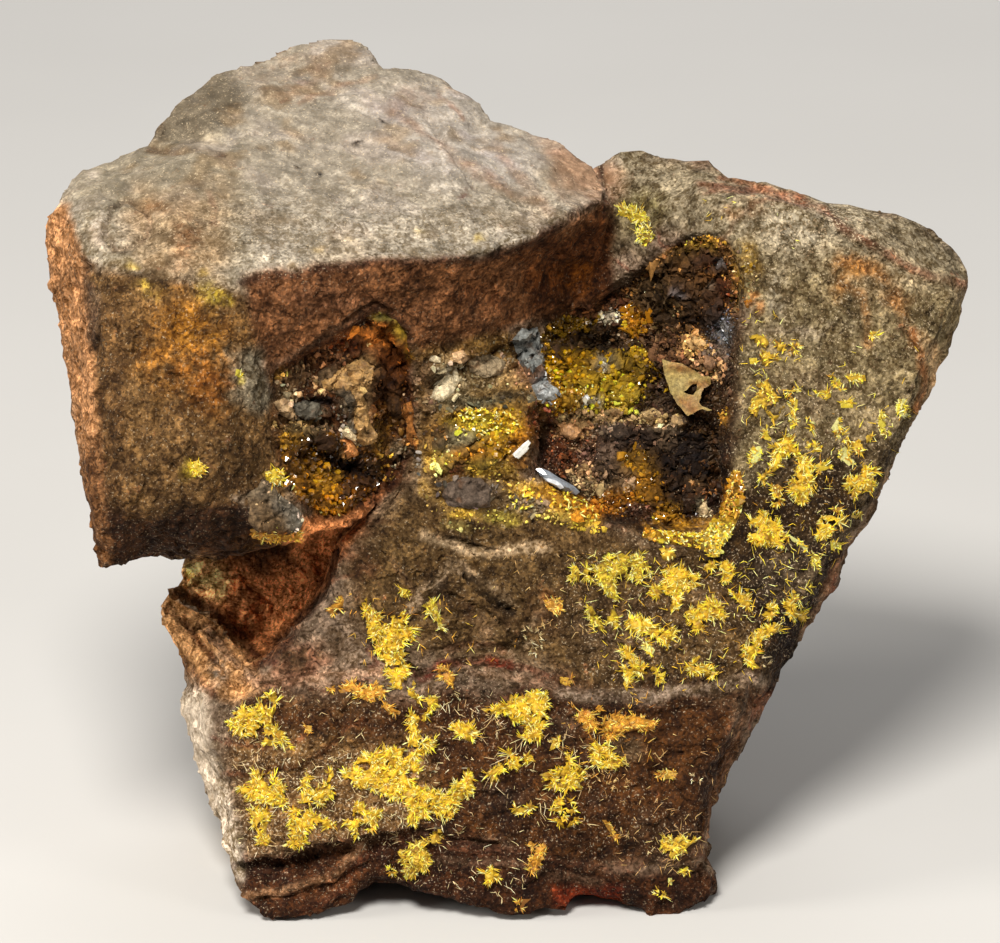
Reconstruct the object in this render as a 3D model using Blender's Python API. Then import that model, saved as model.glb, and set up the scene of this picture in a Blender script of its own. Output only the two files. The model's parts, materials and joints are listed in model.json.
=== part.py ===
"""Mimetite specimen: a broken block of grey-brown volcanic rock with two crystal-lined cavities,
dusted with sprays of yellow needle crystals.  Metres, +Z up, the display face looks along -Y.

The rock is drawn on a display plane that leans back by LEAN degrees and is seen from a viewing
point VIEW_MM in front of it.  A point of the drawing is (u, v, p): u to the right and v downwards
in drawing units of UNIT_MM, and p in millimetres proud of the display plane.
"""
import math

import bmesh
import bpy
from mathutils import Matrix, Vector
from mathutils.bvhtree import BVHTree
from mathutils.geometry import delaunay_2d_cdt

# ---------------------------------------------------------------- driving dimensions
UNIT_MM = 0.0667          # one drawing unit
VIEW_MM = 450.0           # distance of the viewing point from the display plane
LEAN = math.radians(20)   # lean of the display plane
MID_U, MID_V = 500.0, 471.5
PLANE_Z_MM = 27.45        # height of the drawing's middle above the surface it rests on
DATUM_MM = (0.67, 7.28, 0.0)  # middle of the footprint, which becomes the origin
BACK_P = -42.0            # how far back the two rough solids run before the back is broken off
TAPER = 0.86              # their size at the back
VOXEL_MM = 0.85           # grain of the faceted rock
ROCK_SHARE = 0.155         # share of the triangles kept on it
GAP_MM = 0.32             # crystal to rock

MM = 0.001
RIGHT = Vector((1, 0, 0))
AHEAD = Vector((0, math.cos(LEAN), -math.sin(LEAN)))
UP = Vector((0, math.sin(LEAN), math.cos(LEAN)))


def place(u, v, p):
    """Drawing point to metres in the part's frame."""
    k = UNIT_MM * (VIEW_MM - p) / VIEW_MM
    q = RIGHT * ((u - MID_U) * k) + UP * ((MID_V - v) * k) - AHEAD * p
    q += Vector((0, 0, PLANE_Z_MM)) - Vector(DATUM_MM)
    return q * MM


def drawn(q):
    """Metres in the part's frame to a drawing point."""
    q = Vector(q) / MM - Vector((0, 0, PLANE_Z_MM)) + Vector(DATUM_MM)
    p = -q.dot(AHEAD)
    k = UNIT_MM * (VIEW_MM - p) / VIEW_MM
    return MID_U + q.dot(RIGHT) / k, MID_V - q.dot(UP) / k, p


def line(text):
    return [tuple(float(x) for x in t.split(",")) for t in text.split()]


# ---------------------------------------------------------------- the slab: the larger, rear mass
SLAB_RIM = line("""
600,163,-8.5 613,158,-9 620,152,-9 640,152,-9.5 660,158,-9 690,162,-8 705,160,-8 716,165,-7.5
726,172,-7 745,177,-6.5 765,181,-6.3 785,188,-6 805,194,-6 828,201,-6 850,206,-6 872,212,-6.2
895,220,-6.5 915,226,-6.8 932,233,-7 942,242,-7 952,250,-7 962,262,-7 973,278,-7.2 966,290,-6
962,306,-5.5 960,320,-5.5 955,332,-5.5 953,346,-5.5 945,362,-6 938,376,-6 934,390,-6 924,405,-5.5
915,424,-5 905,445,-5 893,470,-5 881,494,-4.8 870,514,-4.8 858,533,-4.6 846,552,-4.6 838,570,-4.4
834,588,-4 821,604,-4 812,620,-4 800,636,-3.8 794,647,-3.6 783,662,-3.2 779,677,-3 772,692,-2.6
764,707,-2.4 756,723,-2.2 749,737,-2.2 742,750,-2 731,764,-2 722,781,-2 714,801,-2 709,817,-2
707,832,-2 708,850,-1.5 705,864,-1 711,872,-1 717,880,-1.5 712,890,-0.5 703,897,0 690,903,0.5
680,912,0.6 672,918,0.8 662,919,0.8 652,915,0.8 640,907,0.8 622,901,0.8 600,898,0.8 580,897,0.8
574,904,1.5 567,911,1.8 556,912,1.8 545,909,1.8 530,912,2 512,913,2 490,909,2 470,903,2
455,897,1.8 440,890,1.5 425,888,1.4 412,888,1.2 400,881,0.6 385,879,0 372,881,0 362,890,0.8
350,899,1.2 335,908,1.6 318,915,2 300,919,2.2 283,921,2.4 270,918,2.2 260,912,2 252,901,1.8
241,892,1.4 233,876,1 226,858,0 220,841,-1 215,826,-2 210,810,-3 204,791,-4 198,775,-5
192,756,-6 186,736,-7 180,716,-8 181,698,-8 188,685,-6.5 184,673,-6 180,660,-6 176,645,-6.2
169,631,-6.5 163,618,-7 162,607,-7.2 167,600,-7.2 168,592,-7.5 178,588,-9 181,571,-11
186,553,-12 205,520,-12 240,480,-11 300,430,-9 360,370,-8 430,300,-8 520,230,-9
""")
SLAB_LINES = [line(t) for t in (
    # top edge of the display face, along the rust vein
    "612,203,-7 640,205,-6.2 675,203,-4.8 705,196,-3.6 740,196,-2.8 780,198,-2.6 812,207,-2.6"
    " 842,222,-2.6 868,241,-2.6 896,259,-3 921,273,-3.4 946,281,-4 962,285,-5.2",
    # right edge of the display face
    "948,302,-3.4 944,328,-3 930,352,-2.2 920,375,-1.9 914,398,-1.8 899,427,-1.6 886,452,-1.4"
    " 872,474,-1.2 851,506,-0.9 832,536,-0.7 817,566,-0.5 806,590,-0.3 792,611,-0.1 772,643,0.2"
    " 760,666,0.5",
    "742,712,1.8 722,745,2 708,770,2 697,800,2 693,830,2 694,856,1.8",
    # left edge, above the pale side
    "207,692,-1.4 209,712,-0.8 214,738,-0.2 222,764,0.4 234,790,1.4 238,820,2 239,846,2.2",
    # rim of the front plate over the recess, and its foot
    "264,678,-0.2 286,650,0.4 310,620,0.8 330,594,1 341,566,1 352,541,1.1 370,520,1.2 389,499,1.2"
    " 402,476,1.2 418,457,1 414,430,0.8 414,402,0.6 421,380,0.4 440,366,0 470,354,-0.8"
    " 497,345,-1.8 522,339,-3.2",
    "252,664,-4.2 276,642,-5.5 300,613,-6.6 320,588,-7.4 331,562,-8 342,536,-8 360,513,-7.5"
    " 378,492,-6.5 391,470,-5.5 404,450,-5 402,430,-4.8 402,402,-4.5 409,374,-4.5 432,352,-5"
    " 465,338,-5.5 497,328,-6.2 525,320,-7",
    # beds of the left ridge
    "180,593,-9 203,600,-8.4 228,612,-7.6 243,634,-6.8",
    "172,598,-7 196,606,-6 220,622,-5 238,648,-4 250,672,-2",
    "170,607,-7.6 198,618,-6.4 218,640,-5.2 236,668,-3.2",
    "170,618,-6.4 202,629,-4.4 222,654,-2.8 244,684,-0.8",
    "176,632,-6 196,656,-4.2 202,676,-2.8",
    # raised sheet with a peak, and the foot of its edge
    "392,648,1.7 402,622,2 422,600,2.2 440,574,2.4 452,568,2.4 464,579,2.3 480,600,2.1"
    " 500,615,1.8 516,636,1.5",
    "384,645,1.1 394,616,1.1 414,594,1.1 434,566,1.1 452,559,1.1 471,572,1 487,593,1"
    " 507,608,0.9 525,634,0.8",
    # ledge across the middle: set back line, then proud line
    "264,691,0.1 292,683,0.6 330,673,0.9 362,669,1 392,672,1 424,670,1 444,661,1 470,655,0.9"
    " 496,652,0.8 520,662,0.7 545,672,0.8 566,682,0.9 600,691,1 640,689,0.9 680,684,0.7"
    " 720,680,0.6 750,682,0.7",
    "258,706,1.6 292,701,2.2 330,697,2.6 362,696,2.8 392,698,3 420,694,3 450,690,3 480,688,3"
    " 510,690,2.8 545,695,2.6 580,704,2.6 620,707,2.6 660,706,2.4 700,703,2.2 735,701,1.9",
    # lower ledge, proud, then the hollow under it
    "243,856,2.4 280,853,2.8 310,846,3 342,842,3.2 366,835,3.3 386,829,3.4 412,826,3.4"
    " 440,832,3.2 468,842,3.1 500,848,3 530,848,3 560,862,2.6 600,868,2.3 650,872,1.8 688,872,1.2",
    "245,867,1.3 282,864,1.1 312,858,0.9 346,853,0.9 370,846,1.1 390,840,1.7 412,837,2.5",
    "254,892,2 290,887,2.3 318,877,2.3 342,866,2.3 360,856,2.2",
    "258,899,1.6 292,896,1.5 324,886,1.4 350,873,1.4 370,859,1.4",
    "266,908,2.2 296,908,2.4 330,897,2.2 356,882,1.9 376,866,1.7",
)]
# large cavity: its rim, and the line where its walls meet the floor
VUG_RIM = line("""
715,231,-2.2 733,243,-1.6 745,262,-1.2 750,285,-1 745,312,-0.8 740,335,-0.7 738,370,-0.6
733,405,-0.5 727,432,-0.4 724,458,-0.4 734,470,-0.3 739,495,-0.2 735,520,-0.1 722,538,0
700,550,0.1 672,546,0.2 640,535,0.3 612,525,0.4 590,515,0.5 566,503,0.6 545,490,0.7 528,474,0.8
522,452,0.8 530,430,0.7 527,412,0.4 536,402,-0.2 556,402,-0.8 560,392,-1.4 548,378,-2
536,362,-2.6 530,345,-3.4 542,328,-5 560,312,-6.5 585,300,-7.2 612,285,-6.8 636,268,-5.6
652,252,-4.6 672,242,-3.8 694,233,-3
""")
VUG_FLOOR = line("""
712,245,-4.2 726,258,-4 735,275,-3.8 736,300,-3.6 728,325,-3.6 724,350,-3.8 720,380,-4.4
717,410,-5 716,440,-5.4 714,470,-5.8 718,495,-5.8 714,516,-5 698,530,-3.6 672,530,-3
642,521,-2.8 614,512,-2.4 592,502,-2.2 570,489,-2.2 552,474,-2.4 542,456,-2.6 545,436,-3
556,420,-3.6 572,408,-4.5 575,392,-5.5 566,375,-6.4 556,355,-7.2 560,335,-8 580,322,-8.8
604,312,-9 630,298,-8.4 650,280,-7.4 668,262,-6 690,250,-4.8
""")
SLAB_POINTS = line("""
690,280,-4.5 670,310,-6.5 640,335,-8.5 600,340,-9.5 600,370,-8 620,400,-7 660,380,-7
700,360,-5 600,440,-5 650,450,-6.5 690,450,-6.5 690,490,-6.5 650,490,-5 610,480,-4
800,240,-2 760,215,-2.6 790,300,-1.3 850,280,-1.8 900,300,-2.4 780,380,-0.9 850,360,-1.5
900,370,-1.9 760,460,-0.5 820,450,-0.9 870,430,-1.2 760,540,-0.3 810,520,-0.5 700,600,0.2
640,600,0.4 580,600,0.6 540,600,0.9 700,650,0.5 640,650,0.7 590,650,0.8 560,560,0.5 500,560,0.9
470,530,1 450,500,1.1 500,500,0.8 430,540,1.2 380,560,1.2 360,600,1.2 340,640,1.1 310,665,0.6
620,180,-7.6 660,185,-6.6 620,240,-6.8 650,225,-5.4 690,215,-3.9 200,575,-10.4 240,570,-9.8
280,570,-9.2 300,545,-9 230,530,-11 270,600,-8.8 290,590,-8.6 320,540,-8.6 262,626,-7.6
195,720,-4.2 200,703,-4 210,772,-2.6 222,802,-1 228,832,0 300,740,2.4 400,740,3 500,760,3.2
600,760,3 690,740,2.2 280,800,2.6 400,790,3.4 500,800,3.4 600,820,3 670,820,2.4 470,870,3
520,885,2.6 620,885,1.8 440,430,0.9 480,400,-0.2 440,395,0.5 500,440,0.9 450,455,1.1
480,370,-1 510,400,-0.4 452,610,2.2 440,640,1.8 480,635,1.7
""")

# ---------------------------------------------------------------- the upper block, which overhangs
BLOCK_RIM = line("""
60,205,2 64,194,1 70,186,0.4 76,176,-0.4 84,169,-1 96,166,-1.4 110,161,-1.8 125,156,-2
140,150,-2.4 152,147,-2.6 155,139,-3.2 159,129,-3.8 166,121,-4.6 173,111,-5.2 182,101,-6
195,93,-6.6 206,84,-7.4 216,75,-8 229,69,-8.8 241,60,-9.6 256,55,-10.2 271,50,-10.8
285,43,-11.4 297,35,-12 311,30,-12.4 325,28,-12.8 338,25,-13 351,30,-13 365,34,-12.8
372,41,-12.4 372,53,-11 376,64,-10 382,70,-9.8 395,68,-10.2 408,69,-10.4 421,73,-10.4
436,76,-10.4 444,81,-10.2 450,89,-9.6 461,94,-9.4 471,103,-9 481,109,-8.8 492,122,-8.2
503,126,-8 516,129,-8 530,135,-7.6 546,138,-7.4 561,142,-7 571,151,-6.6 579,159,-6.2
588,166,-5.8 598,176,-5.4 605,190,-4.6 606,206,-4 606,228,-5 603,250,-6 597,270,-7.2
582,288,-6.6 562,305,-5.4 541,322,-3.8 521,335,-2.2 496,344,-0.8 471,351,0.2 446,362,1.4
426,372,2.2 417,384,1.6 413,410,0 412,438,-0.5 404,462,-0.5 392,487,0 376,503,1.4 352,520,3
330,526,4 306,532,5 286,540,5.2 256,546,5 216,554,5 186,557,5 156,557,5.6 141,560,6.2
121,565,7.2 104,569,8.4 99,560,7.6 95,541,6.8 90,520,6.2 86,500,5.6 82,480,5 79,460,4.6
76,441,4.2 72,420,3.8 71,400,3.4 69,384,3 66,365,2.6 64,345,2.2 61,325,1.8 57,306,1.4
51,286,1.2 46,266,0.8 42,246,0.6 45,226,0.8 52,212,1.2
""")
BLOCK_LINES = [line(t) for t in (
    # front left arris, between the left side and the front
    "64,210,3.6 74,236,6.4 84,258,8 92,284,9.2 97,328,10 96,365,10.2 91,400,10.2 91,440,10"
    " 90,470,9.8 92,500,9.8 97,536,9.6",
    # shoulder under the top
    "84,258,8 120,270,9.6 160,282,10.4 200,285,10.8 238,278,10.6",
    # front arris of the top
    "242,268,10.2 280,267,9.8 320,265,9.4 350,261,9 390,259,8.4 430,260,7.6 470,256,6.6"
    " 500,248,5.4 522,240,4.2 546,230,2.8 566,216,1.4 586,207,-0.4 601,203,-2",
    # upright arris between the left front and the shaded front
    "242,290,11 246,335,11 256,362,10.2 260,395,9.6 254,425,9.8 258,455,9.8",
    # turn to the underside
    "97,536,9.6 130,511,10.6 170,503,11 210,505,10.8 242,515,10 262,528,8.8",
    # rim of the small cavity, and the line where its wall meets the floor
    "305,518,7 300,497,7.6 286,475,8.2 280,450,8.4 270,425,8.6 266,398,8.8 276,372,8.4"
    " 300,351,8.2 330,339,7.8 355,325,7.4 376,309,6.8 396,316,5.8 410,334,5 414,356,3.6",
    "322,512,3 312,492,3 300,470,3.6 292,448,4.6 284,424,6 280,400,6.6 292,376,6 318,358,5.2"
    " 345,346,4.6 372,332,3.6 390,336,2.8 400,355,1.6 403,385,0.4",
    # small step on the top
    "156,151,-2.2 190,152,-0.6 225,154,0.4 262,146,-0.6",
    "162,141,-3.4 190,142,-2.6 222,142,-1.8 258,132,-2.6",
)]
BLOCK_POINTS = line("""
130,330,11.4 180,340,12 220,340,11.8 130,400,11.8 190,400,12.4 230,400,11.2 130,460,11.6
190,470,12 235,460,11 150,300,11 210,300,11.2 112,310,10.6 240,490,10.4 150,535,8.6 200,530,8.8
240,535,7.6 275,500,8.6 265,480,9 290,520,7 90,232,7.2 85,205,4.6 100,190,3 130,180,2
130,215,5.4 110,245,8.2 150,250,8.8 170,220,7.2 150,180,2.4 180,170,1.6 200,245,8.6 215,200,5
180,200,5 250,220,6.6 300,220,6 350,220,5.4 400,215,4.6 450,210,3.4 500,200,1.2 550,190,-1.8
250,180,3 300,170,1.6 350,160,0 400,160,-0.6 450,150,-2.4 500,160,-2.6 550,165,-4 300,120,-3.8
350,110,-5 400,110,-5.4 450,115,-6 250,100,-5.4 300,70,-9 340,60,-10 360,80,-8.6 420,90,-8.4
210,115,-3.6 580,185,-3.8 300,300,9.6 350,290,8.8 400,290,6.8 300,330,8.8 450,300,4.6
430,335,4 500,285,1.8 480,320,1.6 550,260,-1.6 530,300,-1.4 580,240,-3.8 570,270,-4.4
265,300,10.6 270,340,9.4 330,385,5 350,400,4.6 375,380,2.4 370,420,2.6 340,440,3.4 385,430,0.4
380,470,0 350,490,1.6 330,470,2.6
""")

# broken faces that shape the back: a point in millimetres from the middle of the drawing's foot
# (before DATUM_MM is taken off) and the outward direction
BACK_FACES = (
    ((0, 26.2, 25), (0.06, 1.0, 0.05)),
    ((-20, 18.0, 25), (-0.60, 0.80, 0.04)),
    ((31, 16.5, 30), (0.45, 0.89, 0.02)),
    ((-10, 29.5, 52.5), (-0.15, 0.66, 0.74)),
    ((4, 24.0, 9), (0.08, 0.86, -0.50)),
    ((-21, 9.0, 8), (-0.82, 0.46, -0.34)),
    ((20, 15.0, 15.4), (0.75, 0.45, -0.48)),
    ((18, 21.5, 40.0), (0.30, 0.62, 0.72)),
    ((-28, 9.0, 30), (-0.93, 0.30, -0.20)),
)


# ---------------------------------------------------------------- helpers
def clear():
    for o in list(bpy.data.objects):
        bpy.data.objects.remove(o, do_unlink=True)


def add(name, mesh):
    o = bpy.data.objects.new(name, mesh)
    bpy.context.scene.collection.objects.link(o)
    return o


def helper(o):
    o.hide_render = True
    o.display_type = "WIRE"
    return o


def inside(u, v, rim):
    hit = False
    for (x0, y0, _), (x1, y1, _) in zip(rim, rim[1:] + rim[:1]):
        if (y0 > v) != (y1 > v) and u < x0 + (v - y0) * (x1 - x0) / (y1 - y0):
            hit = not hit
    return hit


def net(rim, lines, points, loops=()):
    """Constrained triangulation of a drawing: its points (u, v, p), its triangles, and the rim."""
    pts, edges, index = [], [], {}

    def put(q):
        key = (round(q[0], 3), round(q[1], 3))
        if key not in index:
            index[key] = len(pts)
            pts.append(q)
        return index[key]

    ring = [put(q) for q in rim]
    edges += list(zip(ring, ring[1:] + ring[:1]))
    for loop in loops:
        ids = [put(q) for q in loop]
        edges += list(zip(ids, ids[1:] + ids[:1]))
    for part in lines:
        ids = [put(q) for q in part]
        edges += list(zip(ids, ids[1:]))
    for q in points:
        put(q)
    flat = [Vector(q[:2]) for q in pts]
    verts, _, faces, origin, _, _ = delaunay_2d_cdt(flat, edges, [], 0, 1e-4)
    depth = []
    for co, source in zip(verts, origin):
        if source:
            depth.append(pts[source[0]][2])
        else:  # where two lines cross, the nearest drawn point gives the depth
            near = sorted(pts, key=lambda q: (q[0] - co.x) ** 2 + (q[1] - co.y) ** 2)[:2]
            depth.append((near[0][2] + near[1][2]) / 2)
    kept = []
    for f in faces:
        cu = sum(verts[i].x for i in f) / 3
        cv = sum(verts[i].y for i in f) / 3
        if inside(cu, cv, rim):
            kept.append(f)
    return [(co.x, co.y, p) for co, p in zip(verts, depth)], kept


def rough_solid(name, drawing, triangles):
    """The drawn front, run back to BACK_P with a taper, as one closed mesh."""
    used = sorted({i for f in triangles for i in f})
    cu = sum(drawing[i][0] for i in used) / len(used)
    cv = sum(drawing[i][1] for i in used) / len(used)
    bm = bmesh.new()
    front = {i: bm.verts.new(place(*drawing[i])) for i in used}
    back = {
        i: bm.verts.new(
            place(cu + (drawing[i][0] - cu) * TAPER, cv + (drawing[i][1] - cv) * TAPER, BACK_P)
        )
        for i in used
    }
    count = {}
    for f in triangles:
        bm.faces.new([front[i] for i in f])
        bm.faces.new([back[i] for i in reversed(f)])
        for a, b in zip(f, f[1:] + f[:1]):
            count.setdefault(frozenset((a, b)), []).append((a, b))
    for pair in count.values():
        if len(pair) == 1:
            a, b = pair[0]
            bm.faces.new([front[b], front[a], back[a], back[b]])
    bmesh.ops.recalc_face_normals(bm, faces=bm.faces)
    bmesh.ops.triangulate(bm, faces=bm.faces)
    if bm.calc_volume(signed=True) < 0:
        bmesh.ops.reverse_faces(bm, faces=bm.faces)
    mesh = bpy.data.meshes.new(name)
    bm.to_mesh(mesh)
    bm.free()
    return mesh


def envelope_mesh():
    """A large box broken off along each of BACK_FACES."""
    bm = bmesh.new()
    bmesh.ops.create_cube(bm, size=0.16)
    bmesh.ops.translate(bm, vec=Vector((0, -0.02, 0.03)), verts=bm.verts)
    for point, way in BACK_FACES:
        geom = bm.verts[:] + bm.edges[:] + bm.faces[:]
        bmesh.ops.bisect_plane(
            bm, geom=geom, dist=1e-7, clear_outer=True,
            plane_co=(Vector(point) - Vector(DATUM_MM)) * MM, plane_no=Vector(way).normalized(),
        )
        open_edges = [e for e in bm.edges if e.is_boundary]
        bmesh.ops.holes_fill(bm, edges=open_edges, sides=0)
    bmesh.ops.recalc_face_normals(bm, faces=bm.faces)
    mesh = bpy.data.meshes.new("back_envelope")
    bm.to_mesh(mesh)
    bm.free()
    return mesh


def clouds(name, size_mm, depth=2):
    t = bpy.data.textures.new(name, "CLOUDS")
    t.noise_scale = size_mm * MM
    t.noise_depth = depth
    t.noise_basis = "ORIGINAL_PERLIN"
    return t


def displace(o, texture, strength_mm):
    m = o.modifiers.new(texture.name, "DISPLACE")
    m.texture = texture
    m.texture_coords = "LOCAL"
    m.mid_level = 0.5
    m.strength = strength_mm * MM
    return m


def boolean(o, other, operation):
    m = o.modifiers.new(other.name, "BOOLEAN")
    m.operation = operation
    m.solver = "EXACT"
    m.object = other
    return m


def material(name, colour, roughness, metallic=0.0):
    m = bpy.data.materials.new(name)
    m.use_nodes = True
    b = m.node_tree.nodes["Principled BSDF"]
    b.inputs["Base Color"].default_value = (*colour, 1)
    b.inputs["Roughness"].default_value = roughness
    b.inputs["Metallic"].default_value = metallic
    m.diffuse_color = (*colour, 1)
    return m


# ---------------------------------------------------------------- the rock
def build_rock():
    slab_net = net(SLAB_RIM, SLAB_LINES, SLAB_POINTS, (VUG_RIM, VUG_FLOOR))
    block_net = net(BLOCK_RIM, BLOCK_LINES, BLOCK_POINTS)
    rock = add("matrix", rough_solid("matrix", *slab_net))
    block = helper(add("rough_block", rough_solid("rough_block", *block_net)))
    envelope = helper(add("rough_back", envelope_mesh()))
    grain = envelope.modifiers.new("grain", "REMESH")
    grain.mode = "VOXEL"
    grain.voxel_size = 2.4 * MM
    displace(envelope, clouds("back_swell", 15.0, 2), 5.0)
    boolean(rock, block, "UNION")
    boolean(rock, envelope, "INTERSECT")
    remesh = rock.modifiers.new("grain", "REMESH")
    remesh.mode = "VOXEL"
    remesh.voxel_size = VOXEL_MM * MM
    displace(rock, clouds("swell", 9.0, 1), 1.3)
    displace(rock, clouds("chips", 3.2, 2), 0.55)
    thin = rock.modifiers.new("facets", "DECIMATE")
    thin.ratio = ROCK_SHARE
    table = bmesh.new()
    bmesh.ops.create_cube(table, size=0.16)
    bmesh.ops.translate(table, vec=Vector((0, 0, -0.08)), verts=table.verts)
    mesh = bpy.data.meshes.new("resting_plane")
    table.to_mesh(mesh)
    table.free()
    under = helper(add("resting_plane", mesh))
    boolean(rock, under, "DIFFERENCE")
    rock.data.materials.append(material("matrix_rock", (0.16, 0.115, 0.085), 0.85))
    return rock


# ---------------------------------------------------------------- the crystals
EYE = place(MID_U, MID_V, VIEW_MM)


class Surface:
    """The front of the rock as seen from the viewing point: depth p for a drawing point."""

    def __init__(self, o):
        graph = bpy.context.evaluated_depsgraph_get()
        self.tree = BVHTree.FromObject(o, graph)
        self.seen = {}

    def depth(self, u, v):
        key = (round(u), round(v))
        if key not in self.seen:
            way = (place(key[0], key[1], 0.0) - EYE).normalized()
            hit = self.tree.ray_cast(EYE, way)[0]
            self.seen[key] = drawn(hit)[2] if hit else None
        return self.seen[key]

    def proud(self, u, v, reach):
        """The most proud depth within reach of the point."""
        found = []
        step = 2.0
        n = int(reach / step)
        for i in range(-n, n + 1):
            for j in range(-n, n + 1):
                if i * i + j * j <= n * n:
                    p = self.depth(u + i * step, v + j * step)
                    if p is not None:
                        found.append(p)
        return max(found) if found else 0.0


def to_edge(u, v, rim):
    best = 1e9
    q = Vector((u, v))
    for a, b in zip(rim, rim[1:] + rim[:1]):
        a, b = Vector(a[:2]), Vector(b[:2])
        t = max(0.0, min(1.0, (q - a).dot(b - a) / max((b - a).length_squared, 1e-9)))
        best = min(best, (a + (b - a) * t - q).length)
    return best


def crust(name, surface, outline, height_mm, edge_mm, spacing, finish, hole=None):
    """A closed skin of crystals over the rock inside an outline of the drawing."""
    rim = [(u, v, 0.0) for u, v in line(outline)]
    ring = list(rim)
    loops = [ring]
    if hole:
        loops.append([(u, v, 0.0) for u, v in line(hole)])
    us, vs = [q[0] for q in rim], [q[1] for q in rim]
    inner = []
    row = 0
    v = min(vs) + spacing / 2
    while v < max(vs):
        u = min(us) + spacing * (0.25 if row % 2 else 0.75)
        while u < max(us):
            clear_of_hole = not hole or to_edge(u, v, loops[1]) > spacing * 0.45
            if inside(u, v, rim) and to_edge(u, v, rim) > spacing * 0.5 and clear_of_hole:
                inner.append((u, v, 0.0))
            u += spacing
        v += spacing * 0.87
        row += 1
    pts = [q for loop in loops for q in loop] + inner
    edges, start = [], 0
    for loop in loops:
        n = len(loop)
        edges += [(start + i, start + (i + 1) % n) for i in range(n)]
        start += n
    flat = [Vector(q[:2]) for q in pts]
    verts, _, faces, _, _, _ = delaunay_2d_cdt(flat, edges, [], 0, 1e-4)
    kept = []
    for f in faces:
        cu = sum(verts[i].x for i in f) / 3
        cv = sum(verts[i].y for i in f) / 3
        if inside(cu, cv, rim) and not (hole and inside(cu, cv, loops[1])):
            kept.append(f)
    reach = [0.0] * len(verts)
    for f in kept:
        for a in f:
            for b in f:
                reach[a] = max(reach[a], (verts[a] - verts[b]).length)
    bm = bmesh.new()
    low, top = [], []
    for i, co in enumerate(verts):
        under = surface.proud(co.x, co.y, reach[i] + 2.0) + GAP_MM
        deep = min([to_edge(co.x, co.y, loop) for loop in loops])
        rise = min(1.0, deep / (spacing * 0.9))
        wave = 0.5 + 0.5 * math.sin(co.x * 0.71 + 1.3 * math.sin(co.y * 0.37))
        high = under + edge_mm + (height_mm - edge_mm) * rise * (0.75 + 0.25 * wave)
        low.append(bm.verts.new(place(co.x, co.y, under)))
        top.append(bm.verts.new(place(co.x, co.y, high)))
    count = {}
    for f in kept:
        bm.faces.new([top[i] for i in f])
        bm.faces.new([low[i] for i in reversed(f)])
        for a, b in zip(f, f[1:] + f[:1]):
            count.setdefault(frozenset((a, b)), []).append((a, b))
    for pair in count.values():
        if len(pair) == 1:
            a, b = pair[0]
            bm.faces.new([top[b], top[a], low[a], low[b]])
    bmesh.ops.recalc_face_normals(bm, faces=bm.faces)
    bmesh.ops.triangulate(bm, faces=bm.faces)
    if bm.calc_volume(signed=True) < 0:
        bmesh.ops.reverse_faces(bm, faces=bm.faces)
    loose = [x for x in bm.verts if not x.link_faces]
    bmesh.ops.delete(bm, geom=loose, context="VERTS")
    mesh = bpy.data.meshes.new(name)
    bm.to_mesh(mesh)
    bm.free()
    mesh.materials.append(finish)
    return add(name, mesh)


def prism(name, surface, start, end, width_mm, finish):
    """A six-sided crystal lying on the rock between two drawing points."""
    reach = 26.0
    a = place(start[0], start[1], surface.proud(start[0], start[1], reach) + GAP_MM + width_mm)
    b = place(end[0], end[1], surface.proud(end[0], end[1], reach) + GAP_MM + width_mm)
    bm = bmesh.new()
    bmesh.ops.create_cone(
        bm, cap_ends=True, segments=6, radius1=width_mm * MM / 2, radius2=width_mm * MM / 2,
        depth=(b - a).length,
    )
    turn = Vector((0, 0, 1)).rotation_difference(b - a).to_matrix().to_4x4()
    bmesh.ops.transform(bm, matrix=Matrix.Translation((a + b) / 2) @ turn, verts=bm.verts)
    bmesh.ops.triangulate(bm, faces=bm.faces)
    mesh = bpy.data.meshes.new(name)
    bm.to_mesh(mesh)
    bm.free()
    mesh.materials.append(finish)
    return add(name, mesh)


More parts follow.
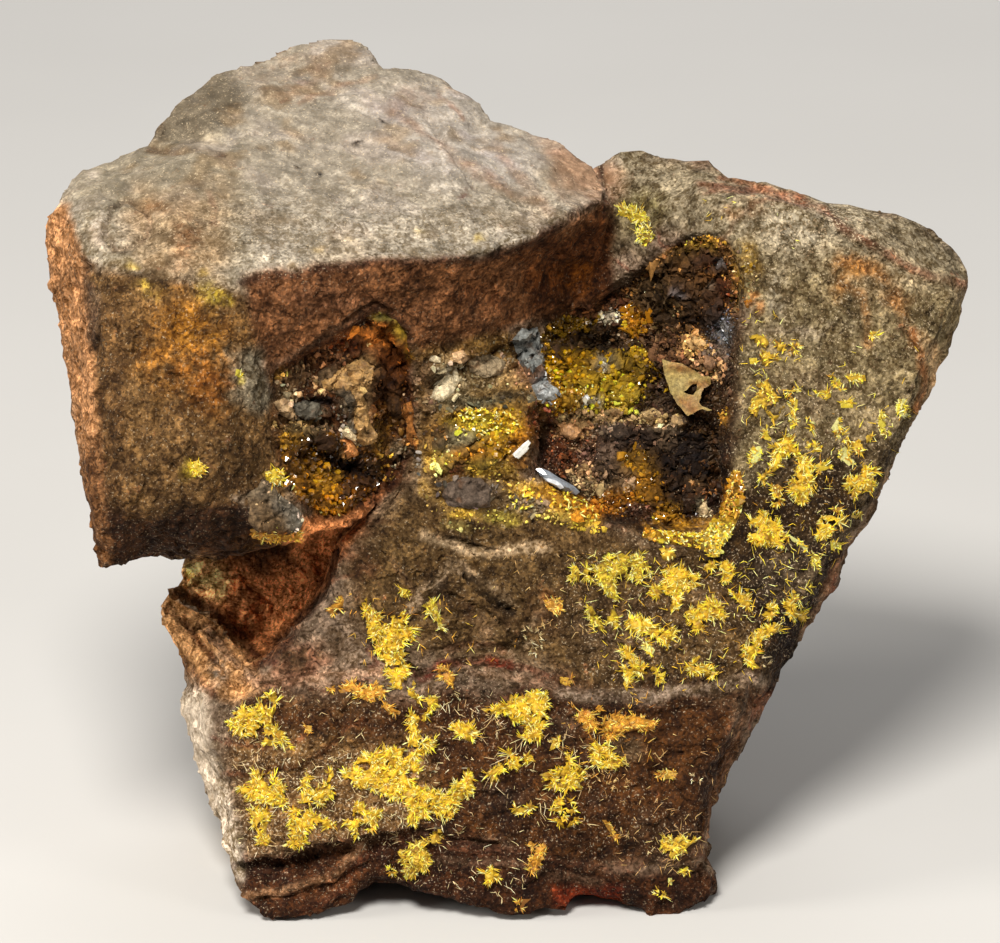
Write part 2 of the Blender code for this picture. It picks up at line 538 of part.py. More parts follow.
# linings and crusts of the cavities: outline, height, edge height, spacing, finish
LININGS = (
    ("left_vug_amber_druse", """284,428 297,422 312,427 326,424 335,432 341,444 354,453 367,452 379,462
385,473 378,485 366,496 352,508 338,515 322,512 308,505 296,495 288,484 283,470 280,452 280,438""",
     0.7, 0.3, 15, "amber"),
    ("left_vug_rust_crust", """352,338 366,323 380,314 396,320 407,335 408,360 404,382 400,400 402,418
393,422 388,408 382,396 370,406 366,422 360,437 350,436 346,424 350,411 344,398 332,393 319,386
318,372 332,364 344,354""", 0.6, 0.3, 16, "rust"),
    ("block_grey_crystals", """246,494 258,487 262,479 271,482 279,494 291,503 299,510 304,520 299,531
286,535 270,535 256,531 248,521 250,508""", 0.5, 0.25, 16, "grey"),
    ("main_vug_amber_druse", """547,352 557,345 567,347 577,341 590,347 604,343 617,352 630,351 642,354
648,364 644,376 640,389 640,401 628,408 612,403 598,410 584,405 570,412 562,404 563,390 557,377
549,366""", 0.8, 0.35, 16, "amber"),
    ("main_vug_goethite", """650,272 661,259 677,249 695,242 711,243 722,254 727,268 727,290 724,308
716,320 702,327 688,324 672,328 657,324 642,316 634,302 640,286""", 0.8, 0.35, 18, "goethite"),
    ("main_vug_dark_druse", """600,426 620,423 640,428 660,426 684,428 699,432 708,444 709,462 709,488
703,504 690,512 672,514 652,508 634,500 614,494 600,484 594,468 596,450 597,438""",
     0.7, 0.3, 18, "goethite"),
    ("vug_rim_yellow_druse", """739,244 748,249 756,261 760,276 759,291 752,302 747,311 742,305 744,292
746,278 742,264 737,254""", 0.5, 0.3, 14, "golden"),
    ("vug_rim_orange_crust", """644,527 660,532 680,535 698,537 710,530 719,519 725,506 729,490 733,470
741,472 744,492 742,510 735,526 729,539 721,547 720,557 711,557 703,550 682,546 658,543 642,537""",
     0.5, 0.3, 14, "golden"),
    ("ledge_yellow_crust", """431,432 446,421 462,415 480,413 499,412 507,420 508,432 508,446 502,459
490,469 472,472 453,472 439,475 430,466 432,450""", 0.6, 0.3, 16, "greenish"),
    ("ledge_orange_crust", """502,486 516,482 530,488 545,499 562,508 580,515 598,520 608,527 600,534
580,531 560,526 540,519 522,508 508,498""", 0.5, 0.25, 15, "golden"),
    ("ledge_grey_crystals", """521,341 529,331 538,334 541,347 541,362 547,374 540,386 530,383 524,371
520,356""", 0.7, 0.3, 15, "grey"),
)
TAN_FLAKE = """661,360 680,364 700,371 712,381 713,398 702,410 689,416 675,406 668,388"""
TAN_FLAKE_HOLE = """686,386 692,384 698,388 697,394 690,396 685,392"""
GLASSY_PLATE = """534,469 541,467 553,477 570,485 583,492 582,500 568,497 550,489 538,480"""

# sprays of needles on the rock: name, outline, finish
SPRAYS = (
    ("left_yellow_spray", """228,722 237,717 234,707 241,706 250,711 258,704 262,698 270,693 277,696
276,710 272,717 272,724 279,730 287,732 284,738 292,748 284,746 276,742 270,746 263,744 258,737
250,735 240,736 233,731""", "yellow"),
    ("left_foot_spray", """238,790 243,783 250,782 255,772 258,768 262,777 267,774 270,765 273,775
280,782 286,787 283,793 287,799 284,806 276,806 268,802 262,804 254,801 247,799 242,797""",
     "yellow"),
    ("left_foot_stem", """249,808 256,811 264,809 271,813 268,822 266,832 271,839 268,846 260,845
256,838 254,828 252,818""", "yellow"),
    ("lower_left_fork", """302,780 308,774 312,779 306,788 315,792 323,788 328,778 331,764 334,776
337,787 332,796 323,803 312,806 310,812 321,818 333,822 335,828 326,827 316,826 308,829 303,838
305,848 294,850 286,844 292,838 291,826 290,812 294,804 301,799 304,792 301,786""", "yellow"),
    ("lower_left_patch", """346,812 354,803 364,801 365,809 374,812 382,808 380,816 378,823 374,830
366,834 358,837 350,830 343,821""", "yellow"),
    ("long_central_spray", """363,592 367,597 367,608 370,612 373,607 377,611 377,618 383,620 392,616
402,613 411,613 405,618 404,625 411,628 419,625 413,634 415,641 406,642 404,648 403,657 402,663
407,668 410,676 416,684 411,688 416,694 424,699 431,697 438,697 438,704 431,711 424,722 422,732
428,739 438,739 436,746 428,752 420,757 415,758 418,765 420,774 414,778 412,783 420,787 430,791
440,793 449,795 453,788 455,779 461,768 465,772 471,771 472,780 475,789 470,797 460,800 456,803
457,811 452,818 446,820 440,814 432,811 424,816 416,823 410,825 407,817 409,808 402,803 394,799
384,797 374,793 364,789 356,786 348,784 343,778 345,772 353,768 358,757 368,754 378,752 388,747
398,749 404,748 409,740 410,728 409,717 413,711 418,706 416,700 408,695 400,690 393,686 390,680
388,675 386,668 381,664 377,655 375,648 377,640 371,636 364,632 367,626 366,618 363,610 361,600""",
     "yellow"),
    ("orange_spray_arm", """328,690 333,684 340,687 348,684 356,680 358,686 366,686 375,684 381,688
386,692 383,698 385,704 393,708 401,712 399,715 389,712 381,709 375,704 378,698 371,702 364,700
358,695 350,692 340,693""", "orange"),
    ("big_middle_spray", """481,709 490,707 500,704 509,702 510,695 518,697 526,694 532,690 540,693
549,694 548,702 546,712 548,720 545,727 541,731 543,738 536,742 532,749 530,742 522,739 517,737
527,733 526,726 522,718 515,724 510,720 510,714 500,713 490,715""", "yellow"),
    ("long_low_spray", """484,778 488,771 498,767 501,761 506,754 507,745 511,750 512,757 518,757
524,754 532,755 534,760 528,764 520,768 510,770 500,774 492,777""", "yellow"),
    ("star_spray", """539,775 550,771 560,768 564,757 568,753 573,758 571,768 580,768 588,770 580,774
584,780 578,784 582,789 572,788 566,790 558,789 550,789 543,788 550,784 541,782 546,778""",
     "yellow"),
    ("star_spray_lower", """556,800 564,797 572,799 575,805 581,807 577,812 584,816 578,820 572,826
564,829 558,824 554,816 550,810 557,806""", "yellow"),
    ("small_forked_spray", """507,808 512,804 518,804 523,808 528,805 532,797 537,795 539,801 534,808
526,814 518,814 511,812""", "yellow"),
    ("round_spray", """451,727 456,721 462,724 469,724 475,718 474,728 480,732 475,738 470,742
462,738 455,733""", "yellow"),
    ("orange_stem_spray", """530,839 535,846 540,847 545,842 547,848 542,856 539,865 534,873 528,871
531,860 533,850 528,844""", "orange"),
    ("bottom_edge_spray", """386,858 392,852 400,849 407,850 414,845 419,840 426,838 432,835 435,829
442,829 444,835 440,842 432,846 425,850 433,856 435,862 428,866 426,873 420,870 414,877 408,879
404,872 406,864 400,862 393,863""", "golden"),
    ("bottom_star", """480,870 487,872 491,865 496,872 502,876 497,880 490,885 484,880""", "yellow"),
    ("orange_needle_left", """340,591 344,600 343,606 337,611 332,616 327,610 332,605 338,601""",
     "orange"),
    ("flake_peak_spray", """431,598 437,604 438,612 441,620 443,628 437,631 431,624 429,614
425,607""", "greenish"),
    ("orange_needle_right", """437,667 446,665 450,672 455,678 458,685 453,690 448,682 443,680
438,676""", "orange"),
    ("upper_band_spray", """571,562 580,564 590,568 600,564 603,558 612,556 622,553 630,557 640,554
649,557 648,566 651,574 646,581 640,584 633,580 626,573 618,575 615,582 617,591 619,600 610,598
604,590 600,583 592,581 584,581 574,579 566,580 572,572""", "greenish"),
    ("upper_band_knot", """656,550 664,547 674,550 676,557 668,561 659,559""", "golden"),
    ("right_band_spray", """664,568 674,566 684,567 690,574 700,577 700,584 690,589 681,591 683,599
680,606 672,610 664,604 658,598 650,594 649,588 657,586 665,580 666,574""", "yellow"),
    ("curved_side_spray", """720,562 728,560 734,568 737,578 742,584 749,590 747,597 751,603 748,610
740,604 733,596 728,586 722,578 723,570""", "yellow"),
    ("right_low_spray", """686,612 693,606 700,607 706,600 716,598 720,606 723,612 730,616 723,620
714,617 707,621 703,628 697,633 691,628 685,625 688,618""", "yellow"),
    ("pale_needle_bundle", """586,606 592,606 597,616 603,626 607,632 600,631 594,623 588,614""",
     "greenish"),
    ("short_branch_spray", """607,611 614,609 618,616 617,622 622,628 614,628 607,622""",
     "greenish"),
    ("middle_band_spray", """629,618 637,615 645,618 651,622 657,628 665,630 672,627 677,630
673,638 668,646 660,643 654,637 646,632 638,634 630,630 626,624""", "yellow"),
    ("hanging_branch_spray", """621,642 628,646 632,652 634,659 641,663 650,665 659,669 650,673
641,676 634,671 630,679 628,688 634,695 627,692 623,684 626,675 621,668 623,660 621,650""",
     "yellow"),
    ("lone_star_spray", """699,655 705,664 709,669 717,673 716,680 709,679 702,675 696,677 690,673
683,668 692,664""", "yellow"),
    ("orange_star_spray", """571,701 577,709 584,711 590,702 598,705 605,697 601,708 595,716 597,726
592,732 584,729 577,721 572,712""", "orange"),
    ("orange_cross_spray", """604,716 612,712 618,715 626,718 634,716 644,718 655,722 653,729
642,729 632,731 623,733 618,738 611,742 604,737 602,726""", "orange"),
    ("edge_upper_spray", """748,513 753,519 758,518 760,511 766,513 769,518 776,520 780,525 782,531
788,535 783,540 785,548 778,547 770,545 764,544 757,547 751,543 747,537 750,532 756,531 757,526
751,524""", "yellow"),
    ("edge_corner_spray", """816,522 822,516 830,515 838,517 846,519 842,525 834,529 830,532 828,538
821,541 816,534 819,528""", "yellow"),
    ("edge_lower_spray", """793,589 798,594 797,602 794,607 799,611 805,610 806,617 802,622 795,621
790,617 785,614 781,608 784,602 790,598""", "yellow"),
    ("edge_small_star", """761,606 768,603 775,603 777,610 774,616 768,619 763,616 765,611""",
     "yellow"),
    ("edge_hook_spray", """783,626 779,632 771,635 764,638 760,644 757,651 753,657 756,664 760,668
752,669 746,662 743,654 745,646 750,640 752,634 758,630 765,627 768,624 775,622""", "yellow"),
    ("upper_right_blades", """749,336 757,334 765,337 769,342 773,345 779,342 786,345 783,351
774,351 775,356 782,358 778,362 770,359 769,367 762,365 761,356 765,350 759,344 751,342""",
     "golden"),
    ("right_blade_spray", """757,379 762,383 767,379 771,386 775,392 778,397 779,402 786,402 788,406
781,410 779,417 774,422 768,415 764,409 760,407 758,413 756,420 749,417 747,411 752,402 751,396
758,392 756,386""", "golden"),
    ("right_corner_spray", """873,433 873,440 868,446 865,453 858,454 852,449 850,443 858,440
864,434""", "golden"),
    ("right_net_spray", """769,444 777,442 784,437 791,435 793,443 799,449 797,456 788,452 785,456
784,464 779,468 774,472 767,471 766,478 760,481 758,474 763,467 770,464 774,458 772,450""",
     "yellow"),
    ("right_column_spray", """796,457 803,455 809,459 813,464 809,470 813,475 814,484 811,492
809,500 802,505 795,500 792,492 789,485 792,478 796,472 795,464""", "yellow"),
    ("right_star_spray", """864,462 868,467 873,468 882,465 877,473 872,478 873,486 869,492 862,489
857,493 855,500 847,497 849,489 841,486 848,481 852,477 857,470""", "yellow"),
    ("low_right_burst", """590,749 596,743 602,746 609,744 612,752 615,759 623,759 626,763 618,766
613,770 608,771 602,769 596,765 590,760 592,754""", "yellow"),
    ("foot_right_star", """674,828 677,835 683,837 689,833 694,839 698,841 690,845 686,849 688,854
680,851 677,857 671,859 668,853 663,854 663,847 660,842 667,839 671,836""", "golden"),
)


def build_crystals(surface):
    finishes = {
        "yellow": material("mimetite_yellow", (0.78, 0.60, 0.07), 0.4),
        "greenish": material("mimetite_greenish_yellow", (0.60, 0.55, 0.10), 0.4),
        "golden": material("mimetite_golden", (0.72, 0.46, 0.05), 0.4),
        "orange": material("mimetite_orange", (0.70, 0.33, 0.04), 0.4),
        "amber": material("amber_druse", (0.32, 0.17, 0.02), 0.2),
        "goethite": material("goethite_black_brown", (0.05, 0.028, 0.015), 0.35),
        "rust": material("rust_crust", (0.45, 0.22, 0.06), 0.8),
        "grey": material("grey_quartz", (0.42, 0.42, 0.40), 0.3),
        "tan": material("tan_calcite_flake", (0.60, 0.46, 0.24), 0.6),
        "white": material("white_prism_glassy", (0.85, 0.85, 0.82), 0.15),
    }
    for name, outline, high, edge, spacing, finish in LININGS:
        crust(name, surface, outline, high, edge, spacing, finishes[finish])
    crust("tan_flake", surface, TAN_FLAKE, 0.7, 0.5, 24, finishes["tan"], hole=TAN_FLAKE_HOLE)
    crust("glassy_plate", surface, GLASSY_PLATE, 0.45, 0.35, 40, finishes["white"])
    prism("white_prism", surface, (515, 455), (532, 435), 0.55, finishes["white"])
    for name, outline, finish in SPRAYS:
        crust(name, surface, outline, 0.8, 0.35, 17, finishes[finish])


clear()
rock = build_rock()
bpy.context.view_layer.update()
build_crystals(Surface(rock))
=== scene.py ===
"""Scene for the mimetite specimen: the broken rock at full detail, its cavity linings, and the needle sprays."""

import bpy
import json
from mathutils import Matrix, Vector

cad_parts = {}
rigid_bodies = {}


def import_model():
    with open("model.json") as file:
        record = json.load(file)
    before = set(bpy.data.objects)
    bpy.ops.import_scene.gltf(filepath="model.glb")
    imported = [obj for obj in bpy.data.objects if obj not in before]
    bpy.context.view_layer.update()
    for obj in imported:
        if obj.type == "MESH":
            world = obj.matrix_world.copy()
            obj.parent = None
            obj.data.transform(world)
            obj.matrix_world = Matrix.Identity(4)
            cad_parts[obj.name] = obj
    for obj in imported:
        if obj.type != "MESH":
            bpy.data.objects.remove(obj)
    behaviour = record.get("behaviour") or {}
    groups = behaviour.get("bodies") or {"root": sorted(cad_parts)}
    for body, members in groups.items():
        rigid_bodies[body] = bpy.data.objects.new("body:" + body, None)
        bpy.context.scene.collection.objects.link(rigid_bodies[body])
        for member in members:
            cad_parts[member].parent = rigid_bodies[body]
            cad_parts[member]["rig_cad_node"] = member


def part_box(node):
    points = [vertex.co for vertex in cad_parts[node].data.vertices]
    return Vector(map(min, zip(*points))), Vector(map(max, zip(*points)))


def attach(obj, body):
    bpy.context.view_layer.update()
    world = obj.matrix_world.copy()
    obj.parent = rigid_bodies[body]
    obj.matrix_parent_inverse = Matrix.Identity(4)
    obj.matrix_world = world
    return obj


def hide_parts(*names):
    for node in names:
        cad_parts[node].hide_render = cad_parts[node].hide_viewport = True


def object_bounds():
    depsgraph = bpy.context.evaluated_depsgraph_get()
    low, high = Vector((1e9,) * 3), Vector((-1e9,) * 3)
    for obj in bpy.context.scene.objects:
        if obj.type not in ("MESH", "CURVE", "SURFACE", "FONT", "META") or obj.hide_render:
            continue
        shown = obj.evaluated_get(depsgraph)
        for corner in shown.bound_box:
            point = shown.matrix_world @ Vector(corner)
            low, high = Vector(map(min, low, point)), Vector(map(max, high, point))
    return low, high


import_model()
cad_box = [list(c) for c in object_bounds()]

import json
import math
import time

import bmesh
import bpy
import numpy as np
from mathutils import Matrix, Vector
from mathutils.bvhtree import BVHTree
from mathutils.geometry import delaunay_2d_cdt

T0 = time.time()


def tell(words):
    print("[%5.1f s] %s" % (time.time() - T0, words))


# ---------------------------------------------------------------- the drawing frame, as in the CAD
UNIT_MM = 0.0667
VIEW_MM = 450.0
LEAN = math.radians(20)
MID_U, MID_V = 500.0, 471.5
PLANE_Z_MM = 27.45
DATUM_MM = (0.67, 7.28, 0.0)
BACK_P = -42.0
TAPER = 0.86
VOXEL_MM = 0.235
ROCK_TRIANGLES = 192000

MM = 0.001
RIGHT = np.array([1.0, 0.0, 0.0])
AHEAD = np.array([0.0, math.cos(LEAN), -math.sin(LEAN)])
UP = np.array([0.0, math.sin(LEAN), math.cos(LEAN)])
BASE = np.array([-DATUM_MM[0], -DATUM_MM[1], PLANE_Z_MM - DATUM_MM[2]])


def place(u, v, p):
    """Drawing points to metres in the part's frame; arrays or numbers."""
    u, v, p = np.broadcast_arrays(np.float64(u), np.float64(v), np.float64(p))
    k = UNIT_MM * (VIEW_MM - p) / VIEW_MM
    q = BASE + RIGHT * ((u - MID_U) * k)[..., None] + UP * ((MID_V - v) * k)[..., None] - AHEAD * p[..., None]
    return q * MM


def drawn(q):
    """Metres in the part's frame to drawing points."""
    q = np.asarray(q, np.float64) / MM - BASE
    p = -(q @ AHEAD)
    k = UNIT_MM * (VIEW_MM - p) / VIEW_MM
    return MID_U + (q @ RIGHT) / k, MID_V - (q @ UP) / k, p


EYE = place(MID_U, MID_V, VIEW_MM)


def line(text):
    return [tuple(float(x) for x in t.split(",")) for t in text.split()]


def srgb(r, g, b):
    """A colour named in 0-255 display values, as linear light."""
    c = np.array([r, g, b], np.float64) / 255
    return np.where(c <= 0.04045, c / 12.92, ((c + 0.055) / 1.055) ** 2.4)


# ---------------------------------------------------------------- small helpers
def add(name, mesh):
    o = bpy.data.objects.new(name, mesh)
    bpy.context.scene.collection.objects.link(o)
    return o


def drop(o):
    data = o.data
    bpy.data.objects.remove(o, do_unlink=True)
    if data is not None and data.users == 0:
        bpy.data.meshes.remove(data)


def inside(u, v, rim):
    hit = False
    for a, b in zip(rim, rim[1:] + rim[:1]):
        if (a[1] > v) != (b[1] > v) and u < a[0] + (v - a[1]) * (b[0] - a[0]) / (b[1] - a[1]):
            hit = not hit
    return hit


def inside_np(u, v, rim):
    hit = np.zeros(len(u), bool)
    for a, b in zip(rim, rim[1:] + rim[:1]):
        if a[1] == b[1]:
            continue
        crosses = (a[1] > v) != (b[1] > v)
        hit ^= crosses & (u < a[0] + (v - a[1]) * (b[0] - a[0]) / (b[1] - a[1]))
    return hit


def far_np(u, v, path, closed=False):
    """Distance of each point to a path of the drawing."""
    best = np.full(len(u), 1e9)
    ends = path[1:] + (path[:1] if closed else [])
    for a, b in zip(path, ends):
        dx, dy = b[0] - a[0], b[1] - a[1]
        t = np.clip(((u - a[0]) * dx + (v - a[1]) * dy) / max(dx * dx + dy * dy, 1e-9), 0, 1)
        best = np.minimum(best, (u - a[0] - t * dx) ** 2 + (v - a[1] - t * dy) ** 2)
    return np.sqrt(best)


def smooth(x, lo, hi):
    t = np.clip((x - lo) / (hi - lo), 0, 1)
    return t * t * (3 - 2 * t)


GRADS = np.random.default_rng(7).normal(size=(512, 3))
GRADS /= np.linalg.norm(GRADS, axis=1)[:, None]


def lattice(ix, iy, iz, seed):
    h = (ix * 73856093) ^ (iy * 19349663) ^ (iz * 83492791) ^ (seed * 2654435761)
    h = (h ^ (h >> 13)) * 1274126177
    return (h ^ (h >> 16)) & 0x7FFFFFFF


def noise(points_mm, size_mm, seed=0):
    """Gradient noise, about -1 to 1, with features of size_mm."""
    q = points_mm / size_mm + 100.0
    i = np.floor(q).astype(np.int64)
    f = q - i
    w = f * f * f * (f * (f * 6 - 15) + 10)
    out = np.zeros(len(q))
    for dx in (0, 1):
        wx = w[:, 0] if dx else 1 - w[:, 0]
        for dy in (0, 1):
            wy = w[:, 1] if dy else 1 - w[:, 1]
            for dz in (0, 1):
                wz = w[:, 2] if dz else 1 - w[:, 2]
                g = GRADS[lattice(i[:, 0] + dx, i[:, 1] + dy, i[:, 2] + dz, seed) % 512]
                d = (f[:, 0] - dx) * g[:, 0] + (f[:, 1] - dy) * g[:, 1] + (f[:, 2] - dz) * g[:, 2]
                out += d * wx * wy * wz
    return out * 1.5


def fractal(points_mm, size_mm, octaves, seed=0, fall=0.5):
    total, amp = 0.0, 1.0
    for k in range(octaves):
        total = total + amp * noise(points_mm, size_mm / 2 ** k, seed + 17 * k)
        amp *= fall
    return total


def chips(points_mm, size_mm, seed=0):
    """Flat facets like small conchoidal chips, about -1 to 1."""
    q = points_mm / size_mm + 50.0
    i = np.floor(q).astype(np.int64)
    best = np.full(len(q), 1e9)
    value = np.zeros(len(q))
    for dx in (-1, 0, 1):
        for dy in (-1, 0, 1):
            for dz in (-1, 0, 1):
                c = i + np.array([dx, dy, dz])
                h = lattice(c[:, 0], c[:, 1], c[:, 2], seed)
                centre = c + np.stack([(h & 1023) / 1023.0, ((h >> 10) & 1023) / 1023.0, ((h >> 20) & 1023) / 1023.0], 1)
                off = q - centre
                d = (off * off).sum(1)
                tilt = (off * GRADS[h % 512]).sum(1)
                near = d < best
                best = np.where(near, d, best)
                value = np.where(near, tilt, value)
    return np.clip(value * 1.6, -1.2, 1.2)


# ---------------------------------------------------------------- the rock's shape
def net(rim, lines, points, loops=()):
    pts, edges, index = [], [], {}

    def put(q):
        key = (round(q[0], 3), round(q[1], 3))
        if key not in index:
            index[key] = len(pts)
            pts.append(q)
        return index[key]

    ring = [put(q) for q in rim]
    edges += list(zip(ring, ring[1:] + ring[:1]))
    for loop in loops:
        ids = [put(q) for q in loop]
        edges += list(zip(ids, ids[1:] + ids[:1]))
    for part in lines:
        ids = [put(q) for q in part]
        edges += list(zip(ids, ids[1:]))
    for q in points:
        put(q)
    flat = [Vector(q[:2]) for q in pts]
    verts, _, faces, origin, _, _ = delaunay_2d_cdt(flat, edges, [], 0, 1e-4)
    depth = []
    for co, source in zip(verts, origin):
        if source:
            depth.append(pts[source[0]][2])
        else:
            near = sorted(pts, key=lambda q: (q[0] - co.x) ** 2 + (q[1] - co.y) ** 2)[:2]
            depth.append((near[0][2] + near[1][2]) / 2)
    kept = []
    for f in faces:
        cu = sum(verts[i].x for i in f) / 3
        cv = sum(verts[i].y for i in f) / 3
        if inside(cu, cv, rim):
            kept.append(f)
    return [(co.x, co.y, p) for co, p in zip(verts, depth)], kept


def rough_solid(name, drawing, triangles):
    used = sorted({i for f in triangles for i in f})
    cu = sum(drawing[i][0] for i in used) / len(used)
    cv = sum(drawing[i][1] for i in used) / len(used)
    bm = bmesh.new()
    front = {i: bm.verts.new(place(*drawing[i])) for i in used}
    back = {
        i: bm.verts.new(place(cu + (drawing[i][0] - cu) * TAPER, cv + (drawing[i][1] - cv) * TAPER, BACK_P))
        for i in used
    }
    count = {}
    for f in triangles:
        bm.faces.new([front[i] for i in f])
        bm.faces.new([back[i] for i in reversed(f)])
        for a, b in zip(f, f[1:] + f[:1]):
            count.setdefault(frozenset((a, b)), []).append((a, b))
    for pair in count.values():
        if len(pair) == 1:
            a, b = pair[0]
            bm.faces.new([front[b], front[a], back[a], back[b]])
    bmesh.ops.recalc_face_normals(bm, faces=bm.faces)
    bmesh.ops.triangulate(bm, faces=bm.faces)
    if bm.calc_volume(signed=True) < 0:
        bmesh.ops.reverse_faces(bm, faces=bm.faces)
    mesh = bpy.data.meshes.new(name)
    bm.to_mesh(mesh)
    bm.free()
    return mesh


def envelope_mesh():
    bm = bmesh.new()
    bmesh.ops.create_cube(bm, size=0.16)
    bmesh.ops.translate(bm, vec=Vector((0, -0.02, 0.03)), verts=bm.verts)
    for point, way in BACK_FACES:
        geom = bm.verts[:] + bm.edges[:] + bm.faces[:]
        bmesh.ops.bisect_plane(
            bm, geom=geom, dist=1e-7, clear_outer=True,
            plane_co=(Vector(point) - Vector(DATUM_MM)) * MM, plane_no=Vector(way).normalized(),
        )
        bmesh.ops.holes_fill(bm, edges=[e for e in bm.edges if e.is_boundary], sides=0)
    bmesh.ops.recalc_face_normals(bm, faces=bm.faces)
    mesh = bpy.data.meshes.new("back_envelope")
    bm.to_mesh(mesh)
    bm.free()
    return mesh


def clouds(name, size_mm, depth=2):
    t = bpy.data.textures.new(name, "CLOUDS")
    t.noise_scale = size_mm * MM
    t.noise_depth = depth
    t.noise_basis = "ORIGINAL_PERLIN"
    return t


def displace(o, texture, strength_mm):
    m = o.modifiers.new(texture.name, "DISPLACE")
    m.texture = texture
    m.texture_coords = "LOCAL"
    m.mid_level = 0.5
    m.strength = strength_mm * MM


def boolean(o, other, operation):
    m = o.modifiers.new(other.name, "BOOLEAN")
    m.operation = operation
    m.solver = "EXACT"
    m.object = other


def arrays(mesh):
    co = np.empty(len(mesh.vertices) * 3)
    mesh.vertices.foreach_get("co", co)
    no = np.empty(len(mesh.vertices) * 3)
    mesh.vertices.foreach_get("normal", no)
    return co.reshape(-1, 3), no.reshape(-1, 3)


def coarse_rock():
    """The same solid as the CAD's, at a finer grain, as a plain mesh."""
    rock = add("rock", rough_solid("rock", *net(SLAB_RIM, SLAB_LINES, SLAB_POINTS, (VUG_RIM, VUG_FLOOR))))
    block = add("rough_block", rough_solid("rough_block", *net(BLOCK_RIM, BLOCK_LINES, BLOCK_POINTS)))
    back = add("rough_back", envelope_mesh())
    grain = back.modifiers.new("grain", "REMESH")
    grain.mode = "VOXEL"
    grain.voxel_size = 2.4 * MM
    displace(back, clouds("back_swell", 15.0, 2), 5.0)
    boolean(rock, block, "UNION")
    boolean(rock, back, "INTERSECT")
    remesh = rock.modifiers.new("grain", "REMESH")
    remesh.mode = "VOXEL"
    remesh.voxel_size = VOXEL_MM * MM
    displace(rock, clouds("swell", 9.0, 1), 1.3)
    displace(rock, clouds("chips", 3.2, 2), 0.55)
    graph = bpy.context.evaluated_depsgraph_get()
    mesh = bpy.data.meshes.new_from_object(rock.evaluated_get(graph))
    for o in (rock, block, back):
        drop(o)
    return mesh


def relief(co, no):
    """How far each point of the rock moves along its normal, in millimetres."""
    q = co / MM
    u, v, p = drawn(co)
    front = smooth(-(no @ AHEAD), 0.05, 0.4)
    d = 0.22 * fractal(q, 2.8, 2, 3) + 0.24 * chips(q, 2.4, 5) * (0.6 + 0.5 * noise(q, 7.0, 9))
    d += 0.18 * chips(q, 1.05, 7) * (0.7 + 0.6 * noise(q, 3.0, 10))
    d += 0.12 * fractal(q, 0.95, 2, 11) + 0.06 * noise(q, 0.42, 23)
    # beds: thin ledges that run across the slab and rise to the right
    bed = v + 0.06 * (u - 450) + 9.0 * noise(q, 11.0, 31) + 4.0 * noise(q, 3.0, 33)
    on_slab = smooth(v, 520, 640) * smooth(p, -14, -9)
    step = (bed / 19.0) % 1.0
    d += on_slab * 0.15 * (smooth(step, 0.0, 0.8) - smooth(step, 0.86, 1.0) - 0.4) * np.clip(0.5 + 0.8 * noise(q, 5.0, 37), 0, 1)
    left = smooth(-u, -290, -200) * smooth(v, 575, 600) * smooth(-v, -740, -690)
    step = ((v + 0.5 * (u - 200) + 9 * noise(q, 4.0, 41) + 5 * noise(q, 1.5, 43)) / 17.0) % 1.0
    d += left * 0.30 * (smooth(step, 0.0, 0.7) - smooth(step, 0.78, 1.0) - 0.4) * np.clip(0.55 + 0.7 * noise(q, 4.0, 47), 0, 1)
    # upright fracture ribs on the block's front
    ribs = smooth(-u, -300, -240) * smooth(v, 270, 300) * smooth(-v, -575, -520)
    step = ((u + 0.08 * (v - 400) + 8 * noise(q, 5.0, 81) + 4 * noise(q, 1.4, 83)) / 16.0) % 1.0
    d += ribs * 0.26 * (smooth(step, 0.0, 0.7) - smooth(step, 0.8, 1.0) - 0.4) * np.clip(0.5 + 0.8 * noise(q, 4.0, 85), 0, 1)

    # coarse breaks inside the cavities and on the ledge
    def region(text, soft):
        rim = line(text)
        far = far_np(u, v, rim, True)
        return smooth(np.where(inside_np(u, v, rim), far, -far), -soft, soft) * front

    cavity = region(MAIN_CAVITY, 5)
    ledge = region(LEDGE_ROCK, 8)
    small = region(LEFT_CAVITY, 6)
    rough = np.clip(cavity + 0.8 * ledge + 0.9 * small, 0, 1)
    d += rough * (0.46 * chips(q, 1.5, 51) + 0.26 * chips(q, 0.8, 53) + 0.12 * noise(q, 0.5, 57))
    # the block's top is a worn, even skin with small pits
    top = smooth(no[:, 2], 0.45, 0.8) * smooth(-v, -330, -270)
    d *= 1 - 0.55 * top
    pit = noise(q, 0.8, 61)
    d -= (0.4 + 0.3 * top) * 0.34 * smooth(pit, 0.58, 0.85)
    # hollows: centre, half widths, depth
    for cu, cv, ru, rv, deep in HOLLOWS:
        far = np.hypot((u - cu) / ru + 0.25 * noise(q, 1.2, 91), (v - cv) / rv + 0.25 * noise(q, 1.2, 93))
        d -= deep * front * (1 - smooth(far, 0.35, 1.1))
    # cracks and grooves
    for path, wide, deep in CRACKS:
        near = far_np(u + 2.5 * noise(q, 1.4, 71), v + 2.5 * noise(q, 1.4, 73), line(path))
        d -= deep * front * (1 - smooth(near, 0.0, wide))
    for path, wide, high in RIDGES:
        near = far_np(u + 3 * noise(q, 1.7, 75), v + 3 * noise(q, 1.7, 77), line(path))
        d += high * front * (1 - smooth(near, wide * 0.25, wide))
    return d


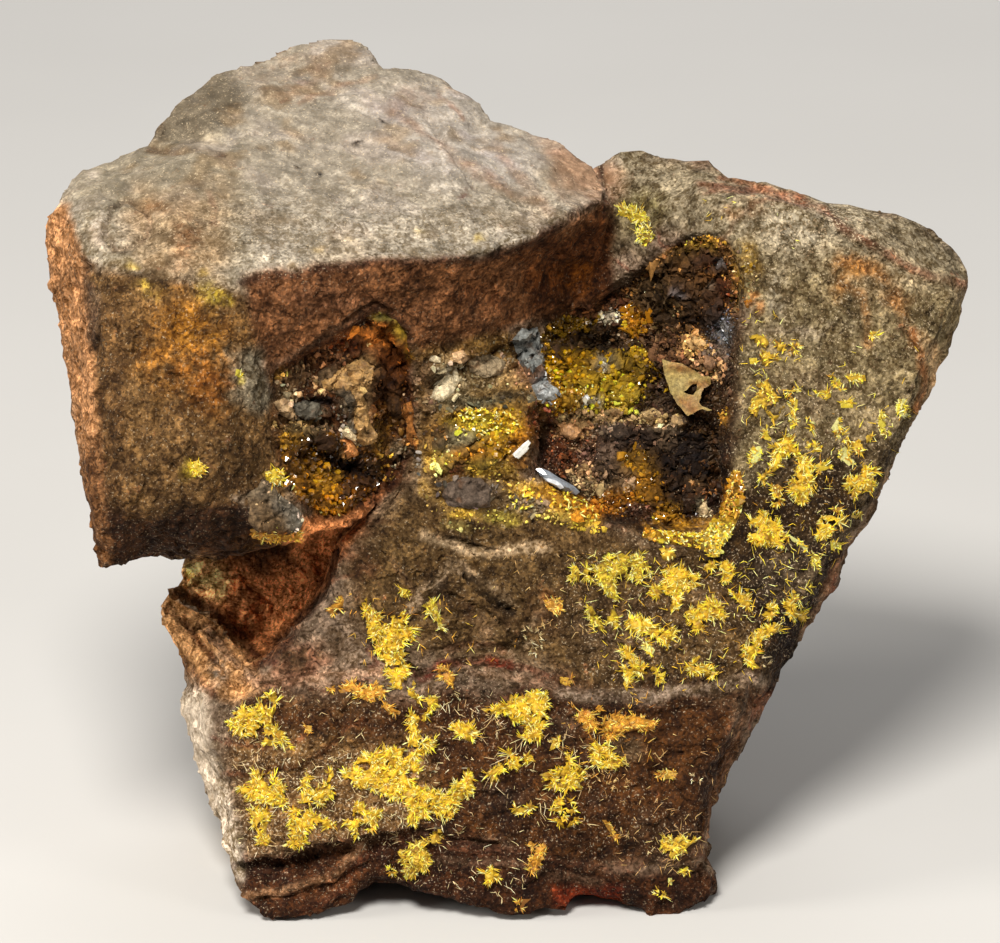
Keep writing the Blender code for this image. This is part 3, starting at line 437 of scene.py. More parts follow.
HOLLOWS = (
    (352, 466, 16, 16, 1.0), (388, 400, 14, 34, 0.9), (395, 365, 12, 22, 0.5), (322, 402, 18, 5, 0.6), (312, 512, 10, 10, 0.5),
    (372, 500, 12, 12, 0.6), (690, 450, 40, 34, 0.8), (712, 490, 12, 22, 0.8), (655, 382, 9, 22, 0.7), (600, 345, 26, 10, 0.7),
    (690, 320, 26, 8, 0.5), (565, 275, 26, 22, 0.5), (600, 404, 26, 6, 0.5), (548, 440, 8, 22, 0.5), (692, 512, 12, 8, 0.6),
    (640, 450, 16, 10, 0.4), (668, 470, 14, 10, 0.4), (590, 800, 12, 10, 0.3), (500, 790, 34, 12, 0.35),
)
MAIN_CAVITY = """607,299 628,283 641,273 654,260 670,247 689,241 705,236 721,236 731,246 736,260 739,280
739,311 736,353 731,401 723,440 721,478 723,497 721,517 708,523 689,520 660,524 630,520 599,516
580,497 561,494 542,478 535,469 544,446 548,427 540,405 556,400 548,378 536,362 530,345 545,325 575,308"""
LEFT_CAVITY = """267,381 276,369 296,361 315,349 334,340 353,330 365,320 376,308 389,312 398,324 409,333
411,353 409,378 406,404 406,430 413,449 404,470 388,490 366,506 338,520 312,516 296,500 283,475
284,452 268,426 276,413 276,397"""
LEDGE_ROCK = """415,352 440,340 470,338 500,330 522,330 545,370 560,400 545,425 540,450 520,480 480,486
440,482 420,470 412,440 410,400"""
CRACKS = (
    ("430,120 450,150 475,185 510,195 545,215 560,235", 5, 0.28),
    ("150,146 170,152 195,150 225,154", 5, 0.25),
    ("100,188 125,200 148,212 150,232 132,248 112,250 104,235 110,215 122,203", 5, 0.3),
    ("85,262 88,290 97,330 94,360", 8, 0.5),
    ("330,130 352,150 372,156", 4, 0.18),
    ("420,462 404,478 392,500 372,528", 5, 0.45),
    ("444,539 462,540 480,546 498,551", 2.6, 0.4), ("462,571 474,584 486,595 500,604 514,612", 3.4, 0.7),
    ("452,596 478,606 500,622 517,640", 4, 0.4),
    ("408,664 419,676 437,670 459,664 481,661 501,664 520,668", 5, 0.5),
    ("560,650 600,640 640,652", 4, 0.22),
    ("222,780 250,780 276,774 305,768 328,752 344,729 366,722", 5, 0.3),
    ("244,866 280,862 312,855 342,847 368,841 389,838 414,832 450,840 500,846", 6, 0.6),
    ("726,180 762,190 800,203 830,223 856,243 880,258 912,273 940,285", 5, 0.3),
    ("860,260 880,300 905,330 915,352", 5, 0.25),
    ("556,770 540,800 530,830", 4, 0.25),
    ("600,700 640,705 690,702 730,690", 5, 0.25),
    ("345,322 330,336 312,346 296,356 280,370 272,380", 4, 0.7),
    ("345,322 360,312 376,304 390,312", 4, 0.6),
    ("282,424 300,420 320,420 336,424", 3, 0.4),
    ("378,420 376,440 384,460", 4, 0.5),
    ("190,600 214,616 238,640 256,664", 5, 0.5),
    ("186,624 208,650 226,680 244,692", 5, 0.45),
)
RIDGES = (
    ("409,609 421,595 433,582 446,569 452,566 460,571", 3.8, 0.6),
    ("512,661 531,668 547,674 557,684", 5, 0.3),
    ("270,680 299,682 328,679 353,676 376,674", 7, 0.4),
    ("560,693 589,696 624,696 660,696 685,690 711,687 736,680", 6, 0.3),
    ("209,629 225,651 244,671 257,687", 6, 0.35),
    ("244,895 276,892 305,885 331,876 347,863 360,847", 5, 0.3),
)


def build_rock():
    mesh = coarse_rock()
    tell("rock %d points" % len(mesh.vertices))
    co, no = arrays(mesh)
    d = relief(co, no)
    co = co + no * (d * MM)[:, None]
    lo, hi = (np.array(c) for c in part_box("matrix"))
    co[:, 0] = np.clip(co[:, 0], lo[0], hi[0])
    co[:, 1] = np.clip(co[:, 1], lo[1], hi[1])
    co[:, 2] = np.minimum(co[:, 2], hi[2])
    mesh.vertices.foreach_set("co", co.ravel())
    mesh.update()
    bm = bmesh.new()
    bm.from_mesh(mesh)
    bmesh.ops.bisect_plane(
        bm, geom=bm.verts[:] + bm.edges[:] + bm.faces[:], dist=1e-6,
        plane_co=(0, 0, 0), plane_no=(0, 0, -1), clear_outer=True,
    )
    bmesh.ops.holes_fill(bm, edges=[e for e in bm.edges if e.is_boundary], sides=0)
    bmesh.ops.triangulate(bm, faces=bm.faces)
    bm.to_mesh(mesh)
    bm.free()
    tell("cut: %d triangles" % len(mesh.polygons))
    rock = add("matrix_rock", mesh)
    co, no = arrays(mesh)
    u, v, p = drawn(co)
    seen = smooth(-(no @ AHEAD), -0.05, 0.25) * smooth(p, -20, -14)
    up = smooth(no[:, 2], 0.3, 0.7) * 0.5
    group = rock.vertex_groups.new(name="keep")
    weight = np.clip(np.maximum(seen, up), 0, 1)
    for level in range(11):
        ids = np.nonzero(np.round(weight * 10).astype(int) == level)[0]
        if len(ids):
            group.add(ids.tolist(), level / 10, "REPLACE")
    thin = rock.modifiers.new("thin", "DECIMATE")
    thin.ratio = min(1.0, ROCK_TRIANGLES / len(mesh.polygons))
    thin.vertex_group = "keep"
    thin.invert_vertex_group = True
    thin.vertex_group_factor = 2.2
    graph = bpy.context.evaluated_depsgraph_get()
    fine = bpy.data.meshes.new_from_object(rock.evaluated_get(graph))
    old = rock.data
    rock.modifiers.clear()
    rock.vertex_groups.clear()
    rock.data = fine
    bpy.data.meshes.remove(old)
    fine.name = "matrix_rock"
    co, _ = arrays(fine)
    lo, hi = (np.array(c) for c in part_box("matrix"))
    fine.vertices.foreach_set("co", np.clip(co, lo, hi).ravel())
    fine.update()
    tell("thinned: %d triangles" % len(fine.polygons))
    return rock


# ---------------------------------------------------------------- the rock's drawing
# ---------------------------------------------------------------- the slab: the larger, rear mass
SLAB_RIM = line("""
600,163,-8.5 613,158,-9 620,152,-9 640,152,-9.5 660,158,-9 690,162,-8 705,160,-8 716,165,-7.5
726,172,-7 745,177,-6.5 765,181,-6.3 785,188,-6 805,194,-6 828,201,-6 850,206,-6 872,212,-6.2
895,220,-6.5 915,226,-6.8 932,233,-7 942,242,-7 952,250,-7 962,262,-7 973,278,-7.2 966,290,-6
962,306,-5.5 960,320,-5.5 955,332,-5.5 953,346,-5.5 945,362,-6 938,376,-6 934,390,-6 924,405,-5.5
915,424,-5 905,445,-5 893,470,-5 881,494,-4.8 870,514,-4.8 858,533,-4.6 846,552,-4.6 838,570,-4.4
834,588,-4 821,604,-4 812,620,-4 800,636,-3.8 794,647,-3.6 783,662,-3.2 779,677,-3 772,692,-2.6
764,707,-2.4 756,723,-2.2 749,737,-2.2 742,750,-2 731,764,-2 722,781,-2 714,801,-2 709,817,-2
707,832,-2 708,850,-1.5 705,864,-1 711,872,-1 717,880,-1.5 712,890,-0.5 703,897,0 690,903,0.5
680,912,0.6 672,918,0.8 662,919,0.8 652,915,0.8 640,907,0.8 622,901,0.8 600,898,0.8 580,897,0.8
574,904,1.5 567,911,1.8 556,912,1.8 545,909,1.8 530,912,2 512,913,2 490,909,2 470,903,2
455,897,1.8 440,890,1.5 425,888,1.4 412,888,1.2 400,881,0.6 385,879,0 372,881,0 362,890,0.8
350,899,1.2 335,908,1.6 318,915,2 300,919,2.2 283,921,2.4 270,918,2.2 260,912,2 252,901,1.8
241,892,1.4 233,876,1 226,858,0 220,841,-1 215,826,-2 210,810,-3 204,791,-4 198,775,-5
192,756,-6 186,736,-7 180,716,-8 181,698,-8 188,685,-6.5 184,673,-6 180,660,-6 176,645,-6.2
169,631,-6.5 163,618,-7 162,607,-7.2 167,600,-7.2 168,592,-7.5 178,588,-9 181,571,-11
186,553,-12 205,520,-12 240,480,-11 300,430,-9 360,370,-8 430,300,-8 520,230,-9
""")
SLAB_LINES = [line(t) for t in (
    # top edge of the display face, along the rust vein
    "612,203,-7 640,205,-6.2 675,203,-4.8 705,196,-3.6 740,196,-2.8 780,198,-2.6 812,207,-2.6"
    " 842,222,-2.6 868,241,-2.6 896,259,-3 921,273,-3.4 946,281,-4 962,285,-5.2",
    # right edge of the display face
    "948,302,-3.4 944,328,-3 930,352,-2.2 920,375,-1.9 914,398,-1.8 899,427,-1.6 886,452,-1.4"
    " 872,474,-1.2 851,506,-0.9 832,536,-0.7 817,566,-0.5 806,590,-0.3 792,611,-0.1 772,643,0.2"
    " 760,666,0.5",
    "742,712,1.8 722,745,2 708,770,2 697,800,2 693,830,2 694,856,1.8",
    # left edge, above the pale side
    "207,692,-1.4 209,712,-0.8 214,738,-0.2 222,764,0.4 234,790,1.4 238,820,2 239,846,2.2",
    # rim of the front plate over the recess, and its foot
    "264,678,-0.2 286,650,0.4 310,620,0.8 330,594,1 341,566,1 352,541,1.1 370,520,1.2 389,499,1.2"
    " 402,476,1.2 418,457,1 414,430,0.8 414,402,0.6 421,380,0.4 440,366,0 470,354,-0.8"
    " 497,345,-1.8 522,339,-3.2",
    "252,664,-4.2 276,642,-5.5 300,613,-6.6 320,588,-7.4 331,562,-8 342,536,-8 360,513,-7.5"
    " 378,492,-6.5 391,470,-5.5 404,450,-5 402,430,-4.8 402,402,-4.5 409,374,-4.5 432,352,-5"
    " 465,338,-5.5 497,328,-6.2 525,320,-7",
    # beds of the left ridge
    "180,593,-9 203,600,-8.4 228,612,-7.6 243,634,-6.8",
    "172,598,-7 196,606,-6 220,622,-5 238,648,-4 250,672,-2",
    "170,607,-7.6 198,618,-6.4 218,640,-5.2 236,668,-3.2",
    "170,618,-6.4 202,629,-4.4 222,654,-2.8 244,684,-0.8",
    "176,632,-6 196,656,-4.2 202,676,-2.8",
    # raised sheet with a peak, and the foot of its edge
    "392,648,1.7 402,622,2 422,600,2.2 440,574,2.4 452,568,2.4 464,579,2.3 480,600,2.1"
    " 500,615,1.8 516,636,1.5",
    "384,645,1.1 394,616,1.1 414,594,1.1 434,566,1.1 452,559,1.1 471,572,1 487,593,1"
    " 507,608,0.9 525,634,0.8",
    # ledge across the middle: set back line, then proud line
    "264,691,0.1 292,683,0.6 330,673,0.9 362,669,1 392,672,1 424,670,1 444,661,1 470,655,0.9"
    " 496,652,0.8 520,662,0.7 545,672,0.8 566,682,0.9 600,691,1 640,689,0.9 680,684,0.7"
    " 720,680,0.6 750,682,0.7",
    "258,706,1.6 292,701,2.2 330,697,2.6 362,696,2.8 392,698,3 420,694,3 450,690,3 480,688,3"
    " 510,690,2.8 545,695,2.6 580,704,2.6 620,707,2.6 660,706,2.4 700,703,2.2 735,701,1.9",
    # lower ledge, proud, then the hollow under it
    "243,856,2.4 280,853,2.8 310,846,3 342,842,3.2 366,835,3.3 386,829,3.4 412,826,3.4"
    " 440,832,3.2 468,842,3.1 500,848,3 530,848,3 560,862,2.6 600,868,2.3 650,872,1.8 688,872,1.2",
    "245,867,1.3 282,864,1.1 312,858,0.9 346,853,0.9 370,846,1.1 390,840,1.7 412,837,2.5",
    "254,892,2 290,887,2.3 318,877,2.3 342,866,2.3 360,856,2.2",
    "258,899,1.6 292,896,1.5 324,886,1.4 350,873,1.4 370,859,1.4",
    "266,908,2.2 296,908,2.4 330,897,2.2 356,882,1.9 376,866,1.7",
)]
# large cavity: its rim, and the line where its walls meet the floor
VUG_RIM = line("""
715,231,-2.2 733,243,-1.6 745,262,-1.2 750,285,-1 745,312,-0.8 740,335,-0.7 738,370,-0.6
733,405,-0.5 727,432,-0.4 724,458,-0.4 734,470,-0.3 739,495,-0.2 735,520,-0.1 722,538,0
700,550,0.1 672,546,0.2 640,535,0.3 612,525,0.4 590,515,0.5 566,503,0.6 545,490,0.7 528,474,0.8
522,452,0.8 530,430,0.7 527,412,0.4 536,402,-0.2 556,402,-0.8 560,392,-1.4 548,378,-2
536,362,-2.6 530,345,-3.4 542,328,-5 560,312,-6.5 585,300,-7.2 612,285,-6.8 636,268,-5.6
652,252,-4.6 672,242,-3.8 694,233,-3
""")
VUG_FLOOR = line("""
712,245,-4.2 726,258,-4 735,275,-3.8 736,300,-3.6 728,325,-3.6 724,350,-3.8 720,380,-4.4
717,410,-5 716,440,-5.4 714,470,-5.8 718,495,-5.8 714,516,-5 698,530,-3.6 672,530,-3
642,521,-2.8 614,512,-2.4 592,502,-2.2 570,489,-2.2 552,474,-2.4 542,456,-2.6 545,436,-3
556,420,-3.6 572,408,-4.5 575,392,-5.5 566,375,-6.4 556,355,-7.2 560,335,-8 580,322,-8.8
604,312,-9 630,298,-8.4 650,280,-7.4 668,262,-6 690,250,-4.8
""")
SLAB_POINTS = line("""
690,280,-4.5 670,310,-6.5 640,335,-8.5 600,340,-9.5 600,370,-8 620,400,-7 660,380,-7
700,360,-5 600,440,-5 650,450,-6.5 690,450,-6.5 690,490,-6.5 650,490,-5 610,480,-4
800,240,-2 760,215,-2.6 790,300,-1.3 850,280,-1.8 900,300,-2.4 780,380,-0.9 850,360,-1.5
900,370,-1.9 760,460,-0.5 820,450,-0.9 870,430,-1.2 760,540,-0.3 810,520,-0.5 700,600,0.2
640,600,0.4 580,600,0.6 540,600,0.9 700,650,0.5 640,650,0.7 590,650,0.8 560,560,0.5 500,560,0.9
470,530,1 450,500,1.1 500,500,0.8 430,540,1.2 380,560,1.2 360,600,1.2 340,640,1.1 310,665,0.6
620,180,-7.6 660,185,-6.6 620,240,-6.8 650,225,-5.4 690,215,-3.9 200,575,-10.4 240,570,-9.8
280,570,-9.2 300,545,-9 230,530,-11 270,600,-8.8 290,590,-8.6 320,540,-8.6 262,626,-7.6
195,720,-4.2 200,703,-4 210,772,-2.6 222,802,-1 228,832,0 300,740,2.4 400,740,3 500,760,3.2
600,760,3 690,740,2.2 280,800,2.6 400,790,3.4 500,800,3.4 600,820,3 670,820,2.4 470,870,3
520,885,2.6 620,885,1.8 440,430,0.9 480,400,-0.2 440,395,0.5 500,440,0.9 450,455,1.1
480,370,-1 510,400,-0.4 452,610,2.2 440,640,1.8 480,635,1.7
""")

# ---------------------------------------------------------------- the upper block, which overhangs
BLOCK_RIM = line("""
60,205,2 64,194,1 70,186,0.4 76,176,-0.4 84,169,-1 96,166,-1.4 110,161,-1.8 125,156,-2
140,150,-2.4 152,147,-2.6 155,139,-3.2 159,129,-3.8 166,121,-4.6 173,111,-5.2 182,101,-6
195,93,-6.6 206,84,-7.4 216,75,-8 229,69,-8.8 241,60,-9.6 256,55,-10.2 271,50,-10.8
285,43,-11.4 297,35,-12 311,30,-12.4 325,28,-12.8 338,25,-13 351,30,-13 365,34,-12.8
372,41,-12.4 372,53,-11 376,64,-10 382,70,-9.8 395,68,-10.2 408,69,-10.4 421,73,-10.4
436,76,-10.4 444,81,-10.2 450,89,-9.6 461,94,-9.4 471,103,-9 481,109,-8.8 492,122,-8.2
503,126,-8 516,129,-8 530,135,-7.6 546,138,-7.4 561,142,-7 571,151,-6.6 579,159,-6.2
588,166,-5.8 598,176,-5.4 605,190,-4.6 606,206,-4 606,228,-5 603,250,-6 597,270,-7.2
582,288,-6.6 562,305,-5.4 541,322,-3.8 521,335,-2.2 496,344,-0.8 471,351,0.2 446,362,1.4
426,372,2.2 417,384,1.6 413,410,0 412,438,-0.5 404,462,-0.5 392,487,0 376,503,1.4 352,520,3
330,526,4 306,532,5 286,540,5.2 256,546,5 216,554,5 186,557,5 156,557,5.6 141,560,6.2
121,565,7.2 104,569,8.4 99,560,7.6 95,541,6.8 90,520,6.2 86,500,5.6 82,480,5 79,460,4.6
76,441,4.2 72,420,3.8 71,400,3.4 69,384,3 66,365,2.6 64,345,2.2 61,325,1.8 57,306,1.4
51,286,1.2 46,266,0.8 42,246,0.6 45,226,0.8 52,212,1.2
""")
BLOCK_LINES = [line(t) for t in (
    # front left arris, between the left side and the front
    "64,210,3.6 74,236,6.4 84,258,8 92,284,9.2 97,328,10 96,365,10.2 91,400,10.2 91,440,10"
    " 90,470,9.8 92,500,9.8 97,536,9.6",
    # shoulder under the top
    "84,258,8 120,270,9.6 160,282,10.4 200,285,10.8 238,278,10.6",
    # front arris of the top
    "242,268,10.2 280,267,9.8 320,265,9.4 350,261,9 390,259,8.4 430,260,7.6 470,256,6.6"
    " 500,248,5.4 522,240,4.2 546,230,2.8 566,216,1.4 586,207,-0.4 601,203,-2",
    # upright arris between the left front and the shaded front
    "242,290,11 246,335,11 256,362,10.2 260,395,9.6 254,425,9.8 258,455,9.8",
    # turn to the underside
    "97,536,9.6 130,511,10.6 170,503,11 210,505,10.8 242,515,10 262,528,8.8",
    # rim of the small cavity, and the line where its wall meets the floor
    "305,518,7 300,497,7.6 286,475,8.2 280,450,8.4 270,425,8.6 266,398,8.8 276,372,8.4"
    " 300,351,8.2 330,339,7.8 355,325,7.4 376,309,6.8 396,316,5.8 410,334,5 414,356,3.6",
    "322,512,3 312,492,3 300,470,3.6 292,448,4.6 284,424,6 280,400,6.6 292,376,6 318,358,5.2"
    " 345,346,4.6 372,332,3.6 390,336,2.8 400,355,1.6 403,385,0.4",
    # small step on the top
    "156,151,-2.2 190,152,-0.6 225,154,0.4 262,146,-0.6",
    "162,141,-3.4 190,142,-2.6 222,142,-1.8 258,132,-2.6",
)]
BLOCK_POINTS = line("""
130,330,11.4 180,340,12 220,340,11.8 130,400,11.8 190,400,12.4 230,400,11.2 130,460,11.6
190,470,12 235,460,11 150,300,11 210,300,11.2 112,310,10.6 240,490,10.4 150,535,8.6 200,530,8.8
240,535,7.6 275,500,8.6 265,480,9 290,520,7 90,232,7.2 85,205,4.6 100,190,3 130,180,2
130,215,5.4 110,245,8.2 150,250,8.8 170,220,7.2 150,180,2.4 180,170,1.6 200,245,8.6 215,200,5
180,200,5 250,220,6.6 300,220,6 350,220,5.4 400,215,4.6 450,210,3.4 500,200,1.2 550,190,-1.8
250,180,3 300,170,1.6 350,160,0 400,160,-0.6 450,150,-2.4 500,160,-2.6 550,165,-4 300,120,-3.8
350,110,-5 400,110,-5.4 450,115,-6 250,100,-5.4 300,70,-9 340,60,-10 360,80,-8.6 420,90,-8.4
210,115,-3.6 580,185,-3.8 300,300,9.6 350,290,8.8 400,290,6.8 300,330,8.8 450,300,4.6
430,335,4 500,285,1.8 480,320,1.6 550,260,-1.6 530,300,-1.4 580,240,-3.8 570,270,-4.4
265,300,10.6 270,340,9.4 330,385,5 350,400,4.6 375,380,2.4 370,420,2.6 340,440,3.4 385,430,0.4
380,470,0 350,490,1.6 330,470,2.6
""")

# broken faces that shape the back: a point in millimetres from the middle of the drawing's foot
# (before DATUM_MM is taken off) and the outward direction
BACK_FACES = (
    ((0, 26.2, 25), (0.06, 1.0, 0.05)),
    ((-20, 18.0, 25), (-0.60, 0.80, 0.04)),
    ((31, 16.5, 30), (0.45, 0.89, 0.02)),
    ((-10, 29.5, 52.5), (-0.15, 0.66, 0.74)),
    ((4, 24.0, 9), (0.08, 0.86, -0.50)),
    ((-21, 9.0, 8), (-0.82, 0.46, -0.34)),
    ((20, 15.0, 15.4), (0.75, 0.45, -0.48)),
    ((18, 21.5, 40.0), (0.30, 0.62, 0.72)),
    ((-28, 9.0, 30), (-0.93, 0.30, -0.20)),
)


# linings and crusts of the cavities: outline, height, edge height, spacing, finish
LININGS = (
    ("left_vug_amber_druse", """284,428 297,422 312,427 326,424 335,432 341,444 354,453 367,452 379,462
385,473 378,485 366,496 352,508 338,515 322,512 308,505 296,495 288,484 283,470 280,452 280,438""",
     0.7, 0.3, 15, "amber"),
    ("left_vug_rust_crust", """352,338 366,323 380,314 396,320 407,335 408,360 404,382 400,400 402,418
393,422 388,408 382,396 370,406 366,422 360,437 350,436 346,424 350,411 344,398 332,393 319,386
318,372 332,364 344,354""", 0.6, 0.3, 16, "rust"),
    ("block_grey_crystals", """246,494 258,487 262,479 271,482 279,494 291,503 299,510 304,520 299,531
286,535 270,535 256,531 248,521 250,508""", 0.5, 0.25, 16, "grey"),
    ("main_vug_amber_druse", """547,352 557,345 567,347 577,341 590,347 604,343 617,352 630,351 642,354
648,364 644,376 640,389 640,401 628,408 612,403 598,410 584,405 570,412 562,404 563,390 557,377
549,366""", 0.8, 0.35, 16, "amber"),
    ("main_vug_goethite", """650,272 661,259 677,249 695,242 711,243 722,254 727,268 727,290 724,308
716,320 702,327 688,324 672,328 657,324 642,316 634,302 640,286""", 0.8, 0.35, 18, "goethite"),
    ("main_vug_dark_druse", """600,426 620,423 640,428 660,426 684,428 699,432 708,444 709,462 709,488
703,504 690,512 672,514 652,508 634,500 614,494 600,484 594,468 596,450 597,438""",
     0.7, 0.3, 18, "goethite"),
    ("vug_rim_yellow_druse", """739,244 748,249 756,261 760,276 759,291 752,302 747,311 742,305 744,292
746,278 742,264 737,254""", 0.5, 0.3, 14, "golden"),
    ("vug_rim_orange_crust", """644,527 660,532 680,535 698,537 710,530 719,519 725,506 729,490 733,470
741,472 744,492 742,510 735,526 729,539 721,547 720,557 711,557 703,550 682,546 658,543 642,537""",
     0.5, 0.3, 14, "golden"),
    ("ledge_yellow_crust", """431,432 446,421 462,415 480,413 499,412 507,420 508,432 508,446 502,459
490,469 472,472 453,472 439,475 430,466 432,450""", 0.6, 0.3, 16, "greenish"),
    ("ledge_orange_crust", """502,486 516,482 530,488 545,499 562,508 580,515 598,520 608,527 600,534
580,531 560,526 540,519 522,508 508,498""", 0.5, 0.25, 15, "golden"),
    ("ledge_grey_crystals", """521,341 529,331 538,334 541,347 541,362 547,374 540,386 530,383 524,371
520,356""", 0.7, 0.3, 15, "grey"),
)
TAN_FLAKE = """661,360 680,364 700,371 712,381 713,398 702,410 689,416 675,406 668,388"""
TAN_FLAKE_HOLE = """686,386 692,384 698,388 697,394 690,396 685,392"""
GLASSY_PLATE = """534,469 541,467 553,477 570,485 583,492 582,500 568,497 550,489 538,480"""

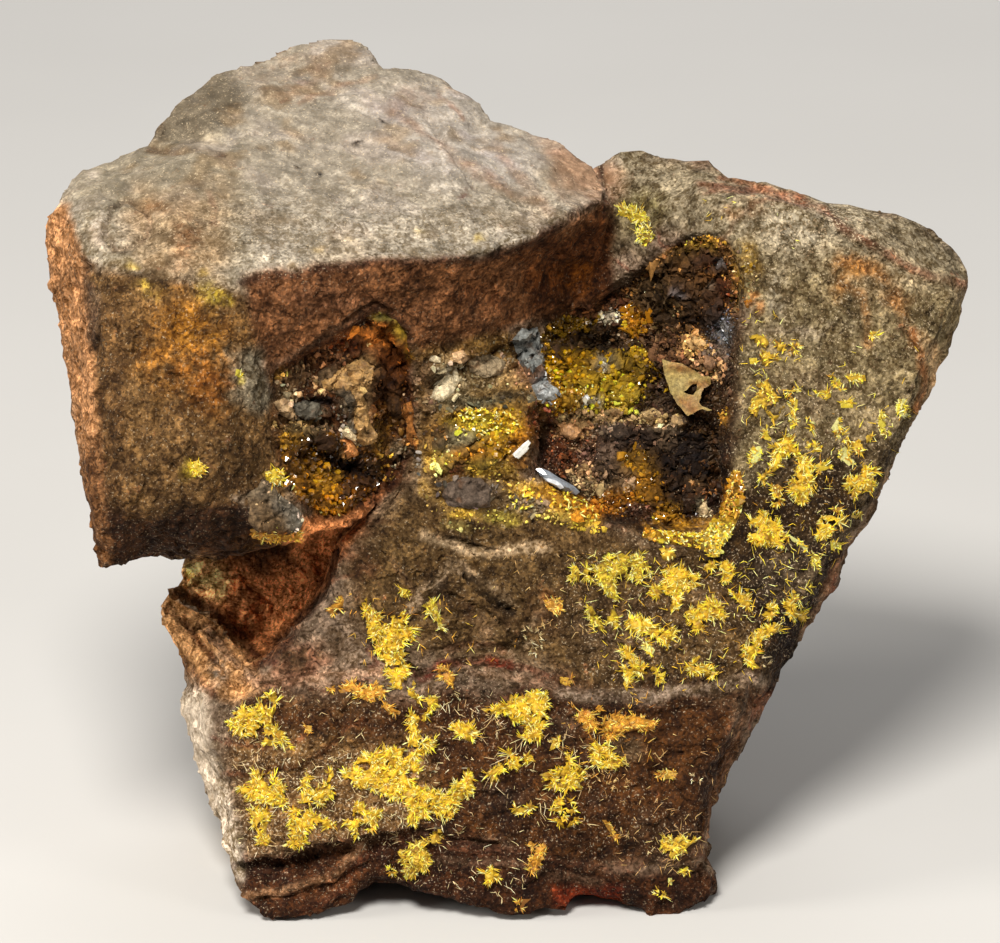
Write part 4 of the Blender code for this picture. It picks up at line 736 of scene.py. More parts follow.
# sprays of needles on the rock: name, outline, finish
SPRAYS = (
    ("left_yellow_spray", """228,722 237,717 234,707 241,706 250,711 258,704 262,698 270,693 277,696
276,710 272,717 272,724 279,730 287,732 284,738 292,748 284,746 276,742 270,746 263,744 258,737
250,735 240,736 233,731""", "yellow"),
    ("left_foot_spray", """238,790 243,783 250,782 255,772 258,768 262,777 267,774 270,765 273,775
280,782 286,787 283,793 287,799 284,806 276,806 268,802 262,804 254,801 247,799 242,797""",
     "yellow"),
    ("left_foot_stem", """249,808 256,811 264,809 271,813 268,822 266,832 271,839 268,846 260,845
256,838 254,828 252,818""", "yellow"),
    ("lower_left_fork", """302,780 308,774 312,779 306,788 315,792 323,788 328,778 331,764 334,776
337,787 332,796 323,803 312,806 310,812 321,818 333,822 335,828 326,827 316,826 308,829 303,838
305,848 294,850 286,844 292,838 291,826 290,812 294,804 301,799 304,792 301,786""", "yellow"),
    ("lower_left_patch", """346,812 354,803 364,801 365,809 374,812 382,808 380,816 378,823 374,830
366,834 358,837 350,830 343,821""", "yellow"),
    ("long_central_spray", """363,592 367,597 367,608 370,612 373,607 377,611 377,618 383,620 392,616
402,613 411,613 405,618 404,625 411,628 419,625 413,634 415,641 406,642 404,648 403,657 402,663
407,668 410,676 416,684 411,688 416,694 424,699 431,697 438,697 438,704 431,711 424,722 422,732
428,739 438,739 436,746 428,752 420,757 415,758 418,765 420,774 414,778 412,783 420,787 430,791
440,793 449,795 453,788 455,779 461,768 465,772 471,771 472,780 475,789 470,797 460,800 456,803
457,811 452,818 446,820 440,814 432,811 424,816 416,823 410,825 407,817 409,808 402,803 394,799
384,797 374,793 364,789 356,786 348,784 343,778 345,772 353,768 358,757 368,754 378,752 388,747
398,749 404,748 409,740 410,728 409,717 413,711 418,706 416,700 408,695 400,690 393,686 390,680
388,675 386,668 381,664 377,655 375,648 377,640 371,636 364,632 367,626 366,618 363,610 361,600""",
     "yellow"),
    ("orange_spray_arm", """328,690 333,684 340,687 348,684 356,680 358,686 366,686 375,684 381,688
386,692 383,698 385,704 393,708 401,712 399,715 389,712 381,709 375,704 378,698 371,702 364,700
358,695 350,692 340,693""", "orange"),
    ("big_middle_spray", """481,709 490,707 500,704 509,702 510,695 518,697 526,694 532,690 540,693
549,694 548,702 546,712 548,720 545,727 541,731 543,738 536,742 532,749 530,742 522,739 517,737
527,733 526,726 522,718 515,724 510,720 510,714 500,713 490,715""", "yellow"),
    ("long_low_spray", """484,778 488,771 498,767 501,761 506,754 507,745 511,750 512,757 518,757
524,754 532,755 534,760 528,764 520,768 510,770 500,774 492,777""", "yellow"),
    ("star_spray", """539,775 550,771 560,768 564,757 568,753 573,758 571,768 580,768 588,770 580,774
584,780 578,784 582,789 572,788 566,790 558,789 550,789 543,788 550,784 541,782 546,778""",
     "yellow"),
    ("star_spray_lower", """556,800 564,797 572,799 575,805 581,807 577,812 584,816 578,820 572,826
564,829 558,824 554,816 550,810 557,806""", "yellow"),
    ("small_forked_spray", """507,808 512,804 518,804 523,808 528,805 532,797 537,795 539,801 534,808
526,814 518,814 511,812""", "yellow"),
    ("round_spray", """451,727 456,721 462,724 469,724 475,718 474,728 480,732 475,738 470,742
462,738 455,733""", "yellow"),
    ("orange_stem_spray", """530,839 535,846 540,847 545,842 547,848 542,856 539,865 534,873 528,871
531,860 533,850 528,844""", "orange"),
    ("bottom_edge_spray", """386,858 392,852 400,849 407,850 414,845 419,840 426,838 432,835 435,829
442,829 444,835 440,842 432,846 425,850 433,856 435,862 428,866 426,873 420,870 414,877 408,879
404,872 406,864 400,862 393,863""", "golden"),
    ("bottom_star", """480,870 487,872 491,865 496,872 502,876 497,880 490,885 484,880""", "yellow"),
    ("orange_needle_left", """340,591 344,600 343,606 337,611 332,616 327,610 332,605 338,601""",
     "orange"),
    ("flake_peak_spray", """431,598 437,604 438,612 441,620 443,628 437,631 431,624 429,614
425,607""", "greenish"),
    ("orange_needle_right", """437,667 446,665 450,672 455,678 458,685 453,690 448,682 443,680
438,676""", "orange"),
    ("upper_band_spray", """571,562 580,564 590,568 600,564 603,558 612,556 622,553 630,557 640,554
649,557 648,566 651,574 646,581 640,584 633,580 626,573 618,575 615,582 617,591 619,600 610,598
604,590 600,583 592,581 584,581 574,579 566,580 572,572""", "greenish"),
    ("upper_band_knot", """656,550 664,547 674,550 676,557 668,561 659,559""", "golden"),
    ("right_band_spray", """664,568 674,566 684,567 690,574 700,577 700,584 690,589 681,591 683,599
680,606 672,610 664,604 658,598 650,594 649,588 657,586 665,580 666,574""", "yellow"),
    ("curved_side_spray", """720,562 728,560 734,568 737,578 742,584 749,590 747,597 751,603 748,610
740,604 733,596 728,586 722,578 723,570""", "yellow"),
    ("right_low_spray", """686,612 693,606 700,607 706,600 716,598 720,606 723,612 730,616 723,620
714,617 707,621 703,628 697,633 691,628 685,625 688,618""", "yellow"),
    ("pale_needle_bundle", """586,606 592,606 597,616 603,626 607,632 600,631 594,623 588,614""",
     "greenish"),
    ("short_branch_spray", """607,611 614,609 618,616 617,622 622,628 614,628 607,622""",
     "greenish"),
    ("middle_band_spray", """629,618 637,615 645,618 651,622 657,628 665,630 672,627 677,630
673,638 668,646 660,643 654,637 646,632 638,634 630,630 626,624""", "yellow"),
    ("hanging_branch_spray", """621,642 628,646 632,652 634,659 641,663 650,665 659,669 650,673
641,676 634,671 630,679 628,688 634,695 627,692 623,684 626,675 621,668 623,660 621,650""",
     "yellow"),
    ("lone_star_spray", """699,655 705,664 709,669 717,673 716,680 709,679 702,675 696,677 690,673
683,668 692,664""", "yellow"),
    ("orange_star_spray", """571,701 577,709 584,711 590,702 598,705 605,697 601,708 595,716 597,726
592,732 584,729 577,721 572,712""", "orange"),
    ("orange_cross_spray", """604,716 612,712 618,715 626,718 634,716 644,718 655,722 653,729
642,729 632,731 623,733 618,738 611,742 604,737 602,726""", "orange"),
    ("edge_upper_spray", """748,513 753,519 758,518 760,511 766,513 769,518 776,520 780,525 782,531
788,535 783,540 785,548 778,547 770,545 764,544 757,547 751,543 747,537 750,532 756,531 757,526
751,524""", "yellow"),
    ("edge_corner_spray", """816,522 822,516 830,515 838,517 846,519 842,525 834,529 830,532 828,538
821,541 816,534 819,528""", "yellow"),
    ("edge_lower_spray", """793,589 798,594 797,602 794,607 799,611 805,610 806,617 802,622 795,621
790,617 785,614 781,608 784,602 790,598""", "yellow"),
    ("edge_small_star", """761,606 768,603 775,603 777,610 774,616 768,619 763,616 765,611""",
     "yellow"),
    ("edge_hook_spray", """783,626 779,632 771,635 764,638 760,644 757,651 753,657 756,664 760,668
752,669 746,662 743,654 745,646 750,640 752,634 758,630 765,627 768,624 775,622""", "yellow"),
    ("upper_right_blades", """749,336 757,334 765,337 769,342 773,345 779,342 786,345 783,351
774,351 775,356 782,358 778,362 770,359 769,367 762,365 761,356 765,350 759,344 751,342""",
     "golden"),
    ("right_blade_spray", """757,379 762,383 767,379 771,386 775,392 778,397 779,402 786,402 788,406
781,410 779,417 774,422 768,415 764,409 760,407 758,413 756,420 749,417 747,411 752,402 751,396
758,392 756,386""", "golden"),
    ("right_corner_spray", """873,433 873,440 868,446 865,453 858,454 852,449 850,443 858,440
864,434""", "golden"),
    ("right_net_spray", """769,444 777,442 784,437 791,435 793,443 799,449 797,456 788,452 785,456
784,464 779,468 774,472 767,471 766,478 760,481 758,474 763,467 770,464 774,458 772,450""",
     "yellow"),
    ("right_column_spray", """796,457 803,455 809,459 813,464 809,470 813,475 814,484 811,492
809,500 802,505 795,500 792,492 789,485 792,478 796,472 795,464""", "yellow"),
    ("right_star_spray", """864,462 868,467 873,468 882,465 877,473 872,478 873,486 869,492 862,489
857,493 855,500 847,497 849,489 841,486 848,481 852,477 857,470""", "yellow"),
    ("low_right_burst", """590,749 596,743 602,746 609,744 612,752 615,759 623,759 626,763 618,766
613,770 608,771 602,769 596,765 590,760 592,754""", "yellow"),
    ("foot_right_star", """674,828 677,835 683,837 689,833 694,839 698,841 690,845 686,849 688,854
680,851 677,857 671,859 668,853 663,854 663,847 660,842 667,839 671,836""", "golden"),
)


# ---------------------------------------------------------------- colour of the rock, by features
# soft-edged areas of the front: outline, softness, colour, share
AREAS = (
    # slab
    ("600,140 640,140 730,165 860,200 985,262 985,300 930,300 800,300 745,320 735,300 700,235 640,225 600,230", 14,
     (144, 134, 113), 1.0),
    ("735,250 960,290 965,340 905,440 850,540 800,560 735,540 728,420 738,330", 16, (132, 119, 90), 1.0),
    ("735,480 900,440 820,600 760,700 690,640 640,560 700,550", 22, (56, 39, 15), 1.0),
    ("745,560 800,548 850,556 822,600 790,655 765,690 742,650", 10, (40, 24, 8), 1.0),
    ("405,480 560,500 700,560 760,640 740,700 600,700 470,660 360,640 340,560", 22, (99, 77, 46), 1.0),
    ("240,690 500,690 700,690 740,700 720,800 700,870 600,880 500,850 380,840 250,850 225,760", 16, (74, 44, 16), 1.0),
    ("228,745 330,735 430,745 440,800 420,830 330,850 245,860 225,800", 16, (128, 98, 60), 0.9),
    ("240,858 330,850 420,832 520,850 600,870 720,870 720,925 240,925", 8, (64, 35, 14), 1.0),
    ("296,852 350,850 355,905 300,912", 12, (95, 57, 30), 0.7),
    ("556,888 620,888 620,905 556,905", 6, (156, 58, 24), 0.65),
    ("612,738 640,738 642,760 614,762", 6, (116, 94, 68), 0.8),
    # the recess under the overhang: orange-brown rock, lightened as painted light where the block shades it
    ("205,545 300,520 398,474 338,560 322,592 258,668 236,640 190,600 180,575", 5, (250, 166, 106), 1.0),
    # a patch past white in the recess corner: painted light
    ("178,560 214,552 232,580 222,602 186,592", 8, (370, 302, 214), 0.85),
    ("160,590 200,600 245,640 262,690 235,700 205,690 170,650 160,610", 7, (232, 178, 123), 1.0),
    # pale grey left side of the slab, lightened further as painted light from the side
    ("176,690 206,692 210,740 236,820 244,880 225,870 190,760 176,720", 6, (240, 227, 211), 0.9),
    ("418,345 470,335 530,328 555,400 545,440 520,478 460,486 415,470 410,400", 10, (142, 111, 60), 1.0),
    ("545,300 607,299 640,270 700,232 738,250 744,320 736,420 728,520 640,535 560,505 535,470 552,400", 8,
     (54, 33, 14), 1.0),
    ("550,408 620,404 690,410 692,426 620,426 552,422", 6, (147, 124, 82), 0.8),
    ("600,210 650,215 650,250 600,262", 10, (123, 114, 86), 0.7),
    # block
    ("50,150 150,140 175,95 240,50 336,15 385,55 455,70 565,130 620,160 612,205 556,216 548,238 462,262 379,263 "
     "299,271 241,281 200,285 120,272 84,258 60,236", 7, (174, 167, 155), 1.0),
    ("160,60 232,52 240,110 200,150 155,150", 14, (106, 95, 76), 0.75),
    ("70,150 120,140 240,150 250,285 120,276 84,262", 18, (156, 148, 130), 0.7),
    ("135,180 225,190 230,285 150,280 125,235", 18, (163, 140, 110), 0.8),
    ("535,135 620,160 615,205 590,205 560,180", 12, (188, 146, 114), 0.75),
    ("330,95 450,85 540,140 520,190 420,170", 22, (200, 195, 192), 0.7),
    ("80,272 200,285 241,283 262,330 275,375 285,430 300,500 270,548 187,560 104,572 88,480 84,400 86,320", 9,
     (107, 81, 48), 1.0),
    ("88,300 124,300 126,560 100,572 86,480", 8, (93, 67, 38), 0.7),
    # the block's front turning under: darkened as painted shade
    ("92,508 290,505 290,560 95,572", 10, (50, 26, 11), 0.9),
    ("38,200 66,205 84,262 92,330 98,420 108,570 88,520 66,380 42,280", 6, (192, 142, 99), 1.0),
    ("78,455 98,440 112,572 90,560", 8, (108, 72, 40), 0.9),
    ("243,275 300,266 400,256 470,258 548,235 612,198 612,300 560,315 500,330 420,352 404,330 376,306 300,352 262,372",
     7, (120, 80, 50), 1.0),
    ("545,235 612,208 610,300 560,310 530,300", 12, (82, 45, 18), 0.9),
    ("262,372 300,352 376,304 412,330 414,440 400,480 340,524 300,505 280,460", 6, (84, 46, 16), 1.0),
    ("222,345 262,350 274,400 262,415 232,400", 8, (122, 123, 112), 0.6),
)
# long thin features: path, half width, colour, share
STREAKS = (
    # rust vein along the slab's upper edge, and its branches
    ("700,186 725,188 760,190 800,200 830,216 858,238 885,254 912,268 944,280 974,288", 4.5, (140, 84, 62), 0.7),
    ("722,178 745,180 770,190 800,196 826,210", 3, (186, 120, 84), 0.6),
    ("838,262 868,266 895,290 903,318 915,345", 5, (158, 108, 56), 0.6),
    ("842,284 862,296 866,322 870,345", 5, (160, 112, 62), 0.6),
    ("722,240 752,205 772,196", 3, (120, 70, 48), 0.5),
    ("920,335 930,350 936,372 934,395", 7, (226, 190, 146), 0.85),
    ("912,330 922,350 924,380 916,410", 3.5, (190, 120, 66), 0.7),
    # brow of the block
    # painted shade just under the brow's edge
    ("240,281 299,272 353,266 405,261 437,261 462,262 501,253 538,242 556,226 574,212 604,200", 4, (74, 48, 34), 0.85),
    # painted shadow in the gap between the block and the slab
    ("600,165 604,190 606,215", 4, (50, 30, 20), 0.9),
    ("85,275 92,310 94,352", 5, (76, 56, 42), 0.8),
    ("393,114 420,130 452,154 486,176 512,192 551,209", 5, (150, 108, 76), 0.55),
    ("494,145 508,162 524,182 545,202", 5, (150, 110, 78), 0.5),
    ("298,101 325,92 350,84 374,76", 3, (150, 112, 84), 0.6),
    ("208,190 214,206 212,226", 3, (120, 70, 48), 0.6), ("440,96 452,106 462,118", 2.5, (168, 120, 92), 0.5),
    ("148,150 172,153 196,151 226,156", 3, (96, 72, 54), 0.6),
    ("112,208 128,200 146,212 150,230 134,248 114,250 106,236 112,208", 3, (98, 76, 58), 0.6),
    # recess and left ridge
    ("180,594 203,603 225,623 244,635 257,655 273,664", 5, (92, 44, 28), 0.8),
    ("183,661 199,677 212,693", 4, (98, 50, 32), 0.7),
    ("170,612 196,636 214,660", 3, (118, 58, 40), 0.7),
    # pale rock along the ridge crest, lightened as a painted highlight
    ("209,629 225,651 244,671 257,687", 5, (182, 150, 126), 0.8),
    ("241,680 262,686", 5, (170, 132, 104), 0.5),
    ("348,560 356,537 376,517 396,498 408,478", 3.5, (120, 92, 68), 0.5),
    # ledge: pale rims, partly painted highlight along their crests; under the light rim a dark red band, red stain with
    # painted shade
    ("270,680 299,682 328,679 353,676 376,674 392,672", 5, (196, 160, 134), 0.8),
    ("408,668 419,678 437,671 459,664 481,661 501,664 520,667 548,676", 3.5, (104, 54, 38), 0.8),
    ("448,650 470,645 490,646 512,654", 3.5, (200, 156, 128), 0.6),
    ("470,672 500,674 530,682 556,690", 4, (176, 142, 118), 0.55),
    ("560,693 589,696 624,696 660,696 685,690 711,687 736,680 762,679", 6, (176, 158, 142), 0.7),
    ("222,776 244,775 276,770 305,764 328,748 344,725 366,719", 3, (120, 72, 46), 0.6),
    ("228,742 262,746 296,742 322,722", 3, (140, 84, 58), 0.5),
    # lower step and foot
    # painted shade in the hollow under the lower ledge
    ("228,869 257,860 286,857 315,847 344,842 366,837 389,833 414,829 450,838 480,846", 4, (66, 36, 24), 0.75),
    # pale rock on the lower ridge's crest, with a painted highlight
    ("244,895 276,892 305,885 331,876 347,863 360,847", 4, (196, 150, 112), 0.7),
    ("302,914 328,901 347,882 360,860 376,847 405,836", 4, (100, 56, 36), 0.6),
    ("440,848 480,852 520,850 560,862 610,868", 3, (110, 70, 50), 0.5),
    ("436,862 500,862 560,876 600,884", 4, (150, 118, 96), 0.45),
    # the raised sheet's peak: painted shade beside its crest on the lower left side
    ("416,616 428,602 440,589 449,579 455,579 464,588", 4.5, (44, 30, 20), 0.6),
    # dark crack below the peak, deepened to near black as painted shade
    ("461,570 474,583 486,594 500,603 512,612", 4.0, (26, 17, 11), 0.85),
    # pale crest line of the peak as a painted highlight
    ("409,609 421,595 433,582 446,569 452,566 460,571", 4.2, (232, 206, 176), 0.95),
    # a pale line above the crack as a painted highlight; the near-black line at 446,538 is painted shade in a crack
    ("462,563 474,573 486,584 500,594 512,602", 3.4, (170, 148, 122), 0.6), ("446,538 462,538 478,543 494,548", 3.0, (30, 20, 14), 0.8), ("426,672 440,665 456,663", 4.0, (120, 42, 24), 0.75),
    ("490,662 506,664", 5.0, (176, 62, 34), 0.85), ("500,660 516,652 528,642", 2.4, (160, 140, 116), 0.7),
    ("424,536 440,540 456,547 476,551 500,552 524,548 548,549", 5, (206, 182, 150), 0.85),
    ("392,560 410,585 420,600", 3, (110, 84, 64), 0.5),
    ("640,575 690,590 740,610", 4, (120, 98, 80), 0.4),
    ("700,870 712,884 690,905 665,918", 5, (110, 72, 48), 0.5),
    ("752,700 742,730 728,765 712,805 708,860", 4, (150, 106, 74), 0.45),
    ("950,335 935,375 915,425 880,495 845,552 800,640", 3.5, (168, 132, 100), 0.35),
    # painted shadow under the left cavity's upper rim
    ("345,330 376,307 396,312 410,334 412,352", 3.5, (70, 40, 22), 0.7),
    # painted shade in a crevice of the left cavity
    ("302,397 322,402 340,410", 3, (44, 28, 18), 0.8),
    # painted shadow along the main cavity's right wall
    ("718,420 722,470 720,515", 3, (24, 16, 12), 0.9),
    ("735,300 738,340 732,400 726,440", 4, (90, 66, 40), 0.6),
    # painted shadow along the recess's right edge, where the slab meets the shaded recess
    ("392,484 370,507 350,530 338,552 328,580 306,614 280,646 262,664", 6, (70, 34, 14), 0.85),
)
# stains and spots: centre, half widths, colour, share
SPOTS = (
    (190, 350, 50, 66, (176, 118, 38), 0.62), (196, 330, 30, 30, (190, 134, 40), 0.4), (215, 292, 16, 14, (182, 168, 70), 0.5),
    (150, 292, 24, 10, (170, 146, 64), 0.4), (206, 380, 26, 30, (156, 92, 34), 0.45), (118, 268, 20, 8, (176, 140, 72), 0.35),
    (195, 466, 12, 9, (206, 184, 60), 0.5), (240, 374, 6, 6, (196, 182, 84), 0.5), (275, 474, 10, 6, (206, 176, 60), 0.6),
    # the pale spot at 100,235 is a painted highlight on a bulge of the block's shoulder
    (210, 140, 14, 9, (226, 214, 190), 0.75), (100, 235, 9, 16, (216, 206, 196), 0.6), (90, 178, 12, 10, (224, 214, 204), 0.5),
    (482, 122, 12, 10, (232, 222, 206), 0.45), (374, 121, 5, 4, (52, 42, 34), 1.0), (346, 149, 5, 4, (52, 42, 34), 1.0), (316, 183, 5, 4, (60, 48, 38), 1.0), (296, 178, 4, 3, (66, 54, 44), 0.9), (134, 266, 9, 6, (216, 190, 96), 0.6), (146, 291, 7, 6, (214, 184, 80), 0.7), (210, 272, 7, 5, (212, 180, 96), 0.6), (225, 291, 8, 9, (216, 188, 60), 0.75), (286, 258, 8, 4, (226, 190, 140), 0.7), (316, 240, 8, 5, (224, 206, 160), 0.6), (350, 236, 7, 4, (220, 200, 150), 0.5), (415, 232, 8, 4, (214, 196, 140), 0.5), (488, 240, 6, 5, (220, 196, 110), 0.6), (318, 238, 4, 3, (226, 206, 170), 0.8),
    (215, 62, 3, 3, (80, 66, 56), 0.7), (462, 190, 3, 5, (120, 60, 50), 0.6), (400, 100, 40, 16, (156, 128, 112), 0.4),
    (290, 80, 50, 20, (172, 140, 118), 0.35), (185, 240, 14, 30, (150, 98, 56), 0.5), (160, 205, 16, 12, (156, 112, 70), 0.45),
    (575, 275, 22, 26, (150, 88, 24), 0.8), (540, 270, 20, 16, (128, 72, 26), 0.6), (480, 300, 30, 14, (112, 64, 34), 0.4),
    
    
    
    
    (275, 425, 12, 20, (138, 110, 74), 0.5), (276, 515, 26, 16, (150, 136, 122), 0.7),
    (288, 490, 8, 16, (216, 200, 180), 0.5), (270, 536, 26, 8, (132, 88, 26), 0.7), (250, 500, 12, 12, (160, 150, 140), 0.5),
    
    
    (742, 275, 12, 30, (190, 152, 52), 0.7), (745, 307, 8, 8, (206, 120, 30), 0.8), 
    
    (724, 500, 10, 26, (196, 130, 24), 0.85), (690, 530, 40, 10, (206, 152, 40), 0.8), (602, 522, 10, 8, (210, 140, 40), 0.7),
    
    (505, 508, 50, 12, (118, 92, 46), 0.5), 
    
    (710, 548, 12, 8, (226, 208, 160), 0.8), (545, 620, 20, 26, (140, 106, 78), 0.5), (556, 602, 10, 8, (206, 142, 84), 0.6),
    (590, 765, 18, 10, (66, 46, 34), 0.6), (500, 800, 50, 22, (58, 42, 32), 0.7), (570, 730, 26, 16, (96, 78, 62), 0.4),
    # the spot past white at 185,620 is painted light on the left ridge
    (620, 630, 60, 40, (112, 92, 74), 0.4), (185, 620, 18, 22, (270, 214, 152), 0.7), (220, 672, 16, 18, (146, 128, 112), 0.9), (300, 660, 40, 24, (88, 66, 44), 0.8), (270, 681, 18, 12, (124, 84, 58), 0.7), (462, 516, 46, 15, (88, 66, 36), 0.7), (340, 704, 50, 16, (118, 86, 50), 0.6), (330, 298, 50, 16, (146, 102, 74), 0.6), (285, 704, 20, 12, (112, 80, 48), 0.5), (790, 570, 44, 30, (128, 112, 90), 0.5), (670, 845, 40, 30, (112, 90, 68), 0.4),
    (640, 215, 24, 26, (156, 146, 84), 0.4), (860, 425, 60, 50, (134, 118, 92), 0.35), (800, 222, 62, 24, (186, 178, 160), 0.85),
    (880, 280, 50, 30, (170, 150, 118), 0.7), (862, 272, 26, 12, (182, 130, 66), 0.75), (845, 290, 12, 18, (176, 128, 70), 0.7), (900, 296, 18, 12, (166, 116, 66), 0.6), (805, 395, 30, 20, (150, 130, 104), 0.5), (772, 292, 24, 30, (168, 160, 144), 0.6), (820, 330, 40, 10, (170, 160, 142), 0.5), (735, 205, 24, 14, (150, 104, 60), 0.5), (790, 330, 50, 6, (150, 136, 122), 0.4),
    (435, 700, 8, 5, (190, 160, 140), 0.4), (590, 800, 10, 12, (60, 42, 32), 0.5), (490, 622, 26, 20, (140, 112, 86), 0.65), (440, 590, 16, 18, (62, 42, 28), 0.6), (465, 605, 14, 10, (70, 44, 30), 0.6), (535, 630, 14, 10, (120, 104, 84), 0.6), (366, 570, 18, 16, (96, 56, 38), 0.5),
)
BACK_TONE = (132, 114, 98)
TONE_GAIN = np.array([0.56, 0.52, 0.46])


def zone_colour(zone, u, v):
    """The mixed colour of a palette at each point, and how strongly it holds there."""
    total, weight = np.zeros((len(u), 3)), np.zeros(len(u))
    for cu, cv, ru, rv, colour, *_ in zone:
        far = ((u - cu) / ru) ** 2 + ((v - cv) / rv) ** 2
        w = np.exp(-1.4 * far)
        total += srgb(*colour) * w[:, None]
        weight += w
    return total / np.maximum(weight, 1e-9)[:, None], weight


# what lines the cavities: centre, half widths, colour, kind of growth, size of its bits in millimetres
PALETTE_MAIN = (
    (575, 368, 26, 16, (212, 156, 24), "clear", 0.34), (605, 385, 34, 18, (242, 194, 44), "clear", 0.34),
    (562, 398, 14, 12, (206, 150, 34), "clear", 0.34), (637, 370, 18, 16, (184, 140, 34), "clear", 0.32),
    (618, 397, 22, 10, (246, 206, 66), "clear", 0.32), (634, 353, 9, 9, (214, 168, 40), "clear", 0.34),
    (637, 324, 10, 13, (196, 132, 28), "clear", 0.36), (560, 328, 24, 13, (130, 96, 22), "clear", 0.4),
    (590, 340, 30, 12, (58, 40, 20), "matte", 0.38), (608, 316, 8, 6, (196, 180, 150), "matte", 0.4),
    (620, 345, 20, 10, (50, 36, 22), "gloss", 0.4), (575, 300, 30, 14, (92, 56, 30), "matte", 0.5),
    (690, 285, 40, 34, (128, 86, 42), "gloss", 0.34), (660, 290, 20, 20, (104, 80, 48), "gloss", 0.32), (668, 298, 5, 4, (186, 152, 98), "matte", 0.3), (675, 310, 6, 5, (190, 156, 100), "matte", 0.3), (668, 304, 8, 3, (150, 120, 76), "matte", 0.28),
    (722, 286, 9, 12, (104, 48, 22), "gloss", 0.3), (711, 274, 11, 4, (196, 124, 54), "matte", 0.3), (705, 262, 20, 6, (72, 34, 16), "gloss", 0.34), (704, 244, 16, 6, (190, 144, 50), "matte", 0.32), (684, 254, 14, 7, (150, 112, 44), "matte", 0.32),
    (660, 260, 18, 7, (140, 102, 58), "matte", 0.35), (682, 258, 20, 8, (116, 80, 38), "gloss", 0.32),
    (726, 256, 8, 16, (126, 88, 46), "matte", 0.3), (690, 302, 30, 10, (88, 64, 40), "gloss", 0.32), (694, 318, 20, 8, (50, 32, 18), "gloss", 0.32), (662, 322, 16, 10, (92, 66, 38), "gloss", 0.3),
    # the grey and near-white spots at 680,291, 719,263, 722,330 and 720,325 are painted glints, painted reflections on
    # the goethite's lustre
    (716, 302, 14, 10, (92, 52, 26), "gloss", 0.3), (680, 291, 6, 5, (196, 196, 204), "gloss", 0.22), (719, 263, 5, 4, (190, 190, 190), "gloss", 0.22), (712, 288, 5, 5, (214, 190, 160), "gloss", 0.2),
    (722, 330, 12, 18, (116, 118, 124), "gloss", 0.24), (720, 325, 4, 6, (226, 228, 234), "gloss", 0.22), (718, 350, 10, 10, (96, 78, 62), "gloss", 0.3),
    (695, 343, 12, 7, (204, 156, 92), "matte", 0.45), (712, 364, 9, 8, (180, 136, 92), "matte", 0.4),
    # the near-black spot at 650,385 is painted shade in a hollow
    (650, 385, 12, 20, (48, 32, 20), "gloss", 0.4), (664, 350, 14, 14, (92, 62, 38), "matte", 0.4),
    (655, 335, 14, 10, (74, 52, 34), "gloss", 0.35), (660, 408, 14, 10, (70, 52, 36), "matte", 0.4),
    (600, 417, 44, 5, (150, 122, 82), "matte", 0.35), (660, 419, 20, 5, (190, 158, 104), "matte", 0.35),
    (572, 430, 16, 8, (150, 110, 70), "matte", 0.4), (610, 432, 14, 10, (104, 84, 66), "gloss", 0.35),
    (600, 444, 12, 9, (96, 66, 44), "gloss", 0.26), (560, 452, 18, 12, (92, 50, 26), "gloss", 0.3), (604, 452, 7, 6, (196, 160, 130), "gloss", 0.22), (574, 448, 6, 4, (186, 146, 110), "gloss", 0.22), (664, 426, 12, 4, (190, 160, 120), "matte", 0.28), (585, 470, 10, 7, (170, 134, 92), "matte", 0.3),
    (584, 456, 12, 8, (88, 62, 50), "gloss", 0.26), (640, 438, 20, 10, (76, 54, 38), "gloss", 0.35),
    # the near-black spots at 692,440 and 700,470 are painted shade in the deep hollow of the floor
    (665, 438, 10, 10, (166, 132, 96), "matte", 0.35), (692, 440, 30, 26, (50, 32, 16), "gloss", 0.36),
    (700, 470, 26, 24, (48, 30, 14), "gloss", 0.36), (696, 484, 12, 6, (132, 100, 58), "matte", 0.28), (660, 462, 16, 10, (58, 36, 18), "gloss", 0.3),
    (640, 466, 14, 12, (186, 132, 34), "clear", 0.32), (604, 470, 12, 10, (112, 86, 62), "matte", 0.35),
    (626, 482, 10, 10, (160, 128, 94), "matte", 0.35), (590, 486, 16, 10, (150, 124, 86), "matte", 0.35),
    (644, 488, 20, 14, (196, 134, 32), "clear", 0.32), (668, 486, 16, 12, (60, 38, 22), "gloss", 0.35),
    (700, 488, 18, 10, (104, 66, 34), "matte", 0.4), (612, 502, 18, 10, (176, 112, 34), "clear", 0.3),
    (640, 510, 16, 7, (70, 44, 30), "gloss", 0.3), (668, 514, 12, 7, (196, 140, 40), "clear", 0.3),
    (694, 512, 12, 7, (44, 32, 26), "gloss", 0.3), (705, 508, 7, 9, (226, 206, 160), "matte", 0.28),
    # the near-black strip at 713,500 is painted shadow along the cavity's right wall
    (713, 500, 10, 16, (34, 20, 14), "gloss", 0.35), (540, 425, 14, 18, (96, 52, 26), "gloss", 0.32),
    (545, 455, 10, 12, (66, 38, 24), "gloss", 0.32), (735, 360, 5, 50, (70, 50, 32), "matte", 0.3),
    (590, 400, 12, 5, (232, 220, 190), "clear", 0.3), (602, 366, 10, 6, (200, 196, 180), "clear", 0.3),
    (730, 420, 8, 8, (196, 140, 50), "matte", 0.3),
)
